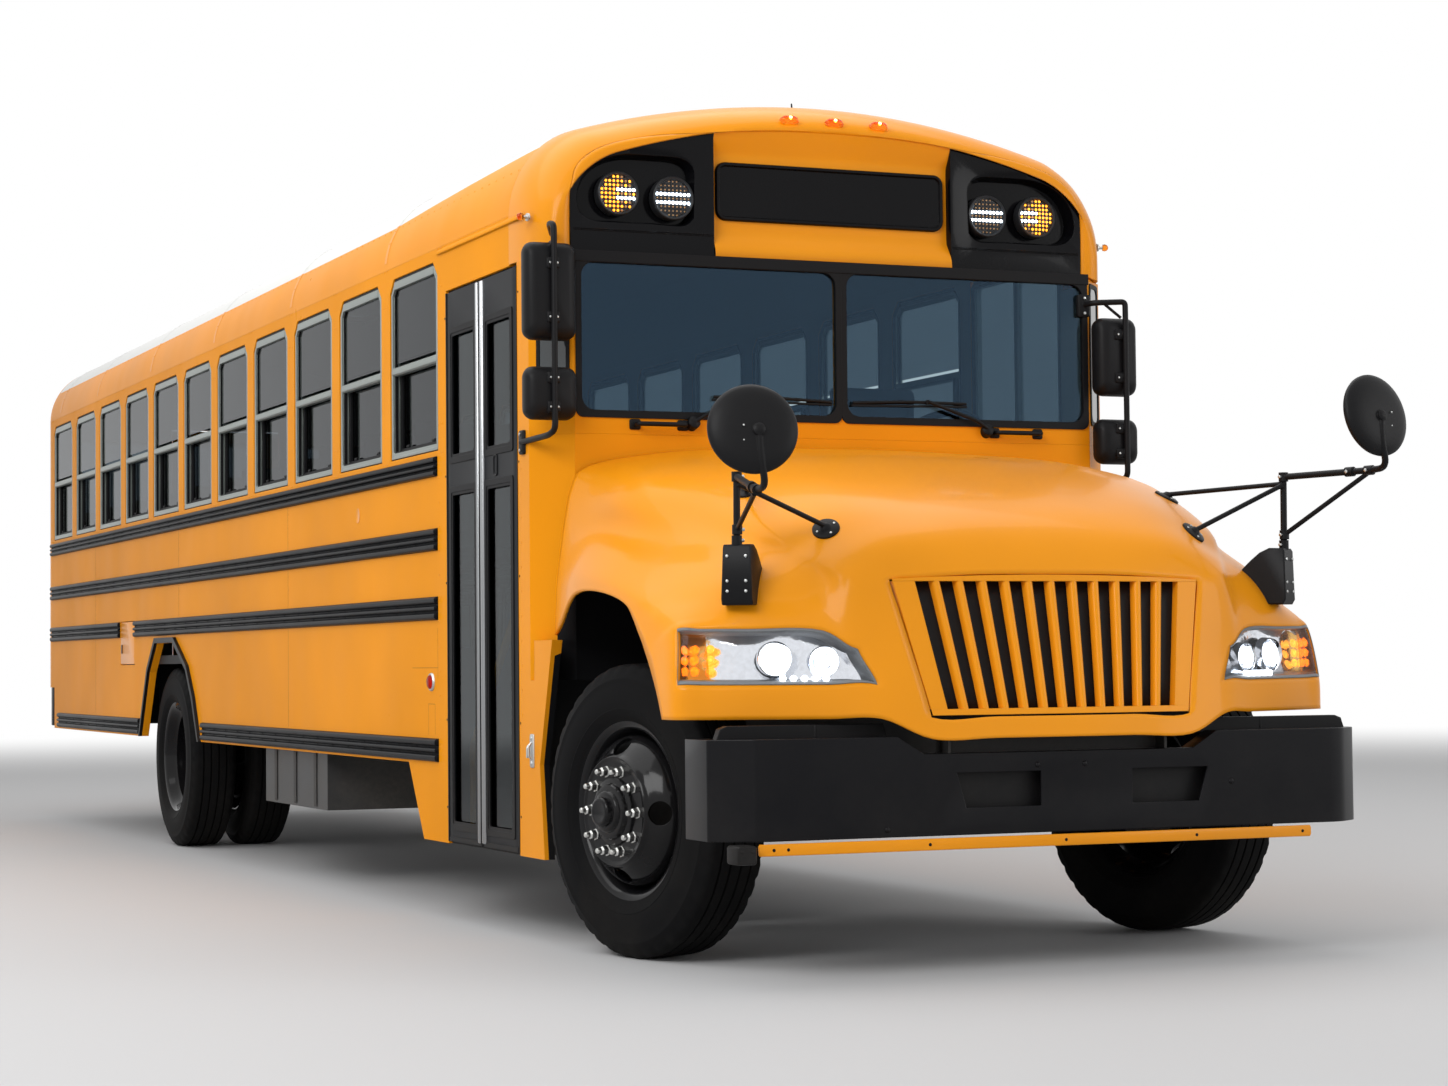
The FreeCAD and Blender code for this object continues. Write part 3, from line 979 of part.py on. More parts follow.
# the dashboard seen from the side: back from the cowl's face, up from the floor; its right end, its left end's inset
DASH = ((45, 290), (45, 810), (170, 845), (240, 790), (220, 610), (140, 290))
DASH_RIGHT, DASH_IN = 480, 180
dash_side = points(DASH, "cowl_face", "floor_high")
sub_part(prism("dash", "YZ_Plane", dash_side, -DASH_RIGHT, "body_half - %d" % (DASH_IN - DASH_RIGHT)), "dashboard")
# the steering wheel: across, radius, tube, column, spoke; back from the cowl's face and up from the floor
WHEEL_X, WHEEL, WHEEL_TUBE, COLUMN, SPOKE = 620, 225, 16, 30, 12
HUB, COLUMN_FOOT = (400, 740), (200, 590)
hub, foot = [(WHEEL_X, cowl_face + back, number("floor_high") + up) for back, up in (HUB, COLUMN_FOOT)]
ring = Part.makeTorus(WHEEL, WHEEL_TUBE, FreeCAD.Vector(*hub), FreeCAD.Vector(*hub) - FreeCAD.Vector(*foot))
spokes = [strut(hub, (WHEEL_X + side * WHEEL, hub[1], hub[2]), SPOKE) for side in (-1, 1)]
inside = sideways([(number(y), number(z)) for y, z in dash_side], 0, body_half)
sub_part(made("steering_wheel", welded([strut(foot, hub, COLUMN), ring] + spokes).cut(inside)), "steering_wheel")
# a grab rail beside the stairs, from the first step to the last: in from the side, and up from the doorway's foot
step_low, last_step = number("step_low"), number("%d * %s + %d" % (STEPS - 1, RISE, STEP_STEEL))
GRAB_RUN, GRAB, GRAB_IN = ((90, STEP_STEEL), (90, 395), (460, 1475), (660, 1475), (660, last_step)), 16, 60
grabs = []
for station in (number("door_front") + GRAB_IN, number("door_back") - GRAB_IN):
    run = [(inset - body_half, station, step_low + up) for inset, up in GRAB_RUN]
    grabs.append(welded([strut(start, end, GRAB) for start, end in zip(run, run[1:])]))
sub_part(made("grab_rails", Part.makeCompound(grabs)), "grab_rails")

# ---------------------------------------------------------------- wheels, knuckles
OUT = "kingpin_in"
# share of half the tyre's width, how far below the tread
TYRE_SIDE = ((0.7, 0), (0.84, 12), (0.96, 50), (1, 110), (0.94, 170), (0.66, 224))
# along the axle, out from the rim's radius: the barrel's outer line, then back along its inner one
BARREL_OUT = ((-112, 0), (-104, 0), (-96, -14), (-60, -20), (-42, -40), (42, -40), (60, -20), (96, -14), (104, 0),
              (112, 0))
BARREL_IN = ((106, -12), (98, -24), (64, -30), (46, -50), (-46, -50), (-64, -30), (-98, -24), (-106, -12))
# along the axle, away from it: the disc out to its hub face, which stands a dish away
DISC_OUT, DISC_IN, DISH, HUB_FACE, BORE, DISC_STEEL = ((40, 251), (60, 251), (118, 225), (162, 180)), (
    (108, 215), (50, 240)), 168, 168, 100, 10


def tyre(middle):
    """A tyre's cross-section about a middle plane: (along the axle, away from it)."""
    rows = [("%s %s tyre_wide / 2 * %s" % (middle, sign, share), "tyre_radius - %d" % drop)
            for sign, side in (("-", TYRE_SIDE[::-1]), ("+", TYRE_SIDE)) for share, drop in side]
    return rows


def rim(middle, sign):
    """A rim's two cross-sections: the barrel, and a disc dished to one side of the middle."""
    barrel_line = [("%s + (%d)" % (middle, along), "rim_radius + (%d)" % out)
                   for along, out in BARREL_OUT + BARREL_IN]
    hub_line = ((DISH, HUB_FACE), (DISH, BORE), (DISH - DISC_STEEL, BORE), (DISH - DISC_STEEL, HUB_FACE - 6))
    disc = [("%s + (%d)" % (middle, along * sign), str(out)) for along, out in DISC_OUT + hub_line + DISC_IN]
    return [barrel_line, disc]


def drum(middle, start, end, radius):
    """A plain round piece's cross-section between two places along the axle."""
    ends = ["%s + (%d)" % (middle, place) for place in (start, end)]
    return [(ends[0], "0"), (ends[0], radius), (ends[1], radius), (ends[1], "0")]


# start, end and radius along the axle from the tyre's middle
FRONT_HUB = ((-40, 60, 190), (60, 205, 100), (205, 235, 60))
BACKING = ((-58, -46, 180), (-70, -58, 60))
REAR_HUB = ((-130, 200, 150), (200, 320, 90))
STUD_START, STUD_LONG, STUDS = 165, 45, 10
# the knuckle's two ears and the plate that joins them: along, across, length, width; then foot and height
EARS = (((-45, -45, 110, 90), 82, 35), ((-45, -45, 110, 90), -117, 35), ((55, -45, 20, 90), -117, 234))
for side, x, turn in (("left", "kingpin_half", "0"), ("right", "-kingpin_half", "180")):
    place, angle = (x, "front_axle", "tyre_radius"), "%s + rest_steer" % turn
    sub_part(turned("front_%s_rubber" % side, [tyre(OUT)]), "front_%s_tyre" % side, place, angle)
    wheel = turned("front_%s_rim" % side, rim(OUT, 1) + [drum(OUT, *row) for row in FRONT_HUB])
    studs = rounds(wheel, "YZ_Plane", [("0", "stud_circle / 2")], "stud_radius", "%s + %d" % (OUT, STUD_START))
    around(wheel, raised(wheel, "YZ_Plane", studs, STUD_LONG), STUDS)
    sub_part(wheel, "front_%s_wheel" % side, place, angle)
    knuckle = turned("%s_backing" % side, [drum(OUT, *row) for row in BACKING])
    for ear, foot, high in EARS:
        padded(knuckle, "XY_Plane", [oblong(*ear)], foot, high)
    sub_part(knuckle, "steering_knuckle_" + side, place, angle)

for side, turn in (("left", "0"), ("right", "180")):
    place = ("0", "rear_axle", "tyre_radius")
    inner = "track_half - twin_gap"
    twins = [turned("rear_%s_rubber_%s" % (side, which), [tyre(middle)])
             for which, middle in (("out", "track_half"), ("in", inner))]
    sub_part(together("rear_%s_tyres" % side, twins), "rear_%s_tyres" % side, place, turn)
    hub = [drum(inner, *row) for row in REAR_HUB]
    sub_part(turned("rear_%s_rims" % side, rim("track_half", -1) + rim(inner, 1) + hub),
             "rear_%s_wheels" % side, place, turn)

# ---------------------------------------------------------------- check and write
document.recompute()
for item in document.Objects:
    if "Invalid" in item.State or "Error" in item.State:
        raise RuntimeError("%s did not compute" % item.Name)
for item in sub_parts:
    if item.Shape.isNull() or not item.Shape.isValid():
        raise RuntimeError("%s has no valid shape" % item.Label)
os.makedirs("parts", exist_ok=True)
for item in sub_parts:
    item.Shape.exportStep("parts/%s.step" % item.Label)
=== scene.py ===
import bmesh
import bpy
import math
from mathutils import Matrix, Vector


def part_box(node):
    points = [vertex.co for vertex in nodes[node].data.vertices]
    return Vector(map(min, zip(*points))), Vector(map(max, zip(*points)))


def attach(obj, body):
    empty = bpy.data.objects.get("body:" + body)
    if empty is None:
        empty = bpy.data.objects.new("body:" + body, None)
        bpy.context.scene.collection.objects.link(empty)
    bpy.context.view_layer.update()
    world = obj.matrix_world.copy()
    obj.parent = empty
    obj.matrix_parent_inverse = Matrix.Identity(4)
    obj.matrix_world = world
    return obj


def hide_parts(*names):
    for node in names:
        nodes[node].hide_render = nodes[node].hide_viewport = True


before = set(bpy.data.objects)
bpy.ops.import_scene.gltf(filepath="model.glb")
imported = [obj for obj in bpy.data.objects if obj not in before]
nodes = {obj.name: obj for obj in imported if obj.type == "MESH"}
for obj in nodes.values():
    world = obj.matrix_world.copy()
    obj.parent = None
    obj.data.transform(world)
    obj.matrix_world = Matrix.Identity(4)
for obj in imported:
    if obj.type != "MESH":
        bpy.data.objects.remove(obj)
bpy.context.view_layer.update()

# ---------------------------------------------------------------- the studio
# A plain pale floor that fades into a white room, two big soft lamps overhead and one low in front,
# and a long lens that stands ahead of the entry door's corner at the height of a person's chest.
def new_material(name):
    """An empty node material: the material, its tree and its shader."""
    material = bpy.data.materials.new(name)
    material.use_nodes = True
    return material, material.node_tree, material.node_tree.nodes["Principled BSDF"]


def node(tree, kind, **inputs):
    """A node with its settings and sockets filled; a socket goes by name, _ for a space, or by number."""
    made = tree.nodes.new(kind)
    for name, value in inputs.items():
        if hasattr(made, name):
            setattr(made, name, value)
            continue
        numbered = name[0] == "i" and name[1:].isdigit()
        socket = made.inputs[int(name[1:]) if numbered else name.replace("_", " ")]
        if isinstance(value, bpy.types.NodeSocket):
            tree.links.new(value, socket)
        else:
            socket.default_value = value
    return made


def maths(tree, operation, *values):
    """A Math node's value."""
    sockets = {"i%d" % place: value for place, value in enumerate(values)}
    return node(tree, "ShaderNodeMath", operation=operation, **sockets).outputs[0]


def looked_at(tree):
    """1 for a ray from the camera, off a mirror or through glass."""
    rays = node(tree, "ShaderNodeLightPath").outputs
    return maths(tree, "MAXIMUM", rays["Is Camera Ray"],
                 maths(tree, "MAXIMUM", rays["Is Glossy Ray"], rays["Is Transmission Ray"]))


ROOM_WHITE, ROOM_LIGHT, FLOOR_GREY = 1.0, 0.48, 0.58
FADE_NEAR, FADE_FAR, FLOOR_WIDE, SIGHT_END = 13.0, 30.0, 240, 300
scene = bpy.context.scene
scene.view_settings.view_transform = "Standard"
world = bpy.data.worlds.new("room")
scene.world = world
world.use_nodes = True
room = world.node_tree
level = node(room, "ShaderNodeMapRange", Value=looked_at(room), To_Min=ROOM_LIGHT, To_Max=ROOM_WHITE)
room.links.new(level.outputs[0], room.nodes["Background"].inputs["Strength"])
room.nodes["Background"].inputs["Color"].default_value = (1, 1, 1, 1)

bpy.ops.mesh.primitive_plane_add(size=FLOOR_WIDE)
floor_plane = bpy.context.object
floor_plane.name = "studio_floor"
floor_paint, tree, shader = new_material("studio_floor")
shader.inputs["Base Color"].default_value = (FLOOR_GREY, FLOOR_GREY, FLOOR_GREY * 1.01, 1)
shader.inputs["Roughness"].default_value = 0.7
place = node(tree, "ShaderNodeTexCoord").outputs["Object"]
away = node(tree, "ShaderNodeVectorMath", operation="LENGTH", i0=place).outputs["Value"]
fade = node(tree, "ShaderNodeMapRange", interpolation_type="SMOOTHSTEP", Value=away, From_Min=FADE_NEAR,
            From_Max=FADE_FAR).outputs[0]
glow = node(tree, "ShaderNodeEmission", Color=(1, 1, 1, 1), Strength=ROOM_WHITE)
mix = node(tree, "ShaderNodeMixShader", Fac=maths(tree, "MULTIPLY", fade, looked_at(tree)),
           i1=shader.outputs[0], i2=glow.outputs[0])
tree.links.new(mix.outputs[0], tree.nodes["Material Output"].inputs["Surface"])
floor_plane.data.materials.append(floor_paint)

# name, where it hangs, where it points, its two sides, watts
LAMPS = (("overhead", (-2.0, -1.0, 9.5), (0, -0.5, 0), (9, 16), 700),
         ("key", (-9.5, -11.0, 7.5), (0, -3.0, 1.0), (6, 5), 650),
         ("fill", (8.5, -12.0, 4.0), (0, -4.0, 1.0), (5, 5), 200))
for name, spot, target, sides, watts in LAMPS:
    lamp = bpy.data.lights.new(name, "AREA")
    lamp.shape = "RECTANGLE"
    lamp.size, lamp.size_y = sides
    lamp.energy = watts
    holder = bpy.data.objects.new(name, lamp)
    scene.collection.objects.link(holder)
    holder.visible_transmission = False
    holder.location = spot
    holder.rotation_euler = (Vector(target) - Vector(spot)).to_track_quat("-Z", "Y").to_euler()

LENS, CAMERA_SPOT = 72.39, Vector((-4.770, -14.293, 1.022))
YAW, PITCH, ROLL = math.radians(22.973), math.radians(2.336), math.radians(-0.549)
ahead = Vector((math.sin(YAW) * math.cos(PITCH), math.cos(YAW) * math.cos(PITCH), math.sin(PITCH)))
level_right = Vector((math.cos(YAW), -math.sin(YAW), 0))
level_up = level_right.cross(ahead)
right = math.cos(ROLL) * level_right + math.sin(ROLL) * level_up
up = math.cos(ROLL) * level_up - math.sin(ROLL) * level_right
camera = bpy.data.objects.new("camera", bpy.data.cameras.new("camera"))
scene.collection.objects.link(camera)
camera.data.lens = LENS
camera.data.clip_end = SIGHT_END
turn = Matrix((right, up, -ahead)).transposed().to_4x4()
camera.matrix_world = Matrix.Translation(CAMERA_SPOT) @ turn
scene.camera = camera

# ---------------------------------------------------------------- body panels
# Riveted steel panels over steel bows, sprayed with school-bus yellow and a clear coat; the roof's
# middle is white. The panels keep their pressed shapes, and their edges and rivets are added here.
def group(name, sockets_in, sockets_out):
    """An empty node group with its named sockets: (name, kind, default)."""
    made = bpy.data.node_groups.new(name, "ShaderNodeTree")
    for label, kind, start in sockets_in:
        socket = made.interface.new_socket(label, in_out="INPUT", socket_type=kind)
        if start is not None:
            socket.default_value = start
    for label, kind in sockets_out:
        made.interface.new_socket(label, in_out="OUTPUT", socket_type=kind)
    return made, made.nodes.new("NodeGroupInput"), made.nodes.new("NodeGroupOutput")


def mixed(tree, share, first, second):
    """One colour over another by a share."""
    return node(tree, "ShaderNodeMix", data_type="RGBA", i0=share, i6=first, i7=second).outputs[2]


COLOUR, VALUE, VECTOR = "NodeSocketColor", "NodeSocketFloat", "NodeSocketVector"
DUST_FOOT, DUST_HEIGHT, EDGE_WIDTH = 0.15, 0.9, 0.004
# road dust that gathers low down and in broad clouds, with a little wear where an edge is sharp
weathering, given, result = group("weathering", (("Colour", COLOUR, (0.5, 0.5, 0.5, 1)),
                                                 ("Dust", COLOUR, (0.30, 0.26, 0.21, 1)),
                                                 ("Dust Amount", VALUE, 0.3),
                                                 ("Worn", COLOUR, (0.2, 0.2, 0.2, 1)),
                                                 ("Wear Amount", VALUE, 0.3), ("Roughness", VALUE, 0.4)),
                                  (("Colour", COLOUR), ("Roughness", VALUE), ("Normal", VECTOR)))
place = node(weathering, "ShaderNodeTexCoord").outputs["Object"]
clouds = node(weathering, "ShaderNodeTexNoise", Vector=place, Scale=1.7, Detail=5.0,
              Roughness=0.6).outputs["Fac"]
specks = node(weathering, "ShaderNodeTexNoise", Vector=place, Scale=42.0, Detail=4.0,
              Roughness=0.7).outputs["Fac"]
height = node(weathering, "ShaderNodeSeparateXYZ", i0=place).outputs["Z"]
low = node(weathering, "ShaderNodeMapRange", Value=height, From_Min=DUST_FOOT, From_Max=DUST_HEIGHT,
           To_Min=1.0, To_Max=0.12).outputs[0]
cloud = node(weathering, "ShaderNodeMapRange", Value=clouds, From_Min=0.38, From_Max=0.72).outputs[0]
speck = node(weathering, "ShaderNodeMapRange", Value=specks, From_Min=0.35, From_Max=0.75,
             To_Min=0.55).outputs[0]
dust = maths(weathering, "MULTIPLY", maths(weathering, "MULTIPLY", cloud, speck),
             maths(weathering, "MULTIPLY", low, given.outputs["Dust Amount"]))
soft = node(weathering, "ShaderNodeBevel", samples=3, Radius=EDGE_WIDTH).outputs[0]
plain = node(weathering, "ShaderNodeNewGeometry").outputs["Normal"]
bend = node(weathering, "ShaderNodeVectorMath", operation="DOT_PRODUCT", i0=soft, i1=plain).outputs["Value"]
edge = node(weathering, "ShaderNodeMapRange", Value=bend, From_Min=0.99, From_Max=0.80).outputs[0]
chips = node(weathering, "ShaderNodeMapRange", Value=specks, From_Min=0.56, From_Max=0.64).outputs[0]
worn = maths(weathering, "MULTIPLY", maths(weathering, "MULTIPLY", edge, chips), given.outputs["Wear Amount"])
chipped = mixed(weathering, worn, given.outputs["Colour"], given.outputs["Worn"])
dusty = mixed(weathering, dust, chipped, given.outputs["Dust"])
rougher = maths(weathering, "ADD", given.outputs["Roughness"],
                maths(weathering, "ADD", maths(weathering, "MULTIPLY", dust, 0.5),
                      maths(weathering, "MULTIPLY", maths(weathering, "SUBTRACT", clouds, 0.5), 0.12)))
for value, label in ((dusty, "Colour"), (rougher, "Roughness"), (soft, "Normal")):
    weathering.links.new(value, result.inputs[label])

# the fine unevenness of a moulded, sprayed or rolled surface
surface_grain, given, result = group("surface_grain", (("Scale", VALUE, 320.0), ("Detail", VALUE, 2.0)),
                                     (("Height", VALUE),))
place = node(surface_grain, "ShaderNodeTexCoord").outputs["Object"]
bumps = node(surface_grain, "ShaderNodeTexNoise", Vector=place, Scale=given.outputs["Scale"],
             Detail=given.outputs["Detail"]).outputs["Fac"]
surface_grain.links.new(bumps, result.inputs["Height"])


def grain_height(tree, scale, detail):
    """The height of the surface grain, to tint or to bump by."""
    return node(tree, "ShaderNodeGroup", node_tree=surface_grain, Scale=scale,
                Detail=detail).outputs["Height"]


def aged(tree, shader, colour, roughness, dust, wear, worn):
    """Puts the weathering group before a shader; colour is four numbers or a socket."""
    ageing = node(tree, "ShaderNodeGroup", node_tree=weathering, Colour=colour, Worn=(*worn, 1),
                  Dust_Amount=dust, Wear_Amount=wear, Roughness=roughness)
    for given_out, socket in (("Colour", "Base Color"), ("Roughness", "Roughness"), ("Normal", "Normal")):
        tree.links.new(ageing.outputs[given_out], shader.inputs[socket])


def bumped(tree, shader, height, distance, strength):
    """A Bump node between a height and a shader's normal, over the normal that is there."""
    bump = node(tree, "ShaderNodeBump", Height=height, Distance=distance, Strength=strength)
    if shader.inputs["Normal"].links:
        tree.links.new(shader.inputs["Normal"].links[0].from_socket, bump.inputs["Normal"])
    tree.links.new(bump.outputs[0], shader.inputs["Normal"])


def shaded(tree, share, colour, low, high):
    """A colour that runs from one share of itself to another."""
    shade = node(tree, "ShaderNodeValToRGB", Fac=share)
    for stop, part in zip(shade.color_ramp.elements, (low, high)):
        stop.color = (*[min(1.0, tone * part) for tone in colour], 1)
    return shade


YELLOW, ROOF_WHITE, PAINT_GREY = (0.93, 0.335, 0.008), (0.80, 0.80, 0.78, 1), (0.30, 0.25, 0.14)
LINING, COVERED_BLACK, UNDER_BLACK = (0.42, 0.43, 0.42, 1), (0.010, 0.010, 0.011, 1), (0.012, 0.012, 0.013, 1)
# the roof's middle is white, a little narrower at its front end
white_crown, given, result = group("white_crown", (("Colour", COLOUR, None),), (("Colour", COLOUR),))
place = node(white_crown, "ShaderNodeTexCoord").outputs["Object"]
parts = node(white_crown, "ShaderNodeSeparateXYZ", i0=place).outputs
limit = node(white_crown, "ShaderNodeMapRange", Value=parts["Y"], From_Min=-3.77, From_Max=-2.17,
             To_Min=1.094, To_Max=1.160).outputs[0]
inner = maths(white_crown, "LESS_THAN", maths(white_crown, "ABSOLUTE", parts["X"]), limit)
white_crown.links.new(mixed(white_crown, inner, given.outputs["Colour"], ROOF_WHITE), result.inputs["Colour"])

# a pale lining where a face looks into the cabin, and black where it looks in below the floor
inner_lining, given, result = group("inner_lining", (("Colour", COLOUR, None), ("Ways", VECTOR, None)),
                                    (("Colour", COLOUR),))
place = node(inner_lining, "ShaderNodeTexCoord").outputs["Object"]
away = node(inner_lining, "ShaderNodeVectorMath", operation="SUBTRACT", i0=place, i1=(0, 0, 1.9)).outputs[0]
away = node(inner_lining, "ShaderNodeVectorMath", operation="MULTIPLY", i0=away,
            i1=given.outputs["Ways"]).outputs[0]
plain = node(inner_lining, "ShaderNodeNewGeometry").outputs["Normal"]
facing = node(inner_lining, "ShaderNodeVectorMath", operation="DOT_PRODUCT", i0=away,
              i1=plain).outputs["Value"]
inside = maths(inner_lining, "LESS_THAN", facing, -0.12)
under = maths(inner_lining, "LESS_THAN", node(inner_lining, "ShaderNodeSeparateXYZ",
                                              i0=place).outputs["Z"], 1.06)
tone = mixed(inner_lining, under, LINING, UNDER_BLACK)
inner_lining.links.new(mixed(inner_lining, inside, given.outputs["Colour"], tone), result.inputs["Colour"])


def paint(name, dust=0.08, coat=0.12, shine=0.12, white_middle=False, lining=None, under_hood=False):
    """Sprayed yellow with a clear coat over slightly wavy sheet; lining says which ways inner faces look."""
    material, tree, shader = new_material(name)
    shade = shaded(tree, grain_height(tree, 0.8, 3.0), YELLOW, 0.90, 1.06)
    shade.color_ramp.elements[0].position, shade.color_ramp.elements[1].position = 0.3, 0.7
    colour = shade.outputs[0]
    if white_middle:
        colour = node(tree, "ShaderNodeGroup", node_tree=white_crown, Colour=colour).outputs[0]
    if lining:
        colour = node(tree, "ShaderNodeGroup", node_tree=inner_lining, Colour=colour, Ways=lining).outputs[0]
    if under_hood:
        # the wall behind the front wheels is coloured black where the hood covers it
        place = node(tree, "ShaderNodeTexCoord").outputs["Object"]
        parts = node(tree, "ShaderNodeSeparateXYZ", i0=place).outputs
        forward = node(tree, "ShaderNodeSeparateXYZ",
                       i0=node(tree, "ShaderNodeNewGeometry").outputs["Normal"])
        limit = node(tree, "ShaderNodeMapRange", Value=parts["Z"], From_Min=1.15, From_Max=1.70, To_Min=1.143,
                     To_Max=1.00).outputs[0]
        foot = node(tree, "ShaderNodeMapRange", Value=parts["Z"], From_Min=1.05, From_Max=1.13, To_Min=1.204,
                    To_Max=1.00).outputs[0]
        limit = maths(tree, "MAXIMUM", limit, foot)
        covered = maths(tree, "MULTIPLY", maths(tree, "LESS_THAN", maths(tree, "ABSOLUTE", parts["X"]),
                                                limit), maths(tree, "LESS_THAN", forward.outputs["Y"], -0.3))
        covered = maths(tree, "MULTIPLY", covered, maths(tree, "LESS_THAN", parts["Z"], 1.68))
        colour = mixed(tree, covered, colour, COVERED_BLACK)
    aged(tree, shader, colour, 0.30, dust, 0.25, PAINT_GREY)
    shader.inputs["Specular IOR Level"].default_value = shine
    shader.inputs["Coat Weight"].default_value = coat
    shader.inputs["Coat Roughness"].default_value = 0.06
    bumped(tree, shader, grain_height(tree, 2.3, 1.0), 0.013, 0.5)
    bumped(tree, shader, grain_height(tree, 260.0, 1.0), 0.0002, 0.25)
    return material


yellow = paint("yellow_paint")
roof_paint = paint("roof_paint", white_middle=True)
side_paint = paint("side_paint", dust=0.02, coat=0.0, shine=0.01, lining=(1, 0, 0))
end_paint = paint("end_paint", coat=0.05, shine=0.06, lining=(0, 1, 0))
cowl_paint = paint("cowl_paint", dust=0.05, coat=0.02, shine=0.04, lining=(1, 1, 0), under_hood=True)
crown_paint = paint("crown_paint", dust=0.05, coat=0.02, shine=0.03, white_middle=True, lining=(1, 0, 1))


def dressed(names, material, width=0.0, steps=2):
    """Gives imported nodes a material, and a small bevel where their edges are folded."""
    for name in names:
        mesh = nodes[name].data
        mesh.materials.clear()
        mesh.materials.append(material)
        if width:
            bevel = nodes[name].modifiers.new("edges", "BEVEL")
            bevel.width = width
            bevel.segments = steps
            bevel.limit_method = "ANGLE"
            bevel.angle_limit = math.radians(35)
            bevel.harden_normals = False


dressed(["left_side_wall", "right_side_wall"], side_paint, 0.0015, 1)
dressed(["rear_wall"], end_paint, 0.003, 2)
dressed(["cowl", "windshield_frame"], cowl_paint, 0.003, 2)
dressed(["roof"], crown_paint)


def plastic(name, colour, roughness, dust=0.12, grain=320.0, deep=0.0003, coat=0.0, metal=0.0, shine=0.14):
    """Moulded or painted black and grey pieces with a fine grain."""
    material, tree, shader = new_material(name)
    aged(tree, shader, (*colour, 1), roughness, dust, 0.35, [min(1, part * 2.5 + 0.04) for part in colour])
    shader.inputs["Coat Weight"].default_value = coat
    shader.inputs["Metallic"].default_value = metal
    shader.inputs["Specular IOR Level"].default_value = shine
    bumped(tree, shader, grain_height(tree, grain, 2.0), deep, 0.6)
    return material


black = plastic("black_enamel", (0.0045, 0.0045, 0.006), 0.30, dust=0.05, coat=0.05, shine=0.12)
chassis = plastic("chassis_black", (0.006, 0.006, 0.007), 0.6, dust=0.2, shine=0.08)
grained = plastic("grained_black", (0.007, 0.007, 0.008), 0.42)
rubber = plastic("tyre_rubber", (0.0065, 0.0065, 0.0070), 0.62, dust=0.05, shine=0.04)
metal = plastic("bare_metal", (0.55, 0.56, 0.55), 0.35, metal=1.0, dust=0.15)


def glass(name, tint, bend=1.45):
    """Tinted safety glass, faintly smeared, with a cool cast in what it mirrors."""
    material, tree, shader = new_material(name)
    shader.inputs["Transmission Weight"].default_value = 1.0
    shader.inputs["IOR"].default_value = bend
    shader.inputs["Specular Tint"].default_value = (0.40, 0.66, 1.0, 1)
    smears = grain_height(tree, 3.0, 6.0)
    haze = node(tree, "ShaderNodeMapRange", Value=smears, From_Min=0.45, From_Max=0.8, To_Min=0.004,
                To_Max=0.019)
    tree.links.new(haze.outputs[0], shader.inputs["Roughness"])
    bumped(tree, shader, smears, 0.0001, 0.05)
    tree.links.new(shaded(tree, smears, tint, 0.92, 1.0).outputs[0], shader.inputs["Base Color"])
    return material


clear = glass("windshield_glass", (0.36, 0.47, 0.52), bend=1.5)

# ---------------------------------------------------------------- hood
# One moulded fibreglass nose with both front fenders, hinged low at the front and held down by a clasp
# on each side, and sprayed yellow. Its skin runs smoothly through the points set on its ridges.
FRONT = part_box("front_bumper")[0].y


def here(x, y, z):
    """The row-frame place of a point whose station counts from the bumper's face."""
    return Vector((x, FRONT + y, z))


def built(name, bm, material, body, smooth=35, instead_of=(), materials=()):
    """A finished mesh that rides on a body."""
    mesh = bpy.data.meshes.new(name)
    bm.normal_update()
    bm.to_mesh(mesh)
    bm.free()
    for each in (material, *materials):
        mesh.materials.append(each)
    mesh.shade_smooth()
    mesh.set_sharp_from_angle(angle=math.radians(smooth))
    thing = bpy.data.objects.new(name, mesh)
    scene.collection.objects.link(thing)
    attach(thing, body)
    if instead_of:
        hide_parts(*instead_of)
    return thing


def edged(thing, width, steps=2, angle=40):
    """Rounds a piece's sharp edges."""
    bevel = thing.modifiers.new("edges", "BEVEL")
    bevel.width = width
    bevel.segments = steps
    bevel.limit_method = "ANGLE"
    bevel.angle_limit = math.radians(angle)
    bevel.use_clamp_overlap = True
    return thing


def thick(thing, wall):
    """Gives a skin its thickness, inward."""
    solid = thing.modifiers.new("wall", "SOLIDIFY")
    solid.thickness = wall
    solid.offset = -1.0
    solid.use_even_offset = True
    return thing


def curve_through(points, steps):
    """Points on a smooth curve through given ones, closer given points making a tighter bend."""
    points = [Vector(point) for point in points]
    ends = [points[0] * 2 - points[1], *points, points[-1] * 2 - points[-2]]
    found = []
    for place in range(len(points) - 1):
        spots = ends[place:place + 4]
        knots = [0.0]
        for first, second in zip(spots, spots[1:]):
            knots.append(knots[-1] + max(math.sqrt((second - first).length), 1e-4))
        for step in range(steps):
            now = knots[1] + (knots[2] - knots[1]) * step / steps
            row, reach = spots, 1
            while len(row) > 1:
                row = [(row[i] * (knots[i + reach] - now) + row[i + 1]
                        * (now - knots[i])) / (knots[i + reach] - knots[i]) for i in range(len(row) - 1)]
                reach += 1
                if reach == 3:
                    row = [(row[0] * (knots[2] - now) + row[1] * (now - knots[1])) / (knots[2] - knots[1])]
                    break
            found.append(row[0])
    return found + [points[-1]]


def mirror_row(row):
    """A row of points from the middle outward, completed to both sides."""
    return [Vector((-point[0], *point[1:])) for point in reversed(row[1:])] + [Vector(point) for point in row]


def skin_grid(rows, along, across):
    """A dense grid of points that runs smoothly through a coarse one."""
    wide = [curve_through(row, across) for row in rows]
    columns = [curve_through([row[place] for row in wide], along) for place in range(len(wide[0]))]
    return [list(line) for line in zip(*columns)]


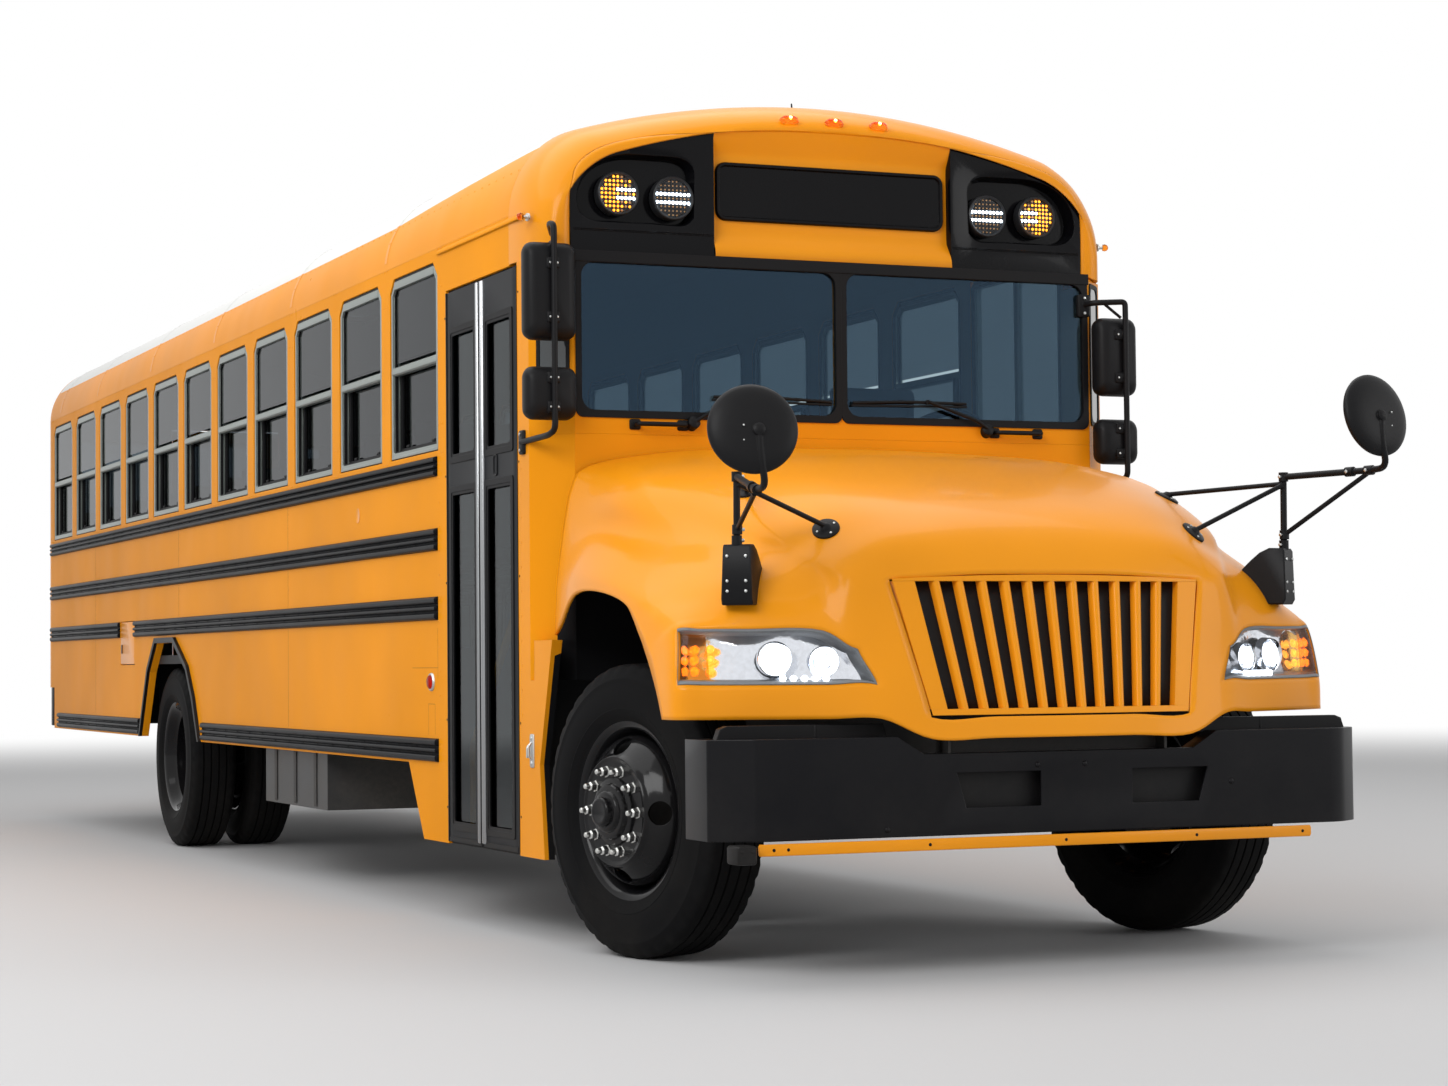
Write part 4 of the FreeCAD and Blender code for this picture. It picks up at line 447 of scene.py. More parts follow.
def grid_into(bm, lines, skipped=lambda row, column: False):
    """Faces over a grid of points, but for the skipped ones."""
    made = {}
    for row in range(len(lines) - 1):
        for column in range(len(lines[0]) - 1):
            if skipped(row, column):
                continue
            corners = []
            for spot in ((row, column), (row, column + 1), (row + 1, column + 1), (row + 1, column)):
                if spot not in made:
                    made[spot] = bm.verts.new(lines[spot[0]][spot[1]])
                corners.append(made[spot])
            bm.faces.new(corners)


# rows from the lower edge over the nose to the cowl; columns from the middle out to the arch: x, station, z
HOOD = (((0, -0.051, 0.768), (0.26, -0.046, 0.768), (0.486, -0.032, 0.768), (0.65, 0.010, 0.835),
         (0.80, 0.085, 0.835), (1.02, 0.190, 0.835), (1.15, 0.260, 0.835), (1.236, 0.315, 0.835),
         (1.25, 0.415, 0.835)), ((0, -0.038, 0.836), (0.26, -0.033, 0.836), (0.486, -0.019, 0.836),
                                 (0.654, 0.030, 0.943), (0.80, 0.098, 0.944), (1.02, 0.202, 0.945),
                                 (1.15, 0.272, 0.946), (1.234, 0.318, 0.947), (1.25, 0.460, 0.920)),
        ((0, 0.006, 1.07), (0.28, 0.011, 1.07), (0.536, 0.030, 1.07), (0.705, 0.070, 1.06),
         (0.80, 0.126, 1.12), (1.02, 0.236, 1.128), (1.15, 0.312, 1.130), (1.216, 0.362, 1.131),
         (1.25, 0.530, 1.02)), ((0, 0.028, 1.19), (0.29, 0.033, 1.19), (0.563, 0.056, 1.187),
                                (0.718, 0.094, 1.19), (0.80, 0.165, 1.212), (1.02, 0.262, 1.187),
                                (1.14, 0.345, 1.172), (1.213, 0.397, 1.150), (1.25, 0.560, 1.055)),
        ((0, 0.050, 1.304), (0.29, 0.056, 1.302), (0.583, 0.082, 1.286), (0.712, 0.120, 1.292),
         (0.795, 0.215, 1.300), (1.02, 0.290, 1.232), (1.14, 0.382, 1.198), (1.215, 0.430, 1.163),
         (1.25, 0.585, 1.085)), ((0, 0.108, 1.420), (0.29, 0.112, 1.417), (0.56, 0.130, 1.397),
                                 (0.735, 0.185, 1.350), (0.835, 0.285, 1.343), (1.03, 0.345, 1.280),
                                 (1.14, 0.435, 1.226), (1.22, 0.480, 1.180), (1.25, 0.625, 1.125)),
        ((0, 0.200, 1.502), (0.30, 0.210, 1.498), (0.585, 0.240, 1.474), (0.785, 0.290, 1.395),
         (0.875, 0.365, 1.375), (1.035, 0.420, 1.318), (1.15, 0.500, 1.252), (1.225, 0.550, 1.202),
         (1.25, 0.670, 1.170)), ((0, 0.385, 1.592), (0.30, 0.400, 1.589), (0.62, 0.425, 1.568),
                                 (0.842, 0.400, 1.462), (0.93, 0.490, 1.418), (1.05, 0.540, 1.360),
                                 (1.16, 0.610, 1.292), (1.232, 0.640, 1.236), (1.25, 0.730, 1.215)),
        ((0, 0.820, 1.732), (0.32, 0.835, 1.728), (0.65, 0.840, 1.706), (0.930, 0.775, 1.596),
         (1.018, 0.830, 1.514), (1.095, 0.915, 1.440), (1.18, 0.930, 1.378), (1.240, 0.950, 1.312),
         (1.25, 1.000, 1.268)), ((0, 1.200, 1.787), (0.34, 1.205, 1.783), (0.70, 1.200, 1.760),
                                 (1.014, 1.130, 1.677), (1.091, 1.160, 1.590), (1.115, 1.255, 1.508),
                                 (1.18, 1.265, 1.432), (1.228, 1.275, 1.340), (1.238, 1.285, 1.262)),
        ((0, 1.500, 1.818), (0.37, 1.505, 1.812), (0.76, 1.505, 1.786), (1.045, 1.505, 1.718),
         (1.10, 1.510, 1.640), (1.135, 1.510, 1.530), (1.165, 1.512, 1.430), (1.195, 1.514, 1.320),
         (1.205, 1.516, 1.160)), ((0, 1.646, 1.832), (0.38, 1.646, 1.826), (0.79, 1.646, 1.800),
                                  (1.075, 1.646, 1.733), (1.115, 1.646, 1.660), (1.138, 1.646, 1.550),
                                  (1.155, 1.646, 1.430), (1.170, 1.646, 1.300), (1.178, 1.646, 1.125)))
HOOD_STEPS, HOOD_WALL = (7, 6), 0.012
hood_rows = [mirror_row([here(*point) for point in row]) for row in HOOD]
hood_lines = skin_grid(hood_rows, *HOOD_STEPS)
MIDDLE = len(HOOD[0]) - 1


def in_cells(row, column, rows, columns):
    """Whether a fine face lies in some coarse cells, counted from the middle outward on either side."""
    coarse_row = row // HOOD_STEPS[0]
    coarse = column // HOOD_STEPS[1] - MIDDLE
    outward = coarse if coarse >= 0 else -1 - coarse
    return rows[0] <= coarse_row < rows[1] and columns[0] <= outward < columns[1]


GRILLE_CELLS, LAMP_CELLS = ((1, 4), (0, 2)), ((1, 2), (3, 7))
bm = bmesh.new()
grid_into(bm, hood_lines, lambda row, column: in_cells(row, column, *GRILLE_CELLS)
          or in_cells(row, column, *LAMP_CELLS))
bmesh.ops.recalc_face_normals(bm, faces=bm.faces)
if max(bm.verts, key=lambda vert: vert.co.z).normal.z < 0:
    bmesh.ops.reverse_faces(bm, faces=bm.faces)
hood = thick(built("hood_skin", bm, yellow, "hood", 45, ["hood"], (chassis,)), HOOD_WALL)
hood.modifiers["wall"].material_offset = 1

# ---------------------------------------------------------------- grille
# A panel let into the nose with a dark joint round it and a row of upright bars, moulded in one piece
# and sprayed with the hood; the radiator's dark screen shows between the bars.
def face_at(x, z):
    """The station of the nose's front at a place across and up."""
    return -0.045 + 0.03 * (x / 0.6) ** 2 + 0.19 * (z - 0.8)


def prism_into(bm, outline, start, end, axis="y", material=0):
    """A solid pushed along an axis from a flat outline."""
    order = {"x": (2, 0, 1), "y": (0, 2, 1), "z": (0, 1, 2)}[axis]
    loops = []
    for reach in (start, end):
        loops.append([bm.verts.new([(a, b, reach)[place] for place in order]) for a, b in outline])
    faces = [bm.faces.new(loops[0]), bm.faces.new(loops[1][::-1])]
    for place in range(len(outline)):
        after = (place + 1) % len(outline)
        faces.append(bm.faces.new((loops[0][place], loops[1][place], loops[1][after], loops[0][after])))
    for face in faces:
        face.material_index = material
    bmesh.ops.recalc_face_normals(bm, faces=faces)


def box_into(bm, across, up, reach, axis="y", material=0):
    """A square-edged block between two places each way; reach runs along the axis."""
    (a0, a1), (b0, b1) = across, up
    prism_into(bm, [(a0, b0), (a1, b0), (a1, b1), (a0, b1)], *reach, axis, material)


BARS, SLOTS_FOOT, SLOTS_TOP = 12, (0.433, 0.862), (0.505, 1.279)
BAR_SHARE, BAR_DEEP, PANEL_STEPS = 0.34, 0.032, 10
PANEL_TOP, PANEL_FOOT = (0.577, 1.287), (0.480, 0.842)


def slot_edge(share, z):
    """Across, where a share of the slots' whole width lies at a height."""
    up_share = (z - SLOTS_FOOT[1]) / (SLOTS_TOP[1] - SLOTS_FOOT[1])
    half = SLOTS_FOOT[0] + (SLOTS_TOP[0] - SLOTS_FOOT[0]) * up_share
    return half * (2 * share - 1)


def panel_skin(bm, left, right, low, high, lifts):
    """A strip of the panel between two edges that are functions of height, with its depth behind."""
    lines = []
    for step in range(PANEL_STEPS + 1):
        z = low + (high - low) * step / PANEL_STEPS
        line = []
        for share, lift in lifts:
            x = left(z) + (right(z) - left(z)) * share
            line.append(here(x, face_at(x, z) + lift, z))
        lines.append(line)
    grid_into(bm, lines)


def panel_edge(z):
    """Half the panel's width at a height."""
    share = (z - PANEL_FOOT[1]) / (PANEL_TOP[1] - PANEL_FOOT[1])
    return PANEL_FOOT[0] + (PANEL_TOP[0] - PANEL_FOOT[0]) * share


bm = bmesh.new()
flat = ((0, 0.05), (0, 0), (0.1, 0), (0.5, 0), (0.9, 0), (1, 0), (1, 0.05))
bar = ((0, BAR_DEEP), (0, 0.010), (0.12, 0.003), (0.3, 0), (0.7, 0), (0.88, 0.003), (1, 0.010), (1, BAR_DEEP))
half_bar = BAR_SHARE / 2 / BARS
for place in range(1, BARS):
    middle = place / BARS
    panel_skin(bm, lambda z: slot_edge(middle - half_bar, z), lambda z: slot_edge(middle + half_bar, z),
               SLOTS_FOOT[1] - 0.004, SLOTS_TOP[1] + 0.004, bar)
for side in (-1, 1):
    edges = (lambda z: side * panel_edge(z), lambda z: slot_edge(0.5 + side * (0.5 - half_bar / 2), z))
    panel_skin(bm, *edges, SLOTS_FOOT[1], SLOTS_TOP[1], flat)
for low, high, skew in ((PANEL_FOOT[1], SLOTS_FOOT[1], 0), (SLOTS_TOP[1], PANEL_TOP[1], 1)):
    lines = []
    for step, lift in ((0, 0.05), (0, 0), (1, 0), (1, 0.05)):
        z = low + (high - low) * step
        arch = 0.014 if skew and step else 0.0
        lines.append([here(x, face_at(x, z) + lift, z + arch * (1 - (x / panel_edge(z)) ** 2))
                      for x in [panel_edge(z) * (2 * share / 24 - 1) for share in range(25)]])
    grid_into(bm, lines)
bmesh.ops.recalc_face_normals(bm, faces=bm.faces)
built("grille_bars", bm, yellow, "hood", 40, ["grille"])

bm = bmesh.new()
SCREEN_BACK = 0.036
lines = [[here(x * 1.13, face_at(x, z) + SCREEN_BACK, z) for x in [0.5 * (share / 8 - 1)
                                                                   for share in range(17)]]
         for z in (0.83, 0.95, 1.08, 1.2, 1.30)]
grid_into(bm, lines)
thick(built("grille_screen", bm, grained, "hood"), 0.006)

# ---------------------------------------------------------------- headlights
# Moulded lamp units let into the fenders: a grey bezel, a bright reflector with two round lamps, a
# row of small ones and an amber turn lamp at the outer end, under a clear polycarbonate lens.
def glowing(name, colour, strength):
    """A glowing surface for lit lamps, also used for the painted glints and painted glow in the warning
    lamps: its cells are brighter than what lies between.
    """
    material, tree, shader = new_material(name)
    place = node(tree, "ShaderNodeTexCoord").outputs["Object"]
    cells = node(tree, "ShaderNodeTexVoronoi", Vector=place, Scale=90.0).outputs["Distance"]
    level = node(tree, "ShaderNodeMapRange", Value=cells, From_Min=0.1, From_Max=0.55, To_Min=strength,
                 To_Max=strength * 0.55).outputs[0]
    tree.links.new(level, shader.inputs["Emission Strength"])
    shader.inputs["Emission Color"].default_value = (*colour, 1)
    shader.inputs["Base Color"].default_value = (*colour, 1)
    rough = node(tree, "ShaderNodeMapRange", Value=cells, To_Min=0.25, To_Max=0.5).outputs[0]
    tree.links.new(rough, shader.inputs["Roughness"])
    bumped(tree, shader, cells, 0.001, 0.4)
    return material


def lens_glass(name, tint, roughness=0.02, flutes=0.0):
    """Clear or coloured moulded lens, with or without flutes."""
    material, tree, shader = new_material(name)
    shader.inputs["Transmission Weight"].default_value = 1.0
    shader.inputs["IOR"].default_value = 1.2
    marks = grain_height(tree, 25.0, 4.0)
    haze = node(tree, "ShaderNodeMapRange", Value=marks, From_Min=0.4, From_Max=0.8, To_Min=roughness,
                To_Max=roughness + 0.06).outputs[0]
    tree.links.new(haze, shader.inputs["Roughness"])
    tree.links.new(shaded(tree, marks, tint, 0.95, 1.0).outputs[0], shader.inputs["Base Color"])
    if flutes:
        place = node(tree, "ShaderNodeTexCoord").outputs["Object"]
        cells = node(tree, "ShaderNodeTexVoronoi", Vector=place, Scale=flutes).outputs["Distance"]
        bumped(tree, shader, cells, 0.004, 0.5)
    return material


def chrome_like(name, colour, roughness, grain):
    """Bright reflector metal with faint ripples."""
    material, tree, shader = new_material(name)
    shader.inputs["Metallic"].default_value = 1.0
    ripples = grain_height(tree, grain, 2.0)
    tree.links.new(shaded(tree, ripples, colour, 0.8, 1.0).outputs[0], shader.inputs["Base Color"])
    rough = node(tree, "ShaderNodeMapRange", Value=ripples, To_Min=roughness, To_Max=roughness
                 + 0.12).outputs[0]
    tree.links.new(rough, shader.inputs["Roughness"])
    bumped(tree, shader, ripples, 0.002, 0.3)
    return material


def round_points(middle, aside, beside, radius, sides):
    """Points round a middle, from one side direction towards the other."""
    return [middle + (aside * math.cos(turn) + beside * math.sin(turn)) * radius
            for turn in [math.tau * side / sides for side in range(sides)]]


def turned_into(bm, profile, centre, direction, sides=32, material=0, caps=True):
    """A turned form: a profile of (along, radius) round a direction from its centre."""
    direction = Vector(direction).normalized()
    aside = direction.orthogonal().normalized()
    beside = direction.cross(aside)
    loops = []
    for along, radius in profile:
        middle = Vector(centre) + direction * along
        if radius < 1e-6:
            loops.append([bm.verts.new(middle)])
            continue
        loops.append([bm.verts.new(spot) for spot in round_points(middle, aside, beside, radius, sides)])
    faces = []
    for first, second in zip(loops, loops[1:]):
        for side in range(sides):
            after = (side + 1) % sides
            if len(first) == 1:
                faces.append(bm.faces.new((first[0], second[after], second[side])))
            elif len(second) == 1:
                faces.append(bm.faces.new((first[side], first[after], second[0])))
            else:
                faces.append(bm.faces.new((first[side], first[after], second[after], second[side])))
    if caps:
        for loop in (loops[0], loops[-1][::-1]):
            if len(loop) > 2:
                faces.append(bm.faces.new(loop))
    for face in faces:
        face.material_index = material
    bmesh.ops.recalc_face_normals(bm, faces=faces)


chrome = chrome_like("reflector", (0.86, 0.88, 0.92), 0.06, 60.0)
bezel_grey = plastic("bezel_grey", (0.22, 0.23, 0.24), 0.35)
clear_lens = lens_glass("clear_lens", (0.97, 0.98, 1.0))
amber_lens = lens_glass("amber_lens", (1.0, 0.30, 0.02), 0.05, 160.0)
white_glow = glowing("headlamp_glow", (0.86, 0.93, 1.0), 9.0)
amber_glow = glowing("turn_glow", (1.0, 0.36, 0.03), 2.6)

fine_rows = (LAMP_CELLS[0][0] * HOOD_STEPS[0], LAMP_CELLS[0][1] * HOOD_STEPS[0])
fine_columns = ((MIDDLE + LAMP_CELLS[1][0]) * HOOD_STEPS[1], (MIDDLE + LAMP_CELLS[1][1]) * HOOD_STEPS[1])
lamp_patch = [line[fine_columns[0]:fine_columns[1] + 1] for line in hood_lines[fine_rows[0]:fine_rows[1] + 1]]
BOWL_BACK = 0.085
for side, name in ((1, "left"), (-1, "right")):
    patch = [[Vector((side * spot.x, spot.y, spot.z)) for spot in line] for line in lamp_patch]
    high, wide = len(patch) - 1, len(patch[0]) - 1
    middle = sum((spot for line in patch for spot in line), Vector()) / ((high + 1) * (wide + 1))

    def shrunk(line, column, share, back):
        """A point of the patch drawn towards the unit's middle line and pushed back."""
        spot = patch[line][column]
        centre_line = (patch[0][column] + patch[high][column]) / 2
        drawn = spot + (centre_line - spot) * share
        ends = (abs(column - wide / 2) / (wide / 2)) ** 6 * share * 0.09
        drawn += (middle - drawn) * ends
        return drawn + Vector((0, back, 0))

    rim = [(0, column) for column in range(wide)] + [(line, wide) for line in range(high)]
    rim += [(high, column) for column in range(wide, 0, -1)] + [(line, 0) for line in range(high, 0, -1)]
    bm = bmesh.new()
    lines = [[shrunk(line, column, share, back) for line, column in rim + rim[:1]]
             for share, back in ((0.0, 0.030), (0.0, 0.002), (0.03, -0.002), (0.10, 0.0), (0.15, 0.010),
                                 (0.17, 0.04), (0.22, BOWL_BACK))]
    grid_into(bm, lines)
    bmesh.ops.remove_doubles(bm, verts=bm.verts, dist=1e-5)
    built("headlight_bezel_" + name, bm, bezel_grey, "hood", 50)
    bm = bmesh.new()
    lines = [[shrunk(line, column, 0.16, 0.006) for column in range(wide + 1)] for line in range(high + 1)]
    grid_into(bm, lines)
    built("headlight_lens_" + name, bm, clear_lens, "hood", 50, ["headlights"]
          if side == 1 else ())
    bm = bmesh.new()
    # the reflector is a wavy bright floor behind the lens
    lines = []
    for line in range(high + 1):
        spots = []
        for column in range(wide + 1):
            wave = 0.012 * math.sin(column / wide * math.pi * 7) * math.sin(line / high * math.pi)
            spots.append(shrunk(line, column, 0.14, BOWL_BACK + wave))
        lines.append(spots)
    grid_into(bm, lines)
    built("headlight_reflector_" + name, bm, chrome, "hood", 50)
    bm = bmesh.new()
    facing = -Vector((side * -0.28, 0.96, 0)).normalized()
    for x, y, z, radius in ((0.80, 0.125, 1.020, 0.046), (0.945, 0.190, 1.030, 0.052)):
        spot = here(side * x, y, z)
        turned_into(bm, ((-0.045, 0.012), (-0.035, 0.028), (-0.012, radius * 0.86), (0.004, radius),
                         (0.007, radius * 1.06), (0.0, radius * 1.10), (-0.05, radius * 1.08)), spot,
                    facing, 36, 0, False)
        turned_into(bm, ((-0.03, radius * 0.5), (-0.012, radius * 0.47), (-0.002, radius * 0.30),
                         (0.002, 0)), spot, facing, 28, 1)
    for place in range(5):
        spot = here(side * (0.80 + place * 0.032), 0.105 + place * 0.0145, 0.966)
        turned_into(bm, ((-0.03, 0.009), (0.0, 0.010), (0.003, 0.006), (0.004, 0)), spot, facing, 12, 1)
    built("headlight_lamps_" + name, bm, chrome, "hood", 50, materials=(white_glow,))
    bm = bmesh.new()
    lines = []
    for line in range(high + 1):
        lines.append([shrunk(line, column, 0.2, 0.03) for column in range(int(wide * 0.72), wide + 1)])
    grid_into(bm, lines)
    built("headlight_turn_" + name, bm, amber_lens, "hood", 50)
    bm = bmesh.new()
    for x, y, z in ((1.115, 0.325, 1.03), (1.160, 0.350, 1.03), (1.19, 0.375, 1.03)):
        for up in (-0.035, 0.0, 0.035):
            turned_into(bm, ((-0.012, 0.014), (0.0, 0.014), (0.006, 0.008), (0.008, 0)),
                        here(side * x, y, z + up), facing, 14)
    built("headlight_turn_cells_" + name, bm, amber_glow, "hood", 50)

# ---------------------------------------------------------------- front cap
# A moulded fibreglass cap riveted to the roof's front bow: a rounded brow, a set-back middle with a
# blank sign box, and a glossy black pan on each side with an amber and a white warning lamp.
def arc_through(first, middle, last, steps):
    """Points on the circle's arc through three (x, z) places."""
    (ax, az), (bx, bz), (cx, cz) = first, middle, last
    scale = 2 * (ax * (bz - cz) + bx * (cz - az) + cx * (az - bz))
    a, b, c = ax * ax + az * az, bx * bx + bz * bz, cx * cx + cz * cz
    x = (a * (bz - cz) + b * (cz - az) + c * (az - bz)) / scale
    z = (a * (cx - bx) + b * (ax - cx) + c * (bx - ax)) / scale
    radius = math.hypot(ax - x, az - z)
    start, end = math.atan2(az - z, ax - x), math.atan2(cz - z, cx - x)
    return [(x + radius * math.cos(start + (end - start) * step / steps),
             z + radius * math.sin(start + (end - start) * step / steps)) for step in range(steps + 1)]


BODY_HALF, EAVE, CROWN, CAP_LOW = 1.220, 2.720, 3.200, 2.535


def crown_half(narrow, drop):
    """The body's outline from the crown's middle down one side."""
    half, top = BODY_HALF - narrow, CROWN - drop
    shoulder, corner, eave = (half - 0.230, top - 0.145), (half - 0.070, top - 0.270), (half, EAVE - drop)
    crown = arc_through((0, top), (shoulder[0] * 0.5, arc_height(shoulder[0] * 0.5, shoulder, top)),
                        shoulder, 20)
    return crown + arc_through(shoulder, corner, eave, 14)[1:] + [(half, CAP_LOW + (EAVE - drop - CAP_LOW)
                                                                   * part) for part in (0.66, 0.33, 0.0)]


def arc_height(x, shoulder, top):
    """Height of the crown's arc at a place across."""
    sink = top - shoulder[1]
    radius = (shoulder[0] ** 2 + sink ** 2) / (2 * sink)
    return top - radius + math.sqrt(radius ** 2 - x * x)


def evenly(points, count):
    """A line through flat points, cut into equal lengths."""
    lengths = [0.0]
    for first, second in zip(points, points[1:]):
        lengths.append(lengths[-1] + math.dist(first, second))
    found, place = [], 0
    for step in range(count + 1):
        reach = lengths[-1] * step / count
        while place < len(points) - 2 and lengths[place + 1] < reach:
            place += 1
        share = (reach - lengths[place]) / max(lengths[place + 1] - lengths[place], 1e-9)
        found.append(tuple(a + (b - a) * share for a, b in zip(points[place], points[place + 1])))
    return found


# the inner edge of the brow, from the middle to the foot of its side
ARCH = ((0, 3.054), (0.25, 3.049), (0.50, 3.032), (0.73, 3.008), (0.88, 2.977), (0.97, 2.945), (1.03, 2.905),
        (1.066, 2.860), (1.083, 2.800), (1.087, 2.700), (1.087, 2.620), (1.087, 2.556))
arch = evenly([(spot.x, spot.z) for spot in curve_through([(x, 0, z) for x, z in ARCH], 8)], 60)
# station, how far inside the side, how far below the crown
BROW = ((2.020, 0, 0), (1.950, 0.002, 0.004), (1.880, 0.007, 0.014), (1.820, 0.015, 0.032),
        (1.775, 0.025, 0.050), (1.738, 0.038, 0.072), (1.712, 0.052, 0.096), (1.698, 0.064, 0.115),
        (1.692, 0.074, 0.130))
TO_ARCH = ((1.693, 0.6), (1.700, 0.9), (1.708, 1.0), (1.735, 1.0))
outlines = [[(x, y, z) for x, z in evenly(crown_half(narrow, drop), 60)] for y, narrow, drop in BROW]
last = outlines[-1]
for y, share in TO_ARCH:
    outlines.append([(spot[0] + (edge[0] - spot[0]) * share, y, spot[2] + (edge[1] - spot[2]) * share)
                     for spot, edge in zip(last, arch)])
bm = bmesh.new()
lines = [[here(*spot) for spot in mirror_row(row)] for row in outlines]
grid_into(bm, lines)
for end in (0, -1):
    bm.faces.new([bm.verts.new(line[end]) for line in lines])
bmesh.ops.remove_doubles(bm, verts=bm.verts, dist=1e-5)
bmesh.ops.recalc_face_normals(bm, faces=bm.faces)
built("front_cap_brow", bm, yellow, "body", 50, ["front_cap"])


def arch_height(x):
    """Height of the brow's inner edge at a place across."""
    for (x0, z0), (x1, z1) in zip(arch, arch[1:]):
        if x0 <= abs(x) <= x1:
            return z0 + (z1 - z0) * (abs(x) - x0) / max(x1 - x0, 1e-9)
    return arch[-1][1]


# the set-back middle from the brow down to the lip: station, height, share of the arch's fall
MIDDLE_SIDE = ((1.700, 3.058, 1), (1.704, 3.046, 1), (1.722, 3.005, 0.8), (1.738, 2.972, 0.4),
               (1.743, 2.955, 0.2), (1.744, 2.93, 0), (1.744, 2.80, 0), (1.744, 2.68, 0),
               (1.741, 2.655, 0), (1.726, 2.632, 0), (1.708, 2.606, 0), (1.699, 2.585, 0),
               (1.696, 2.562, 0), (1.700, 2.549, 0), (1.712, 2.543, 0), (1.770, 2.541, 0))
MIDDLE_HALF = 0.503
bm = bmesh.new()
lines = []
for y, z, fall in MIDDLE_SIDE:
    lines.append([here(x, y, z - (ARCH[0][1] - arch_height(x)) * fall)
                  for x in [MIDDLE_HALF * (step / 10 - 1) for step in range(21)]])
grid_into(bm, lines)
bmesh.ops.recalc_face_normals(bm, faces=bm.faces)
built("front_cap_middle", bm, yellow, "body", 50)


def rounded(half_wide, half_high, radius, steps=7):
    """A rounded oblong round its middle, as (x, z) places."""
    found = []
    for corner, (sx, sz) in enumerate(((1, 1), (-1, 1), (-1, -1), (1, -1))):
        for step in range(steps + 1):
            turn = math.pi / 2 * (corner + step / steps)
            found.append((sx * (half_wide - radius) + radius * math.cos(turn),
                          sz * (half_high - radius) + radius * math.sin(turn)))
    return found


def loops_into(bm, loops, closed=True, ends=(True, True), material=0):
    """Faces between loops that have as many points each, with their ends filled."""
    rings = [[bm.verts.new(spot) for spot in loop] for loop in loops]
    faces = []
    for first, second in zip(rings, rings[1:]):
        for place in range(len(first) if closed else len(first) - 1):
            after = (place + 1) % len(first)
            faces.append(bm.faces.new((first[place], first[after], second[after], second[place])))
    if ends[0]:
        faces.append(bm.faces.new(rings[0][::-1]))
    if ends[1]:
        faces.append(bm.faces.new(rings[-1]))
    for face in faces:
        face.material_index = material
    bmesh.ops.recalc_face_normals(bm, faces=faces)


def pressed_into(bm, outline, layers, place):
    """A raised form from an outline and layers of (depth, share); place puts a flat point and its depth."""
    loops_into(bm, [[place(a * share, b * share, depth) for a, b in outline] for depth, share in layers])


SIGN_HALF, SIGN_HIGH, SIGN_MIDDLE = 0.484, 0.111, 2.815
gloss = plastic("gloss_black", (0.003, 0.003, 0.004), 0.14, dust=0.03, coat=0.06, grain=60.0,
                deep=0.0002, shine=0.10)
bm = bmesh.new()
loops = []
for inset, y in ((-0.002, 1.746), (0.0, 1.732), (0.003, 1.729), (0.011, 1.729), (0.014, 1.733),
                 (0.016, 1.738)):
    loops.append([here(x, y, SIGN_MIDDLE + z) for x, z in rounded(SIGN_HALF - inset, SIGN_HIGH - inset,
                                                                  0.040 - inset)])
loops_into(bm, loops, ends=(False, True))
built("sign_box", bm, gloss, "body", 40)

POCKET = ((0.588, 2.700), (0.586, 2.80), (0.590, 2.890), (0.625, 2.918), (0.76, 2.926), (0.88, 2.922),
          (0.965, 2.895), (1.025, 2.845), (1.055, 2.780), (1.052, 2.715), (1.010, 2.678), (0.90, 2.672),
          (0.76, 2.672), (0.620, 2.674))


def ray_hits(outline, centre, angles):
    """Where rays from a centre meet a closed flat outline."""
    found = []
    for angle in angles:
        dx, dz = math.cos(angle), math.sin(angle)
        best = None
        for (x0, z0), (x1, z1) in zip(outline, outline[1:] + outline[:1]):
            ex, ez = x1 - x0, z1 - z0
            cross = dx * ez - dz * ex
            if abs(cross) < 1e-12:
                continue
            reach = ((x0 - centre[0]) * ez - (z0 - centre[1]) * ex) / cross
            share = ((x0 - centre[0]) * dz - (z0 - centre[1]) * dx) / cross
            if reach > 0 and -1e-9 <= share <= 1 + 1e-9 and (best is None or reach < best):
                best = reach
        found.append((centre[0] + dx * best, centre[1] + dz * best))
    return found


PAN_MIDDLE = (0.80, 2.79)
pan_outline = [(MIDDLE_HALF, 2.556), (MIDDLE_HALF, arch_height(MIDDLE_HALF))]
pan_outline += [spot for spot in arch if spot[0] > MIDDLE_HALF]
pocket_outline = [(spot.x, spot.z) for spot in curve_through([(x, 0, z) for x, z in POCKET + POCKET[:1]],
                                                             6)][:-1]
angles = [math.tau * step / 96 for step in range(96)]
angles += [math.atan2(z - PAN_MIDDLE[1], x - PAN_MIDDLE[0]) % math.tau
           for x, z in (pan_outline[0], pan_outline[1], pan_outline[-1])]
angles = sorted(angles)
outer_ring, pocket_ring = ray_hits(pan_outline, PAN_MIDDLE,
                                   angles), ray_hits(pocket_outline, PAN_MIDDLE, angles)
for side, name in ((-1, "right"), (1, "left")):
    bm = bmesh.new()
    loops = []
    for share, y in ((0.0, 1.750), (0.0, 1.711), (0.02, 1.705), (0.90, 1.706), (0.97, 1.709), (1.0, 1.716),
                     (1.03, 1.730), (1.07, 1.760)):
        spots = []
        for (x0, z0), (x1, z1) in zip(outer_ring, pocket_ring):
            x, z = x0 + (x1 - x0) * min(share, 1), z0 + (z1 - z0) * min(share, 1)
            if share > 1:
                x += (PAN_MIDDLE[0] - x) * (share - 1)
                z += (PAN_MIDDLE[1] - z) * (share - 1)
            spots.append(here(side * x, y, z))
        loops.append(spots)
    loops_into(bm, loops, ends=(False, True))
    box_into(bm, (side * MIDDLE_HALF, side * 1.09), (2.541, 2.556), (FRONT + 1.706, FRONT + 1.770))
    for z in (2.640, 2.6345):
        box_into(bm, (side * 0.510, side * 1.075), (z, z + 0.002), (FRONT + 1.7035, FRONT + 1.708))
    built("lamp_pan_" + name, bm, gloss, "body", 35)
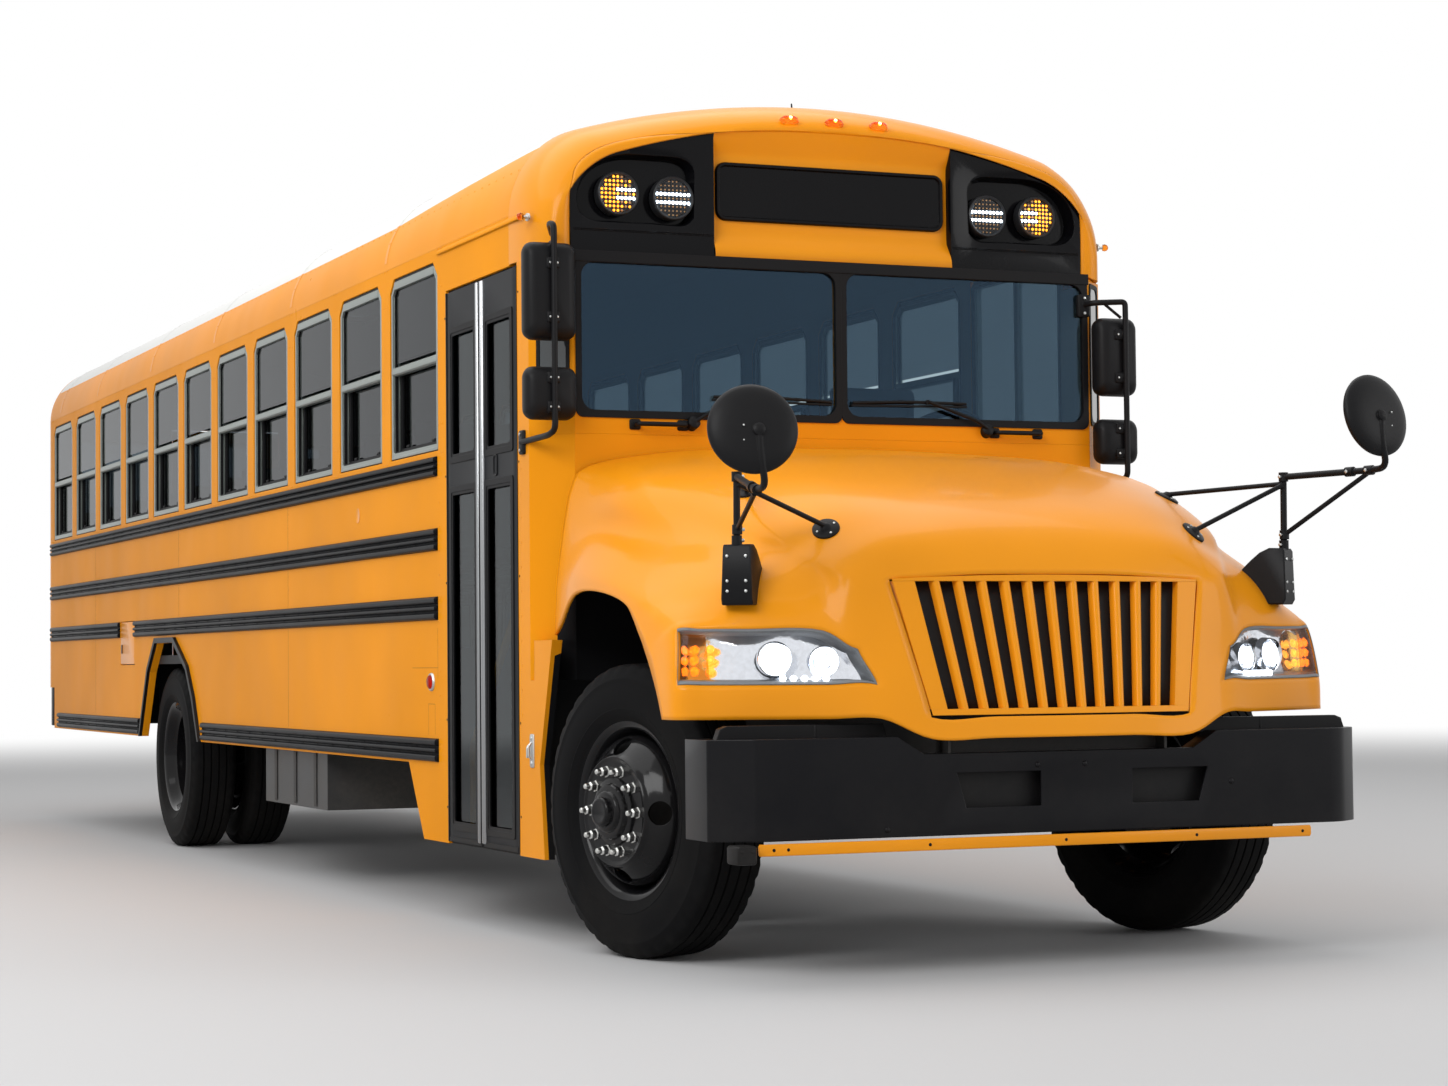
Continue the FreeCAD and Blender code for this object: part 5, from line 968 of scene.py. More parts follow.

# the warning lamps: a black ring and dish with rows of light-emitting diodes under a clear dome; the white
# cells on the amber lamps are painted glints, and cells that are off glow faintly as painted glow
AMBER_AT, WHITE_AT, LAMP_ROUND = (0.891, 2.779), (0.669, 2.772), 0.083
DIODE_PITCH, DIODE_REACH = 0.0155, 0.066
dish = plastic("lamp_dish", (0.018, 0.019, 0.021), 0.3, dust=0.05, shine=0.25)
led_white_and_glint = glowing("led_white_and_glint", (0.75, 0.88, 1.0), 14.0)
led_amber = glowing("led_amber", (1.0, 0.34, 0.02), 5.0)
# cells that are off still glow faintly: painted glow
led_off_glow = glowing("led_unlit_painted_glow", (0.55, 0.30, 0.12), 0.35)
bm = bmesh.new()
white_and_glint_bm, amber_bm, off_glow_bm, dome_bm = bmesh.new(), bmesh.new(), bmesh.new(), bmesh.new()
TOWARDS = Vector((0, -1, 0))
for side in (-1, 1):
    for (x, z), amber in ((AMBER_AT, True), (WHITE_AT, False)):
        centre = here(side * x, 1.722, z)
        turned_into(bm, ((-0.03, LAMP_ROUND), (0.014, LAMP_ROUND), (0.018, LAMP_ROUND - 0.004),
                         (0.015, LAMP_ROUND - 0.010), (0.004, LAMP_ROUND - 0.013), (0.001, 0)),
                    centre, TOWARDS, 48)
        turned_into(dome_bm, ((0.010, LAMP_ROUND - 0.011), (0.018, LAMP_ROUND - 0.018),
                              (0.024, LAMP_ROUND - 0.036), (0.028, LAMP_ROUND - 0.060), (0.029, 0)),
                    centre, TOWARDS, 40, caps=False)
        for row in range(-4, 5):
            for column in range(-4, 5):
                dx, dz = column * DIODE_PITCH, row * DIODE_PITCH
                if math.hypot(dx, dz) > DIODE_REACH:
                    continue
                inner = side * dx < 0
                spot = centre + Vector((dx, -0.004, dz))
                # on the amber lamp, the white cells in the two middle rows are painted glints; on the white
                # lamp they are its lit diodes
                if row in (-1, 1) and (not amber or inner or column == 0):
                    place, size = white_and_glint_bm, 0.0062
                elif amber:
                    place, size = (amber_bm if (row + column) % 2 == 0 or not inner else off_glow_bm), 0.0050
                else:
                    place, size = off_glow_bm, 0.0030
                turned_into(place, ((0, size), (0.003, size * 0.8), (0.005, 0)), spot, TOWARDS, 10)
built("warning_lamps", bm, dish, "body", 40, ["lamps"])
built("warning_leds_white_and_glints", white_and_glint_bm, led_white_and_glint, "body")
built("warning_leds_amber", amber_bm, led_amber, "body")
built("warning_leds_unlit_painted_glow", off_glow_bm, led_off_glow, "body")
built("warning_lamp_domes", dome_bm, clear_lens, "body", 60)

# three small lamps on the brow over their black feet
bm, glow_bm = bmesh.new(), bmesh.new()
for x in (-0.19, 0, 0.19):
    centre = here(x, 1.700, 3.096)
    out = Vector((0, -0.8, 0.6)).normalized()
    pressed_into(bm, rounded(0.034, 0.013, 0.012, 4),
                 ((-0.004, 1.15), (0.004, 1.12), (0.006, 1), (0.014, 0.9), (0.018, 0.6)),
                 lambda a, b, lift: centre + out * lift + Vector((a, b * -0.6, b * -0.8)))
    turned_into(glow_bm, ((0.012, 0.006), (0.020, 0.006), (0.0225, 0)), centre, out, 12)
built("brow_markers", bm, amber_lens, "body", 60)
built("brow_marker_cells", glow_bm, glowing("marker_glow", (1.0, 0.62, 0.2), 12.0), "body")

# ---------------------------------------------------------------- windshield
# Two flat safety-glass panes set in one wide black rubber seal, a small pane on each slanted corner,
# two wipers parked inward, and two black grab handles on the ledge under the glass.
def frame_into(bm, outer, inner, low, high, place, material=0):
    """A flat ring between two outlines with as many points; place puts a flat point and its depth."""
    loops_into(bm, [[place(a, b, low) for a, b in outer], [place(a, b, high) for a, b in outer],
                    [place(a, b, high) for a, b in inner], [place(a, b, low) for a, b in inner]],
               ends=(False, False), material=material)


PANE_IN, PANE_OUT, PANE_LOW, PANE_HIGH = 0.020, 1.065, 1.955, 2.512
seal_black = plastic("seal_rubber", (0.006, 0.006, 0.007), 0.55, dust=0.1)
bm = bmesh.new()
glass_bm = bmesh.new()
for side in (-1, 1):
    middle, half = (side * (PANE_IN + PANE_OUT) / 2, (PANE_LOW + PANE_HIGH) / 2), ((PANE_OUT - PANE_IN) / 2,
                                                                                 (PANE_HIGH - PANE_LOW) / 2)

    def on_front(x, z, depth):
        """A place on the body's flat front."""
        return here(middle[0] + x, 1.660 + depth, middle[1] + z)

    outer = rounded(half[0] + 0.020, half[1] + 0.024, 0.030)
    inner = rounded(half[0] - 0.003, half[1] - 0.004, 0.050)
    frame_into(bm, outer, inner, 0.016, -0.006, on_front)
    for depth in (0.008, 0.014):
        glass_bm.faces.new([glass_bm.verts.new(on_front(x, z, depth))
                            for x, z in rounded(half[0] + 0.004, half[1] + 0.004,
                                                0.05)][::1 if depth < 0.01 else -1])
# the black band up to the cap's lip
box_into(bm, (-1.09, 1.09), (2.51, 2.552), (FRONT + 1.652, FRONT + 1.664))
built("windshield_seal", bm, seal_black, "body", 40)
built("windshield_panes", glass_bm, clear, "body", 30, ["window_glass"])

# the slanted corners, from the flat front at x 1.09 back to the side at station 1.80
bm, glass_bm = bmesh.new(), bmesh.new()
for side in (-1, 1):
    start, end = Vector((side * 1.09, 1.66, 0)), Vector((side * 1.22, 1.80, 0))
    along = (end - start).normalized()
    outward = Vector((side * 0.733, -0.680, 0))
    middle = start + (end - start) * 0.46
    half_wide = (end - start).length * 0.36

    def on_corner(a, b, depth):
        """A place on a slanted corner."""
        spot = middle + along * a + outward * depth
        return here(spot.x, spot.y, 2.235 + b)

    frame_into(bm, rounded(half_wide, 0.285, 0.02), rounded(half_wide - 0.014, 0.268, 0.03), -0.004,
               0.005, on_corner)
    glass_bm.faces.new([glass_bm.verts.new(on_corner(a, b, 0.002))
                        for a, b in rounded(half_wide - 0.01, 0.272, 0.03)])
built("corner_seals", bm, seal_black, "body", 40)
dark_pane = plastic("dark_pane", (0.02, 0.028, 0.032), 0.03, dust=0.03, coat=0.6, grain=3.0,
                    deep=0.0001, shine=0.6)
built("corner_panes", glass_bm, dark_pane, "body", 30)


def tube_into(bm, points, radius, sides=14, bend=0.0):
    """A round bar along a line of points, its corners bent to a radius."""
    points = [Vector(point) for point in points]
    path = [points[0]]
    for before, corner, after in zip(points, points[1:], points[2:]):
        into, out = (before - corner), (after - corner)
        reach = min(bend, into.length * 0.45, out.length * 0.45)
        if reach < 1e-4:
            path.append(corner)
            continue
        start, end = corner + into.normalized() * reach, corner + out.normalized() * reach
        for step in range(7):
            share = step / 6
            path.append(start * (1 - share) ** 2 + corner * 2 * share * (1 - share) + end * share ** 2)
    path.append(points[-1])
    direction = (path[1] - path[0]).normalized()
    aside = direction.orthogonal().normalized()
    loops = []
    for place, spot in enumerate(path):
        ahead_part = (path[min(place + 1, len(path) - 1)] - spot)
        back_part = (spot - path[max(place - 1, 0)])
        direction = ((ahead_part.normalized() if ahead_part.length > 1e-9 else Vector())
                     + (back_part.normalized() if back_part.length > 1e-9 else Vector())).normalized()
        aside = (aside - direction * aside.dot(direction)).normalized()
        beside = direction.cross(aside)
        loops.append(round_points(spot, aside, beside, radius, sides))
    loops_into(bm, loops)


# wipers: the pivot on the ledge, the arm up to the blade, the blade along the foot of the glass
bm = bmesh.new()
for side in (-1, 1):
    pivot = here(side * 0.622, 1.648, 1.916)
    turned_into(bm, ((-0.02, 0.024), (0.014, 0.024), (0.020, 0.014), (0.024, 0)), pivot,
                (side * -0.1, -1, 0.35), 20)
    tube_into(bm, [pivot + Vector((0, -0.016, 0.004)), here(side * 0.57, 1.628, 1.952),
                   here(side * 0.36, 1.634, 2.022)], 0.007, 10, 0.02)
    tube_into(bm, [here(side * 0.045, 1.655, 2.012), here(side * 0.28, 1.650, 2.021),
                   here(side * 0.535, 1.655, 2.019)], 0.006, 8, 0.05)
    prism_into(bm, [(side * 0.04, 1.998), (side * 0.54, 2.004), (side * 0.54, 2.012), (side * 0.04, 2.006)],
               FRONT + 1.655, FRONT + 1.662)
    turned_into(bm, ((-0.006, 0.010), (0.006, 0.010)), here(side * 0.36, 1.642, 2.020), (0, -1, 0), 12)
    # the grab handle on the ledge
    low, high = side * 0.66, side * 0.852
    tube_into(bm, [here(low, 1.658, 1.908), here(low, 1.618, 1.908), here(high, 1.618, 1.908),
                   here(high, 1.658, 1.908)], 0.009, 10, 0.02)
    for x in (low, high):
        pressed_into(bm, rounded(0.022, 0.020, 0.008, 3), ((0, 1), (0.006, 1), (0.009, 0.85)),
                     lambda a, b, lift: here(x + a, 1.662 - lift, 1.908 + b))
built("wipers_and_handles", bm, grained, "body", 50)

# ---------------------------------------------------------------- front bumper
# One long channel of bent steel painted black, bolted to the frame's two front hangers, with a lowered
# middle under the grille, two openings for tow hooks, and a dark filler plate behind its upper edge.
def bent(points, reaches):
    """A flat line whose corners are bent, each over its own reach."""
    points = [Vector(point) for point in points]
    found = [points[0]]
    for before, corner, after, reach in zip(points, points[1:], points[2:], reaches):
        start = corner + (before - corner).normalized() * reach
        end = corner + (after - corner).normalized() * reach
        for step in range(7):
            share = step / 6
            found.append(start * (1 - share) ** 2 + corner * 2 * share * (1 - share) + end * share ** 2)
    return found + [points[-1]]


BUMPER_FLAT, BUMPER_SIDE, BUMPER_SLANT, BUMPER_END = 1.098, 1.225, 0.095, 0.280
NOTCH_HIGH, NOTCH_HALF, FLANGE, BUMPER_STEEL = 0.718, 0.51, 0.075, 0.010
# across at the five heights of the face: lower edge, openings' foot and top, below the notch, upper edge
FACE_COLUMNS = ((-0.85, -0.85, -0.85, -0.85, -0.85), (-0.60, -0.60, -0.60, -0.60, -0.600),
                (-0.45, -0.45, -0.45, -0.49, -0.505), (-0.353, -0.353, -0.386, -0.386, -0.386),
                (-0.076, -0.076, -0.076, -0.076, -0.076), (0.270, 0.270, 0.270, 0.270, 0.270),
                (0.528, 0.528, 0.563, 0.480, 0.470), (0.575, 0.575, 0.580, 0.540, 0.505),
                (0.66, 0.66, 0.66, 0.62, 0.600), (0.85, 0.85, 0.85, 0.85, 0.85))
FACE_HEIGHTS = (0.453, 0.541, 0.655, 0.700, 0.775)
HOLES = (3, 5)
bm = bmesh.new()
wings = []
for side, reach in ((-1, 0.008), (1, 0.045)):
    wing = bent([(side * BUMPER_SIDE, BUMPER_END, 0), (side * BUMPER_SIDE, BUMPER_SLANT, 0),
                 (side * BUMPER_FLAT, 0, 0), (side * 0.9, 0, 0)], (reach, reach))[:-1]
    wings.append([[(spot.x, spot.y, z) for z in FACE_HEIGHTS] for spot in wing])
columns = list(wings[0])
for across in FACE_COLUMNS:
    columns.append([(x, 0, NOTCH_HIGH if place == 4 and abs(x) < NOTCH_HALF else z)
                    for place, (x, z) in enumerate(zip(across, FACE_HEIGHTS))])
columns += wings[1][::-1]
first_face = len(wings[0])
lines = [[here(*column[place]) for column in columns] for place in range(len(FACE_HEIGHTS))]
low_flange = []
for spot in lines[0]:
    share = min(1.0, max(0.0, (abs(spot.x) - BUMPER_FLAT) / (BUMPER_SIDE - BUMPER_FLAT)))
    low_flange.append(spot + Vector((-math.copysign(FLANGE * share, spot.x), FLANGE * (1 - share), 0)))
high_flange = [spot + (low - base) for spot, low, base in zip(lines[-1], low_flange, lines[0])]
grid_into(bm, [low_flange, *lines, high_flange],
          lambda row, column: row == 2 and column - first_face in HOLES)
bmesh.ops.recalc_face_normals(bm, faces=bm.faces)
front_face = min(bm.faces, key=lambda face: face.calc_center_median().y)
if front_face.normal.y > 0:
    bmesh.ops.reverse_faces(bm, faces=bm.faces)
bumper = built("front_bumper_channel", bm, black, "body", 30, ["front_bumper"])
edged(thick(bumper, BUMPER_STEEL), 0.005, 3, 30)

bm = bmesh.new()
for x, z in ((-0.64, 0.478), (0.655, 0.603), (-0.0889, 0.675), (0.0889, 0.675)):
    turned_into(bm, ((0, 0.010), (0.003, 0.009), (0.006, 0.005), (0.0065, 0)), here(x, 0.001, z), TOWARDS, 16)
built("front_bumper_bolts", bm, black, "body")
bm = bmesh.new()
for side in (-1, 1):
    prism_into(bm, [(side * 0.585, 0.766), (side * 1.190, 0.766), (side * 1.175, 0.808), (side * 1.15, 0.817),
                    (side * 0.60, 0.817)], FRONT + 0.105, FRONT + 0.140)
    box_into(bm, (side * 0.84, side * 0.846), (0.768, 0.818), (FRONT + 0.102, FRONT + 0.106))
# one black plate behind both openings: the tow hooks' cross plate, and painted shade for the dark inside of
# each opening
box_into(bm, (-0.50, 0.68), (0.50, 0.69), (FRONT + 0.045, FRONT + 0.055))
edged(built("front_bumper_filler", bm, grained, "body"), 0.004)

# ---------------------------------------------------------------- crossing arm
# A flat yellow plastic strip hinged to a black actuator at the bumper's door-side end; it lies along
# the bumper's foot and swings out ahead.
low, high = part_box("crossing_arm")
bm = bmesh.new()
arm_mid = (low + high) / 2
half = (high - low) / 2
pressed_into(bm, rounded(half.y, half.z, 0.004, 3), ((-half.x, 0.7), (0.004 - half.x, 1),
                                                     (half.x - 0.004, 1), (half.x, 0.7)),
             lambda a, b, x: arm_mid + Vector((x, a, b)))
built("crossing_arm_strip", bm, yellow, "crossing_arm", 40, ["crossing_arm"])
bm = bmesh.new()
for x in (-1.05, -1.0, -0.5, 0.0, 0.5, 0.92):
    turned_into(bm, ((0, 0.006), (0.0015, 0.005), (0.002, 0)),
                Vector((x, low.y + 0.0005, arm_mid.z)), TOWARDS, 10)
built("crossing_arm_rivets", bm, black, "crossing_arm")

# ---------------------------------------------------------------- crossview mirrors
# Round convex mirrors in black shells on bent steel tube, each carried by a riveted black wedge on
# the fender and braced to two round feet on the hood, with which they tilt.
def on_hood(x, station):
    """The hood's surface and its outward direction at a place across and along."""
    goal = here(x, station, 0)
    best = min(((row, column) for row in range(1, len(hood_lines) - 1)
                for column in range(1, len(hood_lines[0]) - 1)),
               key=lambda spot: (hood_lines[spot[0]][spot[1]].xy - goal.xy).length)
    row, column = best
    along = hood_lines[row + 1][column] - hood_lines[row - 1][column]
    across = hood_lines[row][column + 1] - hood_lines[row][column - 1]
    outward = across.cross(along).normalized()
    if outward.z < 0:
        outward = -outward
    return hood_lines[row][column].copy(), outward


DOME_ROUND, TUBE = 0.144, 0.0115
mirror_glass = chrome_like("mirror_glass", (0.80, 0.82, 0.84), 0.03, 2.0)
bm, glass_bm, bolt_bm = bmesh.new(), bmesh.new(), bmesh.new()
# side, the mirror's height, the knuckle's height, how far out the mirror's stem comes down
CROSSVIEWS = ((-1, 1.744, 1.622, 1.132), (1, 1.843, 1.654, 1.185))
POST_OUT, POST_AT, WEDGE_TURN = 1.049, 0.245, math.radians(37)
# the wedge's side: how far back, how high
WEDGE = ((0.0, 1.222), (0.004, 1.392), (0.010, 1.402), (0.060, 1.404), (0.096, 1.388), (0.130, 1.360),
         (0.172, 1.320), (0.200, 1.280), (0.140, 1.245), (0.070, 1.205), (0.010, 1.205))
for side, height, knuckle_up, stem_out in CROSSVIEWS:
    centre = here(side * 1.162, -0.148, height)
    facing = Vector((side * 0.20, -0.955, 0.20)).normalized()
    turned_into(bm, ((-0.014, DOME_ROUND - 0.004), (-0.006, DOME_ROUND), (0.002, DOME_ROUND),
                     (0.008, DOME_ROUND * 0.975), (0.016, DOME_ROUND * 0.90), (0.024, DOME_ROUND * 0.76),
                     (0.030, DOME_ROUND * 0.58), (0.034, DOME_ROUND * 0.36), (0.036, DOME_ROUND * 0.16),
                     (0.0362, 0)), centre, facing, 64, caps=False)
    turned_into(glass_bm, ((-0.010, DOME_ROUND - 0.006), (-0.022, DOME_ROUND * 0.9),
                           (-0.034, DOME_ROUND * 0.7), (-0.042, DOME_ROUND * 0.45),
                           (-0.046, DOME_ROUND * 0.2), (-0.047, 0)), centre, facing, 64, caps=False)
    ball = centre + facing * 0.040 + Vector((side * -0.012, 0, -0.012))
    elbow = here(side * (stem_out - 0.008), -0.085, height - 0.184)
    knee = here(side * POST_OUT, POST_AT, knuckle_up)
    post = here(side * POST_OUT, POST_AT + 0.004, 1.395)
    collar = here(side * POST_OUT, POST_AT, 1.450)
    tube_into(bm, [ball, ball + Vector((side * -0.004, -0.006, -0.085)),
                   here(side * stem_out, -0.176, height - 0.180), elbow], TUBE, 14, 0.05)
    turned_into(bm, ((-0.004, 0.020), (0.012, 0.020), (0.018, 0.012)), ball - facing * 0.004, facing, 20)
    tube_into(bm, [elbow, knee], TUBE, 14)
    tube_into(bm, [knee + Vector((0, 0, 0.010)), post], TUBE, 14)
    tube_into(bm, [elbow + Vector((0, 0.015, -0.012)), collar], 0.0085, 12)
    for spot, direction in ((knee, (0, 0, 1)), (collar, (0, 0, 1)), (post + Vector((0, 0, 0.02)), (0, 0, 1)),
                            (elbow, knee - elbow), (elbow + (knee - elbow) * 0.22, knee - elbow)):
        turned_into(bm, ((-0.016, 0.017), (0.016, 0.017)), spot, direction, 16)
        turned_into(bolt_bm, ((0.014, 0.006), (0.024, 0.006), (0.026, 0)), spot,
                    Vector((side * -1, -0.3, 0)), 8)
    for angle in (35, 145, 215, 325):
        aside = Vector((math.cos(math.radians(angle)) * 0.045, 0, math.sin(math.radians(angle)) * 0.040
                        - 0.02))
        turned_into(bolt_bm, ((0.031, 0.0035), (0.0345, 0.003), (0.0355, 0)), centre + aside, facing, 8)
    for x, station in ((0.704, 0.306), (0.843, 0.640)):
        foot, outward = on_hood(side * x, station)
        turned_into(bm, ((-0.004, 0.047), (0.005, 0.046), (0.008, 0.040), (0.010, 0.020), (0.020, 0.012),
                         (0.024, 0)), foot, outward, 32)
        tube_into(bm, [foot + outward * 0.014, knee - Vector((0, 0.01, 0.024))], 0.0085, 12)
        aside = outward.orthogonal().normalized()
        beside = outward.cross(aside)
        for turn in range(4):
            angle = math.pi / 4 + math.pi / 2 * turn
            turned_into(bolt_bm, ((0.007, 0.0045), (0.0105, 0.004), (0.0115, 0)),
                        foot + (aside * math.cos(angle) + beside * math.sin(angle)) * 0.033, outward, 8)
    # the wedge's front plate looks outward, and its fairing runs back down to the fender
    outside = Vector((side * math.cos(WEDGE_TURN), math.sin(WEDGE_TURN), 0))
    backward = Vector((side * -math.sin(WEDGE_TURN), math.cos(WEDGE_TURN), 0))
    foot = here(side * POST_OUT, POST_AT, 0) - backward * 0.018
    loops = []
    for across, share in ((-1.0, 0.965), (-0.93, 1.0), (0.93, 1.0), (1.0, 0.965)):
        loops.append([foot + outside * across * (0.046 + 0.006 * (1.40 - z) / 0.18)
                      + backward * (0.09 + (back - 0.09) * share) + Vector((0, 0, 1.31 + (z - 1.31) * share))
                      for back, z in WEDGE])
    loops_into(bm, loops)
    for across in (-0.031, 0.031):
        for z in (1.250, 1.283, 1.364):
            turned_into(bolt_bm, ((-0.003, 0.0055), (0.002, 0.005), (0.0035, 0)),
                        foot + outside * across + Vector((0, 0, z)), -backward, 10)
built("crossview_mirror_shells", bm, grained, "hood", 40, ["crossview_mirrors"])
built("crossview_mirror_glass", glass_bm, mirror_glass, "hood", 60)
built("crossview_mirror_rivets", bolt_bm, metal, "hood", 40)

# ---------------------------------------------------------------- side mirrors
# Two moulded black heads on each side, a flat mirror over a wide-angle one, clamped to one bent
# steel tube that is bolted to the body above and below the windshield's corner.
bm, glass_bm, bolt_bm = bmesh.new(), bmesh.new(), bmesh.new()
# side, middle across, lower head's foot and top, upper head's foot and top
HEADS = ((-1, 1.206, 1.912, 2.108, 2.204, 2.565), (1, 1.178, 1.791, 1.971, 2.062, 2.374))
# a head's shell from its rim forward: station, inset
HEAD_LOOPS = ((1.640, 0.014), (1.636, 0.004), (1.615, 0.0), (1.590, 0.002), (1.574, 0.010), (1.565, 0.022),
              (1.560, 0.038))
for side, across, low_a, high_a, low_b, high_b in HEADS:
    half_wide = 0.100 if side < 0 else 0.090
    for low, high in ((low_a, high_a), (low_b, high_b)):
        middle, half_high = (low + high) / 2, (high - low) / 2
        loops = []
        for y, inset in HEAD_LOOPS:
            loops.append([here(side * across + x, y + 0.004 * (z / half_high) ** 2, middle + z)
                          for x, z in rounded(half_wide - inset, half_high - inset * 1.2,
                                              0.038 - inset * 0.4, 6)])
        loops_into(bm, loops)
        glass_bm.faces.new([glass_bm.verts.new(here(side * across + x, 1.6405, middle + z))
                            for x, z in rounded(half_wide - 0.018, half_high - 0.018, 0.026)])
        for z in (middle - half_high * 0.55, middle + half_high * 0.55):
            pressed_into(bm, rounded(0.024, 0.020, 0.006, 3), ((0, 1), (0.016, 1), (0.020, 0.8)),
                         lambda a, b, lift: here(side * across + a, 1.572 - lift, z + b))
            for x in (-0.014, 0.014):
                turned_into(bolt_bm, ((0, 0.0045), (0.004, 0.004), (0.005, 0)),
                            here(side * across + x, 1.553, z), TOWARDS, 8)
    pole = 1.549
    if side < 0:
        tube_into(bm, [here(-1.150, 1.720, 2.610), here(-1.206, 1.600, 2.634),
                       here(-1.206, pole, 2.625), here(-1.206, pole, 1.872), here(-1.214, 1.600, 1.856),
                       here(-1.228, 1.860, 1.848)], TUBE, 14, 0.045)
        tube_into(bm, [here(-1.206, pole, 2.560), here(-1.180, 1.660, 2.572)], 0.008, 10)
        pads = ((-1.223, 1.862, 1.848, -1.0, 0.0), (-1.146, 1.722, 2.612, -0.733, -0.68))
    else:
        tube_into(bm, [here(1.070, 1.650, 2.430), here(1.085, 1.600, 2.432), here(1.195, pole, 2.434),
                       here(1.196, pole, 2.40), here(1.196, pole, 1.740), here(1.190, 1.600, 1.722),
                       here(1.165, 1.740, 1.716)], TUBE, 14, 0.05)
        tube_into(bm, [here(1.120, 1.585, 2.428), here(1.180, 1.556, 2.370)], 0.006, 8)
        pads = ((1.066, 1.655, 2.425, 0.0, -1.0), (1.160, 1.742, 1.716, 0.733, -0.68))
    for x, y, z, dx, dy in pads:
        direction = Vector((dx, dy, 0)).normalized()
        aside = direction.cross(Vector((0, 0, 1)))
        pressed_into(bm, rounded(0.026, 0.045, 0.008, 3), ((-0.012, 1), (0.006, 1), (0.010, 0.85)),
                     lambda a, b, lift: here(x, y, z + b) + direction * lift + aside * a)
        for up in (-0.030, 0.030):
            turned_into(bolt_bm, ((0.009, 0.006), (0.015, 0.006), (0.017, 0)), here(x, y, z + up),
                        direction, 6)
built("side_mirror_shells", bm, grained, "body", 45, ["side_mirrors"])
built("side_mirror_glass", glass_bm, mirror_glass, "body", 60)
built("side_mirror_bolts", bolt_bm, metal, "body", 40)

# ---------------------------------------------------------------- tyres and wheels
# Radial truck tyres with ribbed treads on pressed steel discs painted black: single in front with the
# disc bulging out round a protruding hub, twin behind with the outer disc dished in; ten nuts each.
def cut_by(thing, tool_bm):
    """Cuts a piece by a closed tool for good."""
    tool_mesh = bpy.data.meshes.new("tool")
    tool_bm.to_mesh(tool_mesh)
    tool_bm.free()
    tool = bpy.data.objects.new("tool", tool_mesh)
    scene.collection.objects.link(tool)
    cut = thing.modifiers.new("cut", "BOOLEAN")
    cut.object = tool
    cut.solver = "EXACT"
    bpy.context.view_layer.update()
    done = bpy.data.meshes.new_from_object(thing.evaluated_get(bpy.context.evaluated_depsgraph_get()))
    thing.modifiers.remove(cut)
    thing.data = done
    bpy.data.objects.remove(tool)
    return thing


CROWN_RADIUS, AXLE_UP, TYRE_SIDES, DISC_SIDES = 0.5098, 0.510, 160, 72
GROOVES, GROOVE_HALF, GROOVE_DEEP, LUG_EVERY = (0.022, 0.064), 0.0045, 0.012, 4
half_tread = [(0.0, CROWN_RADIUS)]
for groove in GROOVES:
    crown = CROWN_RADIUS - 0.25 * groove ** 2
    half_tread += [(groove - GROOVE_HALF, crown), (groove - GROOVE_HALF * 0.6, crown - GROOVE_DEEP),
                   (groove + GROOVE_HALF * 0.6, crown - GROOVE_DEEP), (groove + GROOVE_HALF, crown)]
# along the axle and away from it, and whether the shoulder's cuts run across this point
SIDEWALL = ((0.094, 0.5075, 0), (0.100, 0.5065, 1), (0.107, 0.5020, 1), (0.113, 0.4930, 1),
            (0.117, 0.4840, 1), (0.120, 0.4760, 0), (0.1265, 0.4600, 0), (0.1280, 0.4570, 0),
            (0.1276, 0.4540, 0), (0.1315, 0.4300, 0), (0.1340, 0.4050, 0), (0.1345, 0.3850, 0),
            (0.1338, 0.3650, 0), (0.1325, 0.3560, 0), (0.1338, 0.3540, 0), (0.1320, 0.3500, 0),
            (0.1275, 0.3350, 0), (0.1200, 0.3230, 0), (0.1165, 0.3180, 0), (0.1140, 0.3120, 0),
            (0.1100, 0.3050, 0), (0.1020, 0.2990, 0), (0.0900, 0.2960, 0))
half_tyre = [(along, radius, 0) for along, radius in half_tread] + list(SIDEWALL)
tyre_line = [(-along, radius, lug) for along, radius, lug in reversed(half_tyre[1:])] + half_tyre


def tyre_into(bm, middle, direction):
    """One tyre round its middle, with cuts across its shoulders."""
    aside, beside = Vector((0, 0, 1)), direction.cross(Vector((0, 0, 1)))
    loops = []
    for along, radius, lug in tyre_line:
        loop = []
        for side in range(TYRE_SIDES):
            turn = math.tau * side / TYRE_SIDES
            reach = radius - (0.007 if lug and side % LUG_EVERY == 0 else 0.0)
            loop.append(middle + direction * along + (aside * math.cos(turn) + beside * math.sin(turn))
                        * reach)
        loops.append(loop)
    loops_into(bm, loops, ends=(False, False))


# the barrel and its lips, then the disc from the barrel to the hub's face: along from the tyre's middle
BARREL = ((-0.112, 0.306), (-0.113, 0.312), (-0.110, 0.314), (-0.106, 0.308), (-0.103, 0.296),
          (-0.094, 0.288), (-0.064, 0.280), (-0.046, 0.260), (0.046, 0.260), (0.064, 0.280),
          (0.094, 0.288), (0.103, 0.296), (0.106, 0.308), (0.110, 0.314), (0.113, 0.312), (0.112, 0.306),
          (0.108, 0.296), (0.099, 0.284), (0.068, 0.274), (0.052, 0.252), (-0.052, 0.252), (-0.068, 0.274),
          (-0.099, 0.284), (-0.108, 0.296))
DISC = ((0.050, 0.256), (0.066, 0.262), (0.082, 0.262), (0.096, 0.257), (0.112, 0.247), (0.128, 0.233),
        (0.142, 0.217), (0.153, 0.203), (0.160, 0.196), (0.167, 0.193), (0.1715, 0.188), (0.1715, 0.182),
        (0.168, 0.177), (0.168, 0.170), (0.168, 0.095), (0.158, 0.095), (0.158, 0.178), (0.148, 0.190),
        (0.132, 0.209), (0.114, 0.228), (0.096, 0.243), (0.074, 0.249), (0.050, 0.248))
HAND_HOLES, HOLE_AT, HOLE_ALONG, HOLE_ROUND = 4, 0.222, 0.128, 0.041
NUTS, NUT_CIRCLE, NUT_SEAT = 10, 0.142875, 0.168
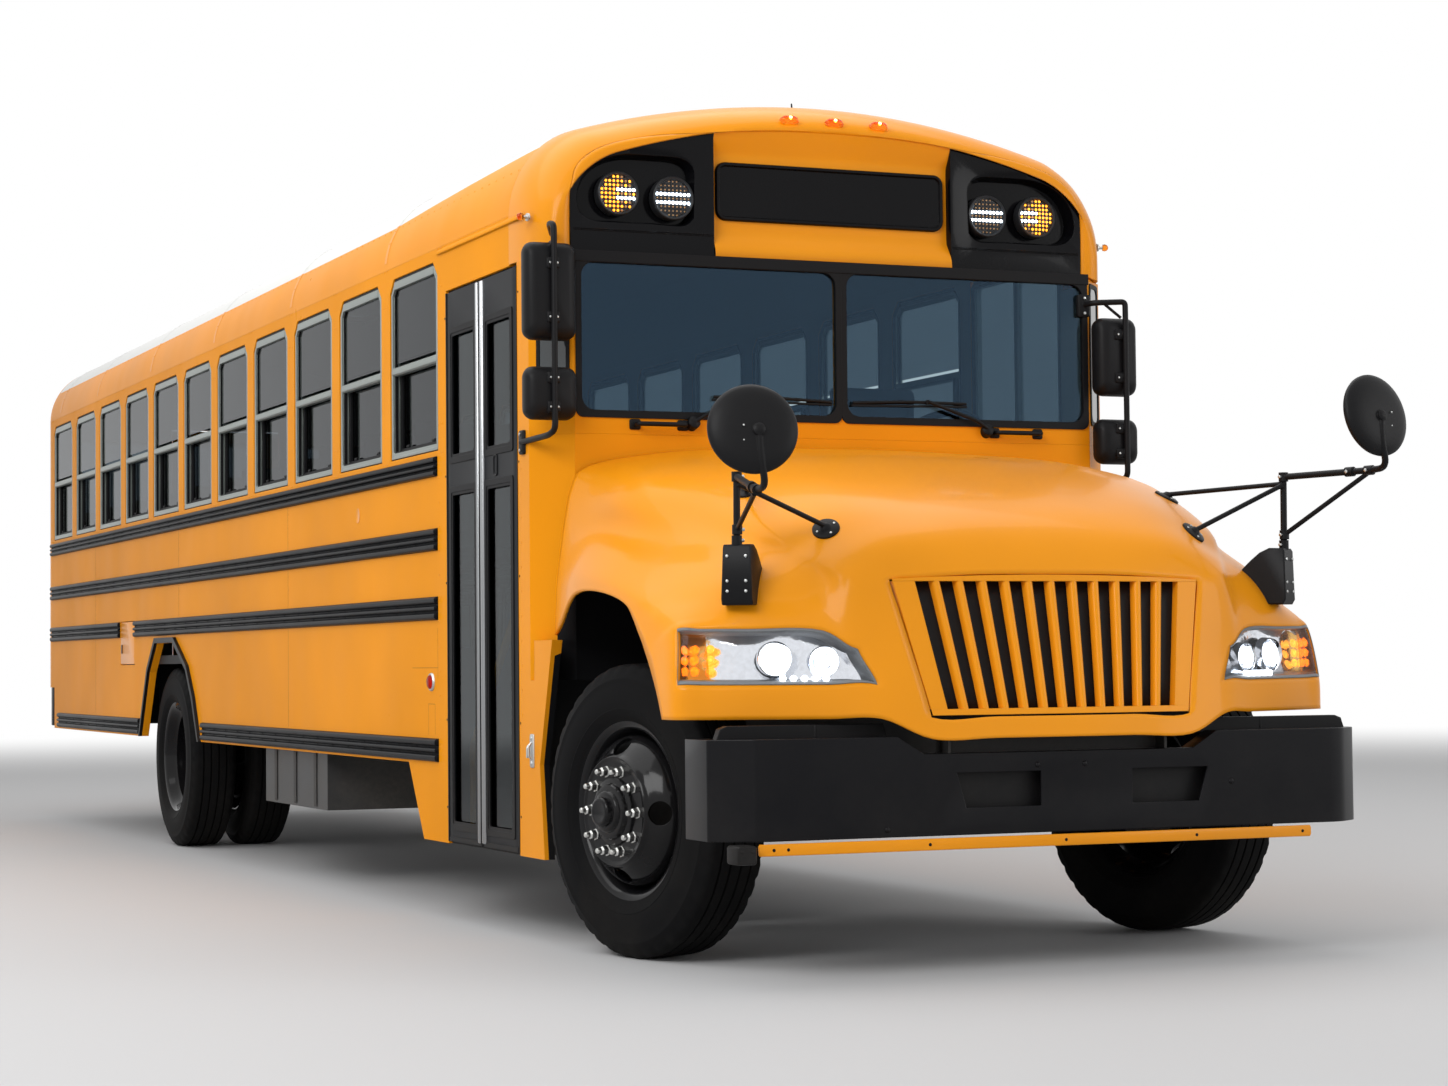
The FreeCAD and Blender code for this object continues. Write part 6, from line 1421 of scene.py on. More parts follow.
FRONT_HUB = ((0.150, 0.118), (0.172, 0.118), (0.176, 0.116), (0.178, 0.108), (0.180, 0.098), (0.190, 0.095),
             (0.196, 0.091), (0.198, 0.082), (0.198, 0.074), (0.206, 0.071), (0.210, 0.066), (0.211, 0.053),
             (0.228, 0.051), (0.233, 0.047), (0.2345, 0.040), (0.2335, 0.034), (0.233, 0))
REAR_HUB = ((-0.30, 0.150), (-0.150, 0.150), (-0.146, 0.132), (-0.135, 0.118), (-0.110, 0.110),
            (-0.060, 0.104), (-0.052, 0.100), (-0.050, 0.096), (-0.050, 0.088), (-0.040, 0.086),
            (-0.022, 0.084), (-0.018, 0.078), (-0.016, 0.030), (-0.015, 0))
nut_metal = plastic("nut_steel", (0.62, 0.62, 0.60), 0.22, dust=0.1, metal=1.0, shine=0.5)
wheel_gloss = plastic("wheel_enamel", (0.0045, 0.0045, 0.0055), 0.14, dust=0.04, coat=0.14, grain=40.0,
                      deep=0.0003, shine=0.14)


def closed_turn(bm, line, middle, direction):
    """A closed cross-section turned round the axle."""
    aside, beside = Vector((0, 0, 1)), direction.cross(Vector((0, 0, 1)))
    loops = [[bm.verts.new(spot) for spot in round_points(middle + direction * along, aside, beside,
                                                          radius, DISC_SIDES)] for along, radius in line]
    faces = []
    for first, second in zip(loops, loops[1:] + loops[:1]):
        for side in range(DISC_SIDES):
            after = (side + 1) % DISC_SIDES
            faces.append(bm.faces.new((first[side], first[after], second[after], second[side])))
    bmesh.ops.recalc_face_normals(bm, faces=faces)


def rim_piece(name, middle, direction, dish, body, replaced, hub=None):
    """A wheel: barrel, disc with its hand holes, nuts and hub; dish is 1 for outward and -1 for inward."""
    aside, beside = Vector((0, 0, 1)), direction.cross(Vector((0, 0, 1)))
    bm = bmesh.new()
    closed_turn(bm, [(along * dish, radius) for along, radius in DISC], middle, direction)
    disc = built(name + "_disc", bm, wheel_gloss, body, 40)
    tool = bmesh.new()
    for hole in range(HAND_HOLES):
        turn = math.tau * hole / HAND_HOLES
        out = aside * math.cos(turn) + beside * math.sin(turn)
        spot = middle + direction * HOLE_ALONG * dish + out * HOLE_AT
        turned_into(tool, ((-0.10, HOLE_ROUND), (0.10, HOLE_ROUND)), spot, direction * dish + out * 0.75, 28)
    cut_by(disc, tool)
    disc.data.shade_smooth()
    disc.data.set_sharp_from_angle(angle=math.radians(40))
    bm = bmesh.new()
    closed_turn(bm, BARREL, middle, direction)
    if hub:
        turned_into(bm, hub, middle, direction, 56)
    built(name + "_barrel", bm, wheel_gloss, body, 40, replaced)
    if hub:
        bm = bmesh.new()
        for nut in range(NUTS):
            turn = math.tau * (nut + 0.5) / NUTS
            spot = middle + direction * NUT_SEAT * dish + (aside * math.cos(turn) + beside
                                                           * math.sin(turn)) * NUT_CIRCLE
            base = 0.0 if dish > 0 else 0.010
            turned_into(bm, ((base, 0.021), (base + 0.004, 0.021), (base + 0.005, 0.0175),
                             (base + 0.024, 0.0165), (base + 0.027, 0.0135), (base + 0.028, 0.0105)),
                        spot, direction, 6)
            turned_into(bm, ((base + 0.026, 0.0105), (base + 0.042, 0.0105), (base + 0.046, 0.008),
                             (base + 0.047, 0)), spot, direction, 14)
        built(name + "_nuts", bm, nut_metal, body, 35)


STEER, FRONT_AXLE, REAR_AXLE = math.radians(13), 1.070, 8.200
KNUCKLE_OUT, STUB, OUTER_TYRE, INNER_TYRE = 0.900, 0.135, 1.035, 0.700
for side, name in ((1, "left"), (-1, "right")):
    direction = Vector((side * math.cos(STEER), side * math.sin(STEER), 0)).normalized()
    middle = here(side * KNUCKLE_OUT, FRONT_AXLE, AXLE_UP) + direction * STUB
    bm = bmesh.new()
    tyre_into(bm, middle, direction)
    body = "front_%s_wheel" % name
    built("front_%s_tyre_rubber" % name, bm, rubber, body, 40, ["front_%s_tyre" % name])
    rim_piece("front_%s" % name, middle, direction, 1, body, ["front_%s_wheel" % name], FRONT_HUB)
    direction = Vector((side, 0, 0))
    body = "rear_%s_wheels" % name
    outer, inner = [here(side * out, REAR_AXLE, AXLE_UP) for out in (OUTER_TYRE, INNER_TYRE)]
    bm = bmesh.new()
    tyre_into(bm, outer, direction)
    tyre_into(bm, inner, direction)
    built("rear_%s_tyres_rubber" % name, bm, rubber, body, 40, ["rear_%s_tyres" % name])
    rim_piece("rear_%s_outer" % name, outer, direction, -1, body, ["rear_%s_wheels" % name], REAR_HUB)
    rim_piece("rear_%s_inner" % name, inner, direction, 1, body, ())

# ---------------------------------------------------------------- side windows
# Split sashes of aluminium extrusion in every opening: a fixed upper pane near the outside, a lower sash that
# slides up behind it, dark seals round both, all of dark tinted safety glass.
alloy = plastic("window_alloy", (0.27, 0.30, 0.28), 0.36, dust=0.25, grain=90.0, deep=0.0002,
                metal=0.7, shine=0.5)
dark_glass = glass("side_glass", (0.10, 0.125, 0.145), bend=1.16)
WINDOW_FIRST, WINDOW_PITCH, WINDOW_WIDE, WINDOW_COUNT = 2.925, 0.8097, 0.680, 11
WINDOW_LOW, WINDOW_HIGH, WINDOW_SPLIT, CORNER_CUT = 1.893, 2.670, 2.273, 0.060


def window_line(front, back, low, high, cut, inset=0.0):
    """An opening's outline with its two upper corners cut off."""
    front, back, low, high, cut = front + inset, back - inset, low + inset, high - inset, max(cut - inset
                                                                                              * 0.6, 0.004)
    return [(front, low + 0.004), (front + 0.004, low), (back - 0.004, low), (back, low + 0.004),
            (back, high - cut), (back - cut, high), (front + cut, high), (front, high - cut)]


def bar_into(bm, side, front, back, section, material=0):
    """A bar along the body from a section of (out, up)."""
    loops = [[here(side * out, station, up) for out, up in section] for station in (front, back)]
    loops_into(bm, loops, material=material)


bm, glass_bm = bmesh.new(), bmesh.new()
for side in (-1, 1):
    def on_side(a, b, depth):
        """A place on the side, from its station and height and how far out it is."""
        return here(side * depth, a, b)

    for window in range(WINDOW_COUNT):
        front = WINDOW_FIRST + window * WINDOW_PITCH
        back = front + WINDOW_WIDE
        edge = (front, back, WINDOW_LOW, WINDOW_HIGH, CORNER_CUT)
        frame_into(bm, window_line(*edge, 0.001), window_line(*edge, 0.014), 1.182, 1.2145, on_side, 1)
        frame_into(bm, window_line(*edge, 0.012), window_line(*edge, 0.030), 1.184, 1.2175, on_side)
        frame_into(bm, window_line(*edge, 0.030), window_line(*edge, 0.038), 1.196, 1.2085, on_side, 1)
        bar_into(bm, side, front + 0.060, back - 0.060, ((1.196, 2.622), (1.2185, 2.624), (1.2195, 2.640),
                                                         (1.2185, 2.656), (1.196, 2.657)))
        bar_into(bm, side, front + 0.014, back - 0.014, ((1.186, 2.256), (1.210, 2.256), (1.2175, 2.262),
                                                         (1.2190, 2.274), (1.2175, 2.286), (1.210, 2.292),
                                                         (1.186, 2.292)))
        bar_into(bm, side, front + 0.014, back - 0.014, ((1.172, 1.898), (1.219, 1.898), (1.219, 1.908),
                                                         (1.205, 1.916), (1.200, 1.930), (1.172, 1.930)))
        # the lower sash behind: dark uprights, its own rails and the dark channel it slides in
        inner = (front + 0.030, back - 0.030, 1.928, 2.262)
        for a, b in ((inner[0], inner[0] + 0.030), (inner[1] - 0.030, inner[1])):
            box_into(bm, (FRONT + a, FRONT + b), inner[2:], (side * 1.168, side * 1.186), "x", 1)
        bar_into(bm, side, inner[0], inner[1], ((1.166, 1.926), (1.186, 1.926), (1.188, 1.935),
                                                (1.186, 1.944), (1.166, 1.944)), 1)
        high_pane = [(FRONT + a, b) for a, b in window_line(front, back, WINDOW_SPLIT,
                                                            WINDOW_HIGH, CORNER_CUT, 0.034)]
        prism_into(glass_bm, high_pane, side * 1.2005, side * 1.2045, "x")
        box_into(glass_bm, (FRONT + (inner[0] + 0.028), FRONT + (inner[1] - 0.028)), (1.942, 2.266),
                 (side * 1.172, side * 1.176), "x")
        # the latches at the foot of the sliding sash
        for station in (front + 0.16, back - 0.16):
            bar_into(bm, side, station - 0.02, station + 0.02, ((1.186, 1.944), (1.192, 1.944),
                                                                (1.192, 1.952), (1.186, 1.956)), 1)
DRIVER_FRONT, DRIVER_BACK = 2.040, 2.830
edge = (DRIVER_FRONT, DRIVER_BACK, WINDOW_LOW, WINDOW_HIGH, 0.03)
frame_into(bm, window_line(*edge, 0.001), window_line(*edge, 0.016), 1.182, 1.2160, on_side, 1)
frame_into(bm, window_line(*edge, 0.014), window_line(*edge, 0.034), 1.184, 1.2180, on_side)
meeting = FRONT + 2.425
box_into(bm, (meeting, meeting + 0.030), (1.90, 2.66), (1.188, 1.2165), "x")
for front, back, out in ((DRIVER_FRONT + 0.030, 2.435, 1.203), (2.440, DRIVER_BACK - 0.030, 1.193)):
    box_into(glass_bm, (FRONT + front, FRONT + back), (1.922, 2.641), (out - 0.002, out + 0.002), "x")
edged(built("side_window_sashes", bm, alloy, "body", 35, ["window_frames"],
            (seal_black,)), 0.0012, 1)
built("side_window_panes", glass_bm, dark_glass, "body", 30)

# ---------------------------------------------------------------- rub rails and arch trims
# Rolled steel rails with three ribs, painted black and riveted along the sides; the rear arches have a
# black folded trim with a rubber mud flap behind.
RIB_LINE = ((0.0, 0.001), (0.015, 0.009), (0.06, 0.0150), (0.11, 0.0178), (0.22, 0.0178), (0.27, 0.0150),
            (0.30, 0.0070), (0.33, 0.0045), (0.37, 0.0045), (0.40, 0.0070), (0.43, 0.0150), (0.47, 0.0176),
            (0.53, 0.0176), (0.57, 0.0150), (0.60, 0.0070), (0.63, 0.0045), (0.67, 0.0045), (0.70, 0.0070),
            (0.73, 0.0150), (0.78, 0.0178), (0.89, 0.0178), (0.94, 0.0150), (0.985, 0.009), (1.0, 0.001))
RAILS = ((1.789, 0.082, 2.937, 11.780), (1.486, 0.092, 2.937, 11.780), (1.203, 0.096, 2.937, 8.987),
         (1.203, 0.096, 9.430, 11.780), (0.626, 0.095, 2.937, 7.206), (0.626, 0.095, 8.835, 11.520))
rail_black = plastic("rail_enamel", (0.006, 0.0065, 0.008), 0.30, dust=0.04, coat=0.01, shine=0.03)


def dome_into(bm, spot, direction, radius, proud):
    """A rivet's or bolt's low round head."""
    turned_into(bm, ((-0.0006, radius), (proud * 0.35, radius * 0.96), (proud * 0.8, radius * 0.62),
                     (proud, 0)), spot, direction, 8)


bm, rivet_bm = bmesh.new(), bmesh.new()
for side in (-1, 1):
    for low, tall, front, back in RAILS:
        loops = []
        for station, share in ((front, 0.4), (front + 0.006, 1.0), (back - 0.006, 1.0), (back, 0.4)):
            loops.append([here(side * (BODY_HALF - 0.001 + out * share), station, low + tall * up)
                          for up, out in RIB_LINE])
        loops_into(bm, loops, closed=False)
        count = round((back - front) / 0.27)
        for place_along in range(count + 1):
            station = front + 0.03 + (back - front - 0.06) * place_along / count
            for up in (0.35, 0.65):
                dome_into(rivet_bm, here(side * (BODY_HALF + 0.0030), station, low + tall * up),
                          (side, 0, 0), 0.0042, 0.003)
built("rub_rails_ribbed", bm, rail_black, "body", 25, ["rub_rails"])
built("rub_rail_rivets", rivet_bm, rail_black, "body")
dressed(["wheel_flares"], grained, 0.006, 3)

# ---------------------------------------------------------------- side sheet details
# The painted side sheets are riveted and lapped over the bows; a round lamp, a small access flap and
# the fuel door sit in them, and short-stemmed marker lamps stand above the door and driver's window.
outline_half = crown_half(0.0, 0.0)


def on_outline(height):
    """How far out the body is at a height, and its outward direction there."""
    for (x0, z0), (x1, z1) in zip(outline_half, outline_half[1:]):
        if z1 <= height <= z0 and z0 > z1:
            share = (z0 - height) / (z0 - z1)
            return x0 + (x1 - x0) * share, Vector((z0 - z1, 0, x1 - x0)).normalized()
    return BODY_HALF, Vector((1, 0, 0))


bm, seam_bm = bmesh.new(), bmesh.new()
for side in (-1, 1):
    out, direction = on_outline(2.905)
    direction.x *= side
    for place_along in range(108):
        dome_into(bm, here(side * out, 2.05 + place_along * 0.09, 2.905), direction, 0.0045, 0.0022)
    for window in range(WINDOW_COUNT + 1):
        station = WINDOW_FIRST - (WINDOW_PITCH - WINDOW_WIDE) / 2 + window * WINDOW_PITCH
        station = max(station, 2.895)
        for up in (1.882, 2.715, 2.000, 2.560):
            for aside in (-0.022, 0.022):
                dome_into(bm, here(side * BODY_HALF, station + aside, up), (side, 0, 0), 0.0045, 0.0022)
    for up in range(12):
        dome_into(bm, here(side * BODY_HALF, 2.918, 0.70 + up * 0.098), (side, 0, 0), 0.0045, 0.0022)
        dome_into(bm, here(side * BODY_HALF, 1.895, 0.74 + up * 0.092), (side, 0, 0), 0.0040, 0.0020)
        dome_into(bm, here(side * BODY_HALF, 11.80, 0.95 + up * 0.085), (side, 0, 0), 0.0045, 0.0022)
    for station in (5.355, 7.783, 10.212):
        for low, high in ((1.300, 1.480), (1.582, 1.786), (0.725 if station < 7 or station > 9
                                                           else 1.24, 1.198)):
            if high > low:
                box_into(seam_bm, (FRONT + station, FRONT + station + 0.0016), (low, high),
                         (side * 1.2195, side * 1.2203), "x")
                for share in range(3):
                    dome_into(bm, here(side * BODY_HALF, station - 0.014, low + (high - low)
                                       * (share + 0.5) / 3), (side, 0, 0), 0.004, 0.002)
    # the fine lines of the access flap and of the sheet's joint below it
    for a0, a1, b0, b1 in ((2.944, 2.9456, 0.965, 1.17), (2.944, 3.30, 1.008, 1.0094),
                           (2.985, 2.9864, 0.735, 0.86), (3.075, 3.0764, 0.735, 0.86),
                           (2.985, 3.0764, 0.86, 0.8614)):
        box_into(seam_bm, (FRONT + a0, FRONT + a1), (b0, b1), (side * 1.2195, side * 1.2202), "x")
    turned_into(bm, ((-0.001, 0.034), (0.0015, 0.033), (0.002, 0.030), (0.001, 0.028), (0.0016, 0)),
                here(side * BODY_HALF, 4.119, 1.686), (side, 0, 0), 32)
built("side_sheet_rivets", bm, yellow, "body", 50)
seam_tone = plastic("seam_shadow", (0.20, 0.075, 0.006), 0.6, dust=0.1)
built("side_sheet_seams", seam_bm, seam_tone, "body", 50)

side_red = lens_glass("red_lens", (0.75, 0.03, 0.02), 0.06, 150.0)
bm, ring_bm = bmesh.new(), bmesh.new()
for side in (-1, 1):
    spot = here(side * BODY_HALF, 3.027, 0.951)
    turned_into(ring_bm, ((-0.001, 0.038), (0.006, 0.037), (0.009, 0.034), (0.009, 0.030),
                          (0.005, 0.029)), spot, (side, 0, 0), 36, caps=False)
    turned_into(bm, ((0.004, 0.0295), (0.012, 0.028), (0.018, 0.021), (0.0205, 0.011), (0.021, 0)), spot,
                (side, 0, 0), 32, 0, False)
    spot = here(side * 1.219, 1.800, 2.685)
    turned_into(ring_bm, ((-0.002, 0.016), (0.004, 0.015), (0.006, 0.007), (0.024, 0.006)), spot,
                (side, -0.2, 0), 20, caps=False)
    turned_into(bm, ((0.022, 0.006), (0.024, 0.013), (0.032, 0.0145), (0.040, 0.012), (0.045, 0.006),
                     (0.046, 0)), spot, (side, -0.2, 0), 24, 1, False)
built("side_lamp_rings", ring_bm, metal, "body", 40)
built("side_lamp_lenses", bm, side_red, "body", 60, (), (amber_lens,))

# the fuel door: a flush flap with rounded corners, a recessed latch and a folded hinge edge
low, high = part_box("fuel_door")
middle = (low + high) / 2
bm = bmesh.new()
pressed_into(bm, rounded((high.y - low.y) / 2, (high.z - low.z) / 2, 0.016, 5),
             ((high.x, 1), (low.x + 0.002, 1), (low.x, 0.985)),
             lambda a, b, out: Vector((out, middle.y + a, middle.z + b)))
for up in (-0.08, 0.08):
    dome_into(bm, Vector((low.x, low.y + 0.02, middle.z + up)), (-1, 0, 0), 0.005, 0.002)
built("fuel_door_flap", bm, yellow, "fuel_door", 40, ["fuel_door"])
bm = bmesh.new()
pressed_into(bm, rounded(0.016, 0.028, 0.010), ((-0.003, 1), (0.0015, 1), (0.0025, 0.9)),
             lambda a, b, lift: Vector((low.x - lift, high.y - 0.040 + a, middle.z - 0.035 + b)))
built("fuel_door_latch", bm, grained, "fuel_door", 40)

# ---------------------------------------------------------------- entry doors
# Two aluminium leaves painted dark grey, each with two panes in black rubber; bright strips with a rubber
# seal between them close the middle, and a small pull is let into the front leaf.
leaf_grey = plastic("door_grey", (0.013, 0.014, 0.016), 0.36, dust=0.04, coat=0.01, shine=0.04)
door_glass = glass("door_glass", (0.20, 0.26, 0.27), bend=1.16)
bright_strip = plastic("bright_strip", (0.36, 0.37, 0.38), 0.24, dust=0.08, metal=1.0, shine=0.5)
ROW_HEIGHTS = (0.375, 1.720, 1.840, 2.360)
for name, ahead, behind in (("front", 0.055, 0.055), ("rear", 0.060, 0.045)):
    body, leaf_node = "entry_door_" + name, "entry_door_%s_leaf" % name
    low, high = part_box(leaf_node)
    columns = (low.y, low.y + ahead, high.y - behind, high.y)
    rows = (low.z, *ROW_HEIGHTS, high.z)
    bm = bmesh.new()
    grid_into(bm, [[Vector((low.x, y, z)) for y in columns] for z in rows],
              lambda row, column: column == 1 and row in (1, 3))
    bmesh.ops.recalc_face_normals(bm, faces=bm.faces)
    if next(iter(bm.faces)).normal.x > 0:
        bmesh.ops.reverse_faces(bm, faces=bm.faces)
    edged(thick(built(leaf_node + "_panel", bm, leaf_grey, body, 30, [leaf_node]),
                high.x - low.x), 0.004, 3, 30)
    bm, strip_bm = bmesh.new(), bmesh.new()
    for z0, z1 in ((ROW_HEIGHTS[0], ROW_HEIGHTS[1]), (ROW_HEIGHTS[2], ROW_HEIGHTS[3])):
        middle_y, middle_z = (columns[1] + columns[2]) / 2, (z0 + z1) / 2
        half_y, half_z = (columns[2] - columns[1]) / 2, (z1 - z0) / 2
        for grow, shrink, lift in ((0.014, 0.010, 0.0035), (-0.004, 0.022, 0.001)):
            outer = rounded(half_y + grow, half_z + grow, 0.016)
            inner = rounded(half_y - shrink, half_z - shrink, 0.012)
            frame_into(bm, outer, inner, 0.004, -lift,
                       lambda a, b, depth: Vector((low.x + depth, middle_y + a, middle_z + b)))
    edge_at = high.y if name == "front" else low.y
    inward = -1 if name == "front" else 1
    strips = (0.014, 0.038) if name == "front" else (0.004, 0.026)
    section = ((strips[0], 0.0), (strips[0] + 0.001, 0.008), (strips[0] + 0.006, 0.013),
               (sum(strips) / 2, 0.0155), (strips[1] - 0.006, 0.013), (strips[1] - 0.001, 0.008),
               (strips[1], 0.0))
    loops = []
    for z, part in ((low.z + 0.012, 0.6), (low.z + 0.016, 1), (high.z - 0.010, 1), (high.z - 0.006, 0.6)):
        loops.append([Vector((low.x - out * part, edge_at + inward * y, z)) for y, out in section])
    loops_into(strip_bm, loops)
    seal = ((0.0, 0.0), (0.0, 0.006), (strips[0] * 0.5, 0.0085), (strips[0], 0.006), (strips[0], 0.0))
    loops_into(bm, [[Vector((low.x - out, edge_at + inward * y, z)) for y, out in seal]
                    for z in (low.z + 0.012, high.z - 0.006)])
    # the rubber along the hinge side, and the sweep along the foot
    hinge_at = low.y if name == "front" else high.y
    for y0, y1, z0, z1 in ((hinge_at - inward * 0.001, hinge_at + inward * 0.010, low.z, high.z),
                           (low.y + 0.01, high.y - 0.01, low.z, low.z + 0.020)):
        box_into(bm, (y0, y1), (z0, z1), (low.x - 0.0025, low.x + 0.004), "x")
    built(body + "_seals", bm, seal_black, body, 40)
    built(body + "_strip", strip_bm, bright_strip, body, 40)
    bm = bmesh.new()
    for up in (0.45, 0.80, 1.35, 1.78, 2.42):
        dome_into(bm, Vector((low.x, hinge_at + inward * 0.024, up)), (-1, 0, 0), 0.005, 0.0022)
    if name == "front":
        spot = Vector((low.x, 0, 0)) + Vector((0, here(0, 2.190, 0).y, 1.785))
        pressed_into(bm, rounded(0.022, 0.042, 0.014), ((-0.002, 1), (0.003, 1), (0.004, 0.92),
                                                        (0.001, 0.80), (-0.006, 0.74)),
                     lambda a, b, lift: spot + Vector((-lift, a, b)))
    built(body + "_pull_and_screws", bm, grained, body, 40)
dressed(["entry_door_front_glass", "entry_door_rear_glass"], door_glass)

# the doorway's dark rubber round both leaves, on the body
bm = bmesh.new()
front, back, low_z, high_z = 1.9305, 2.8095, 0.306, 2.5295
outer = [(front, low_z), (back, low_z), (back, high_z), (front, high_z)]
inner = [(front + 0.006, low_z + 0.005), (back - 0.006, low_z + 0.005), (back - 0.006, high_z - 0.005),
         (front + 0.006, high_z - 0.005)]
frame_into(bm, outer, inner, 1.178, 1.206, lambda a, b, depth: here(-depth, a, b))
built("doorway_rubber", bm, seal_black, "body", 40)
# the drip moulding over the doorway and over the driver's window
bm = bmesh.new()
for side in (-1, 1):
    bar_into(bm, side, 1.86, 2.91, ((1.2195, 2.694), (1.2275, 2.690), (1.2290, 2.693), (1.2275, 2.703),
                                    (1.2195, 2.712)))
built("drip_mouldings", bm, side_paint, "body", 40)
# the latch that holds the hood down, low on each side of the cowl
bm = bmesh.new()
for side in (-1, 1):
    spot = here(side * 1.2195, 1.781, 0.700)
    pressed_into(bm, rounded(0.020, 0.062, 0.006, 3), ((0, 1), (0.004, 1), (0.006, 0.93)),
                 lambda a, b, lift: spot + Vector((side * lift, a, b)))
    for up in (-0.046, 0.046):
        dome_into(bm, spot + Vector((side * 0.006, 0, up)), (side, 0, 0), 0.008, 0.005)
    tube_into(bm, [spot + Vector((side * 0.010, -0.012, 0.030)),
                   spot + Vector((side * 0.020, -0.012, 0.020)),
                   spot + Vector((side * 0.020, -0.012, -0.020)),
                   spot + Vector((side * 0.010, -0.012, -0.030))], 0.0045, 10, 0.01)
    tube_into(bm, [spot + Vector((side * 0.010, 0.012, 0.022)), spot + Vector((side * 0.018, 0.012, 0.012)),
                   spot + Vector((side * 0.018, 0.012, -0.026))], 0.0045, 10, 0.008)
built("hood_latches", bm, metal, "body", 40)

# ---------------------------------------------------------------- roof
# The crown's sheets lap over the bows in riveted seams; two hinged escape hatches of moulded plastic and
# a short antenna stand on it.
SEAM_FOOT = 2.74
full_outline = [(-x, z) for x, z in reversed(outline_half)] + list(outline_half[1:])
crown_part = [(x, z) for x, z in full_outline if z > SEAM_FOOT]
bm = bmesh.new()
for station in (3.67, 5.29, 6.91, 8.53, 10.15, 11.45):
    lines = []
    for aside, lift in ((-0.018, 0.0), (-0.0175, 0.0014), (0.0175, 0.0014), (0.018, 0.0)):
        line = []
        for x, z in crown_part:
            outward = Vector((x, 0, (z - 1.9) * 1.6)).normalized()
            line.append(here(x, station + aside, z) + outward * (lift + 0.0004))
        lines.append(line)
    grid_into(bm, lines)
    for place_along in range(3, len(crown_part) - 3, 2):
        x, z = crown_part[place_along]
        outward = Vector((x, 0, (z - 1.9) * 1.6)).normalized()
        dome_into(bm, here(x, station, z) + outward * 0.0016, outward, 0.0045, 0.002)
bmesh.ops.recalc_face_normals(bm, faces=bm.faces)
built("roof_seams", bm, roof_paint, "body", 40)

hatch_plastic = plastic("hatch_plastic", (0.52, 0.53, 0.52), 0.45, dust=0.5, shine=0.4)
for hatch in ("roof_hatch_front", "roof_hatch_rear"):
    low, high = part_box(hatch)
    middle = (low + high) / 2
    half = (high - low) / 2
    bm = bmesh.new()
    loops = []
    for z, inset in ((low.z, 0.010), (low.z, 0.0), (low.z + 0.020, 0.0), (low.z + 0.026, 0.004),
                     (low.z + 0.030, 0.012), (low.z + 0.033, 0.050), (low.z + 0.034, 0.070),
                     (low.z + 0.039, 0.078), (high.z - 0.002, 0.095), (high.z, 0.140)):
        loops.append([Vector((middle.x + a, middle.y + b, z))
                      for a, b in rounded(half.x - inset, half.y - inset, 0.07 - inset * 0.3)])
    loops_into(bm, loops)
    built(hatch + "_lid", bm, hatch_plastic, hatch, 40, [hatch])
    bm = bmesh.new()
    for a in (-0.2, 0.2):
        for b in (-0.255, 0.255):
            dome_into(bm, Vector((middle.x + a, middle.y + b, low.z + 0.0305)), (0, 0, 1), 0.008, 0.004)
    built(hatch + "_screws", bm, metal, hatch, 40)
    bm = bmesh.new()
    frame_into(bm, rounded(half.x - 0.016, half.y - 0.016, 0.06),
               rounded(half.x - 0.045, half.y - 0.045, 0.04), 3.165, low.z - 0.006,
               lambda a, b, depth: Vector((middle.x + a, middle.y + b, depth)))
    built(hatch + "_curb", bm, seal_black, "body", 40)
bm = bmesh.new()
turned_into(bm, ((-0.012, 0.020), (0.003, 0.019), (0.009, 0.012), (0.012, 0.006), (0.020, 0.004),
                 (0.050, 0.003), (0.052, 0)), here(0, 2.09, 3.196), (0, 0.15, 1), 20)
built("antenna", bm, grained, "body", 40)

# ---------------------------------------------------------------- rear
# The flat rear wall holds an escape door with two panes, a window on each side, round lamps in black
# rubber rings and a folded steel bumper that wraps the corners.
REAR_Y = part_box("rear_wall")[1].y
BACKWARD = Vector((0, 1, 0))
low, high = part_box("rear_door")
columns = (low.x, -0.295, 0.295, high.x)
rows = (low.z, 1.300, 1.720, 1.893, 2.593, high.z)
bm = bmesh.new()
grid_into(bm, [[Vector((x, high.y, z)) for x in columns] for z in rows], lambda row, column: column == 1
          and row in (1, 3))
bmesh.ops.recalc_face_normals(bm, faces=bm.faces)
if next(iter(bm.faces)).normal.y < 0:
    bmesh.ops.reverse_faces(bm, faces=bm.faces)
edged(thick(built("rear_door_panel", bm, yellow, "rear_door", 30, ["rear_door"]),
            high.y - low.y), 0.004, 3, 30)


def seal_round(bm, x, z, half_x, half_z, y):
    """A rubber ring round an opening in the rear wall."""
    for grow, shrink, lift in ((0.012, 0.016, 0.006), (0.004, 0.026, 0.002)):
        frame_into(bm, rounded(half_x + grow, half_z + grow, 0.03),
                   rounded(half_x - shrink, half_z - shrink, 0.021), -0.012, lift,
                   lambda a, b, depth: Vector((x + a, y + depth, z + b)))


door_bm, wall_bm, pane_bm, bolt_bm = bmesh.new(), bmesh.new(), bmesh.new(), bmesh.new()
for z0, z1 in ((1.300, 1.720), (1.893, 2.593)):
    seal_round(door_bm, 0, (z0 + z1) / 2, 0.295, (z1 - z0) / 2, high.y)
for side in (-1, 1):
    seal_round(wall_bm, side * 0.780, 2.243, 0.280, 0.350, REAR_Y)
    prism_into(pane_bm, [(side * 0.780 + a, 2.243 + b) for a, b in rounded(0.270, 0.340, 0.03)],
               REAR_Y - 0.018, REAR_Y - 0.012)
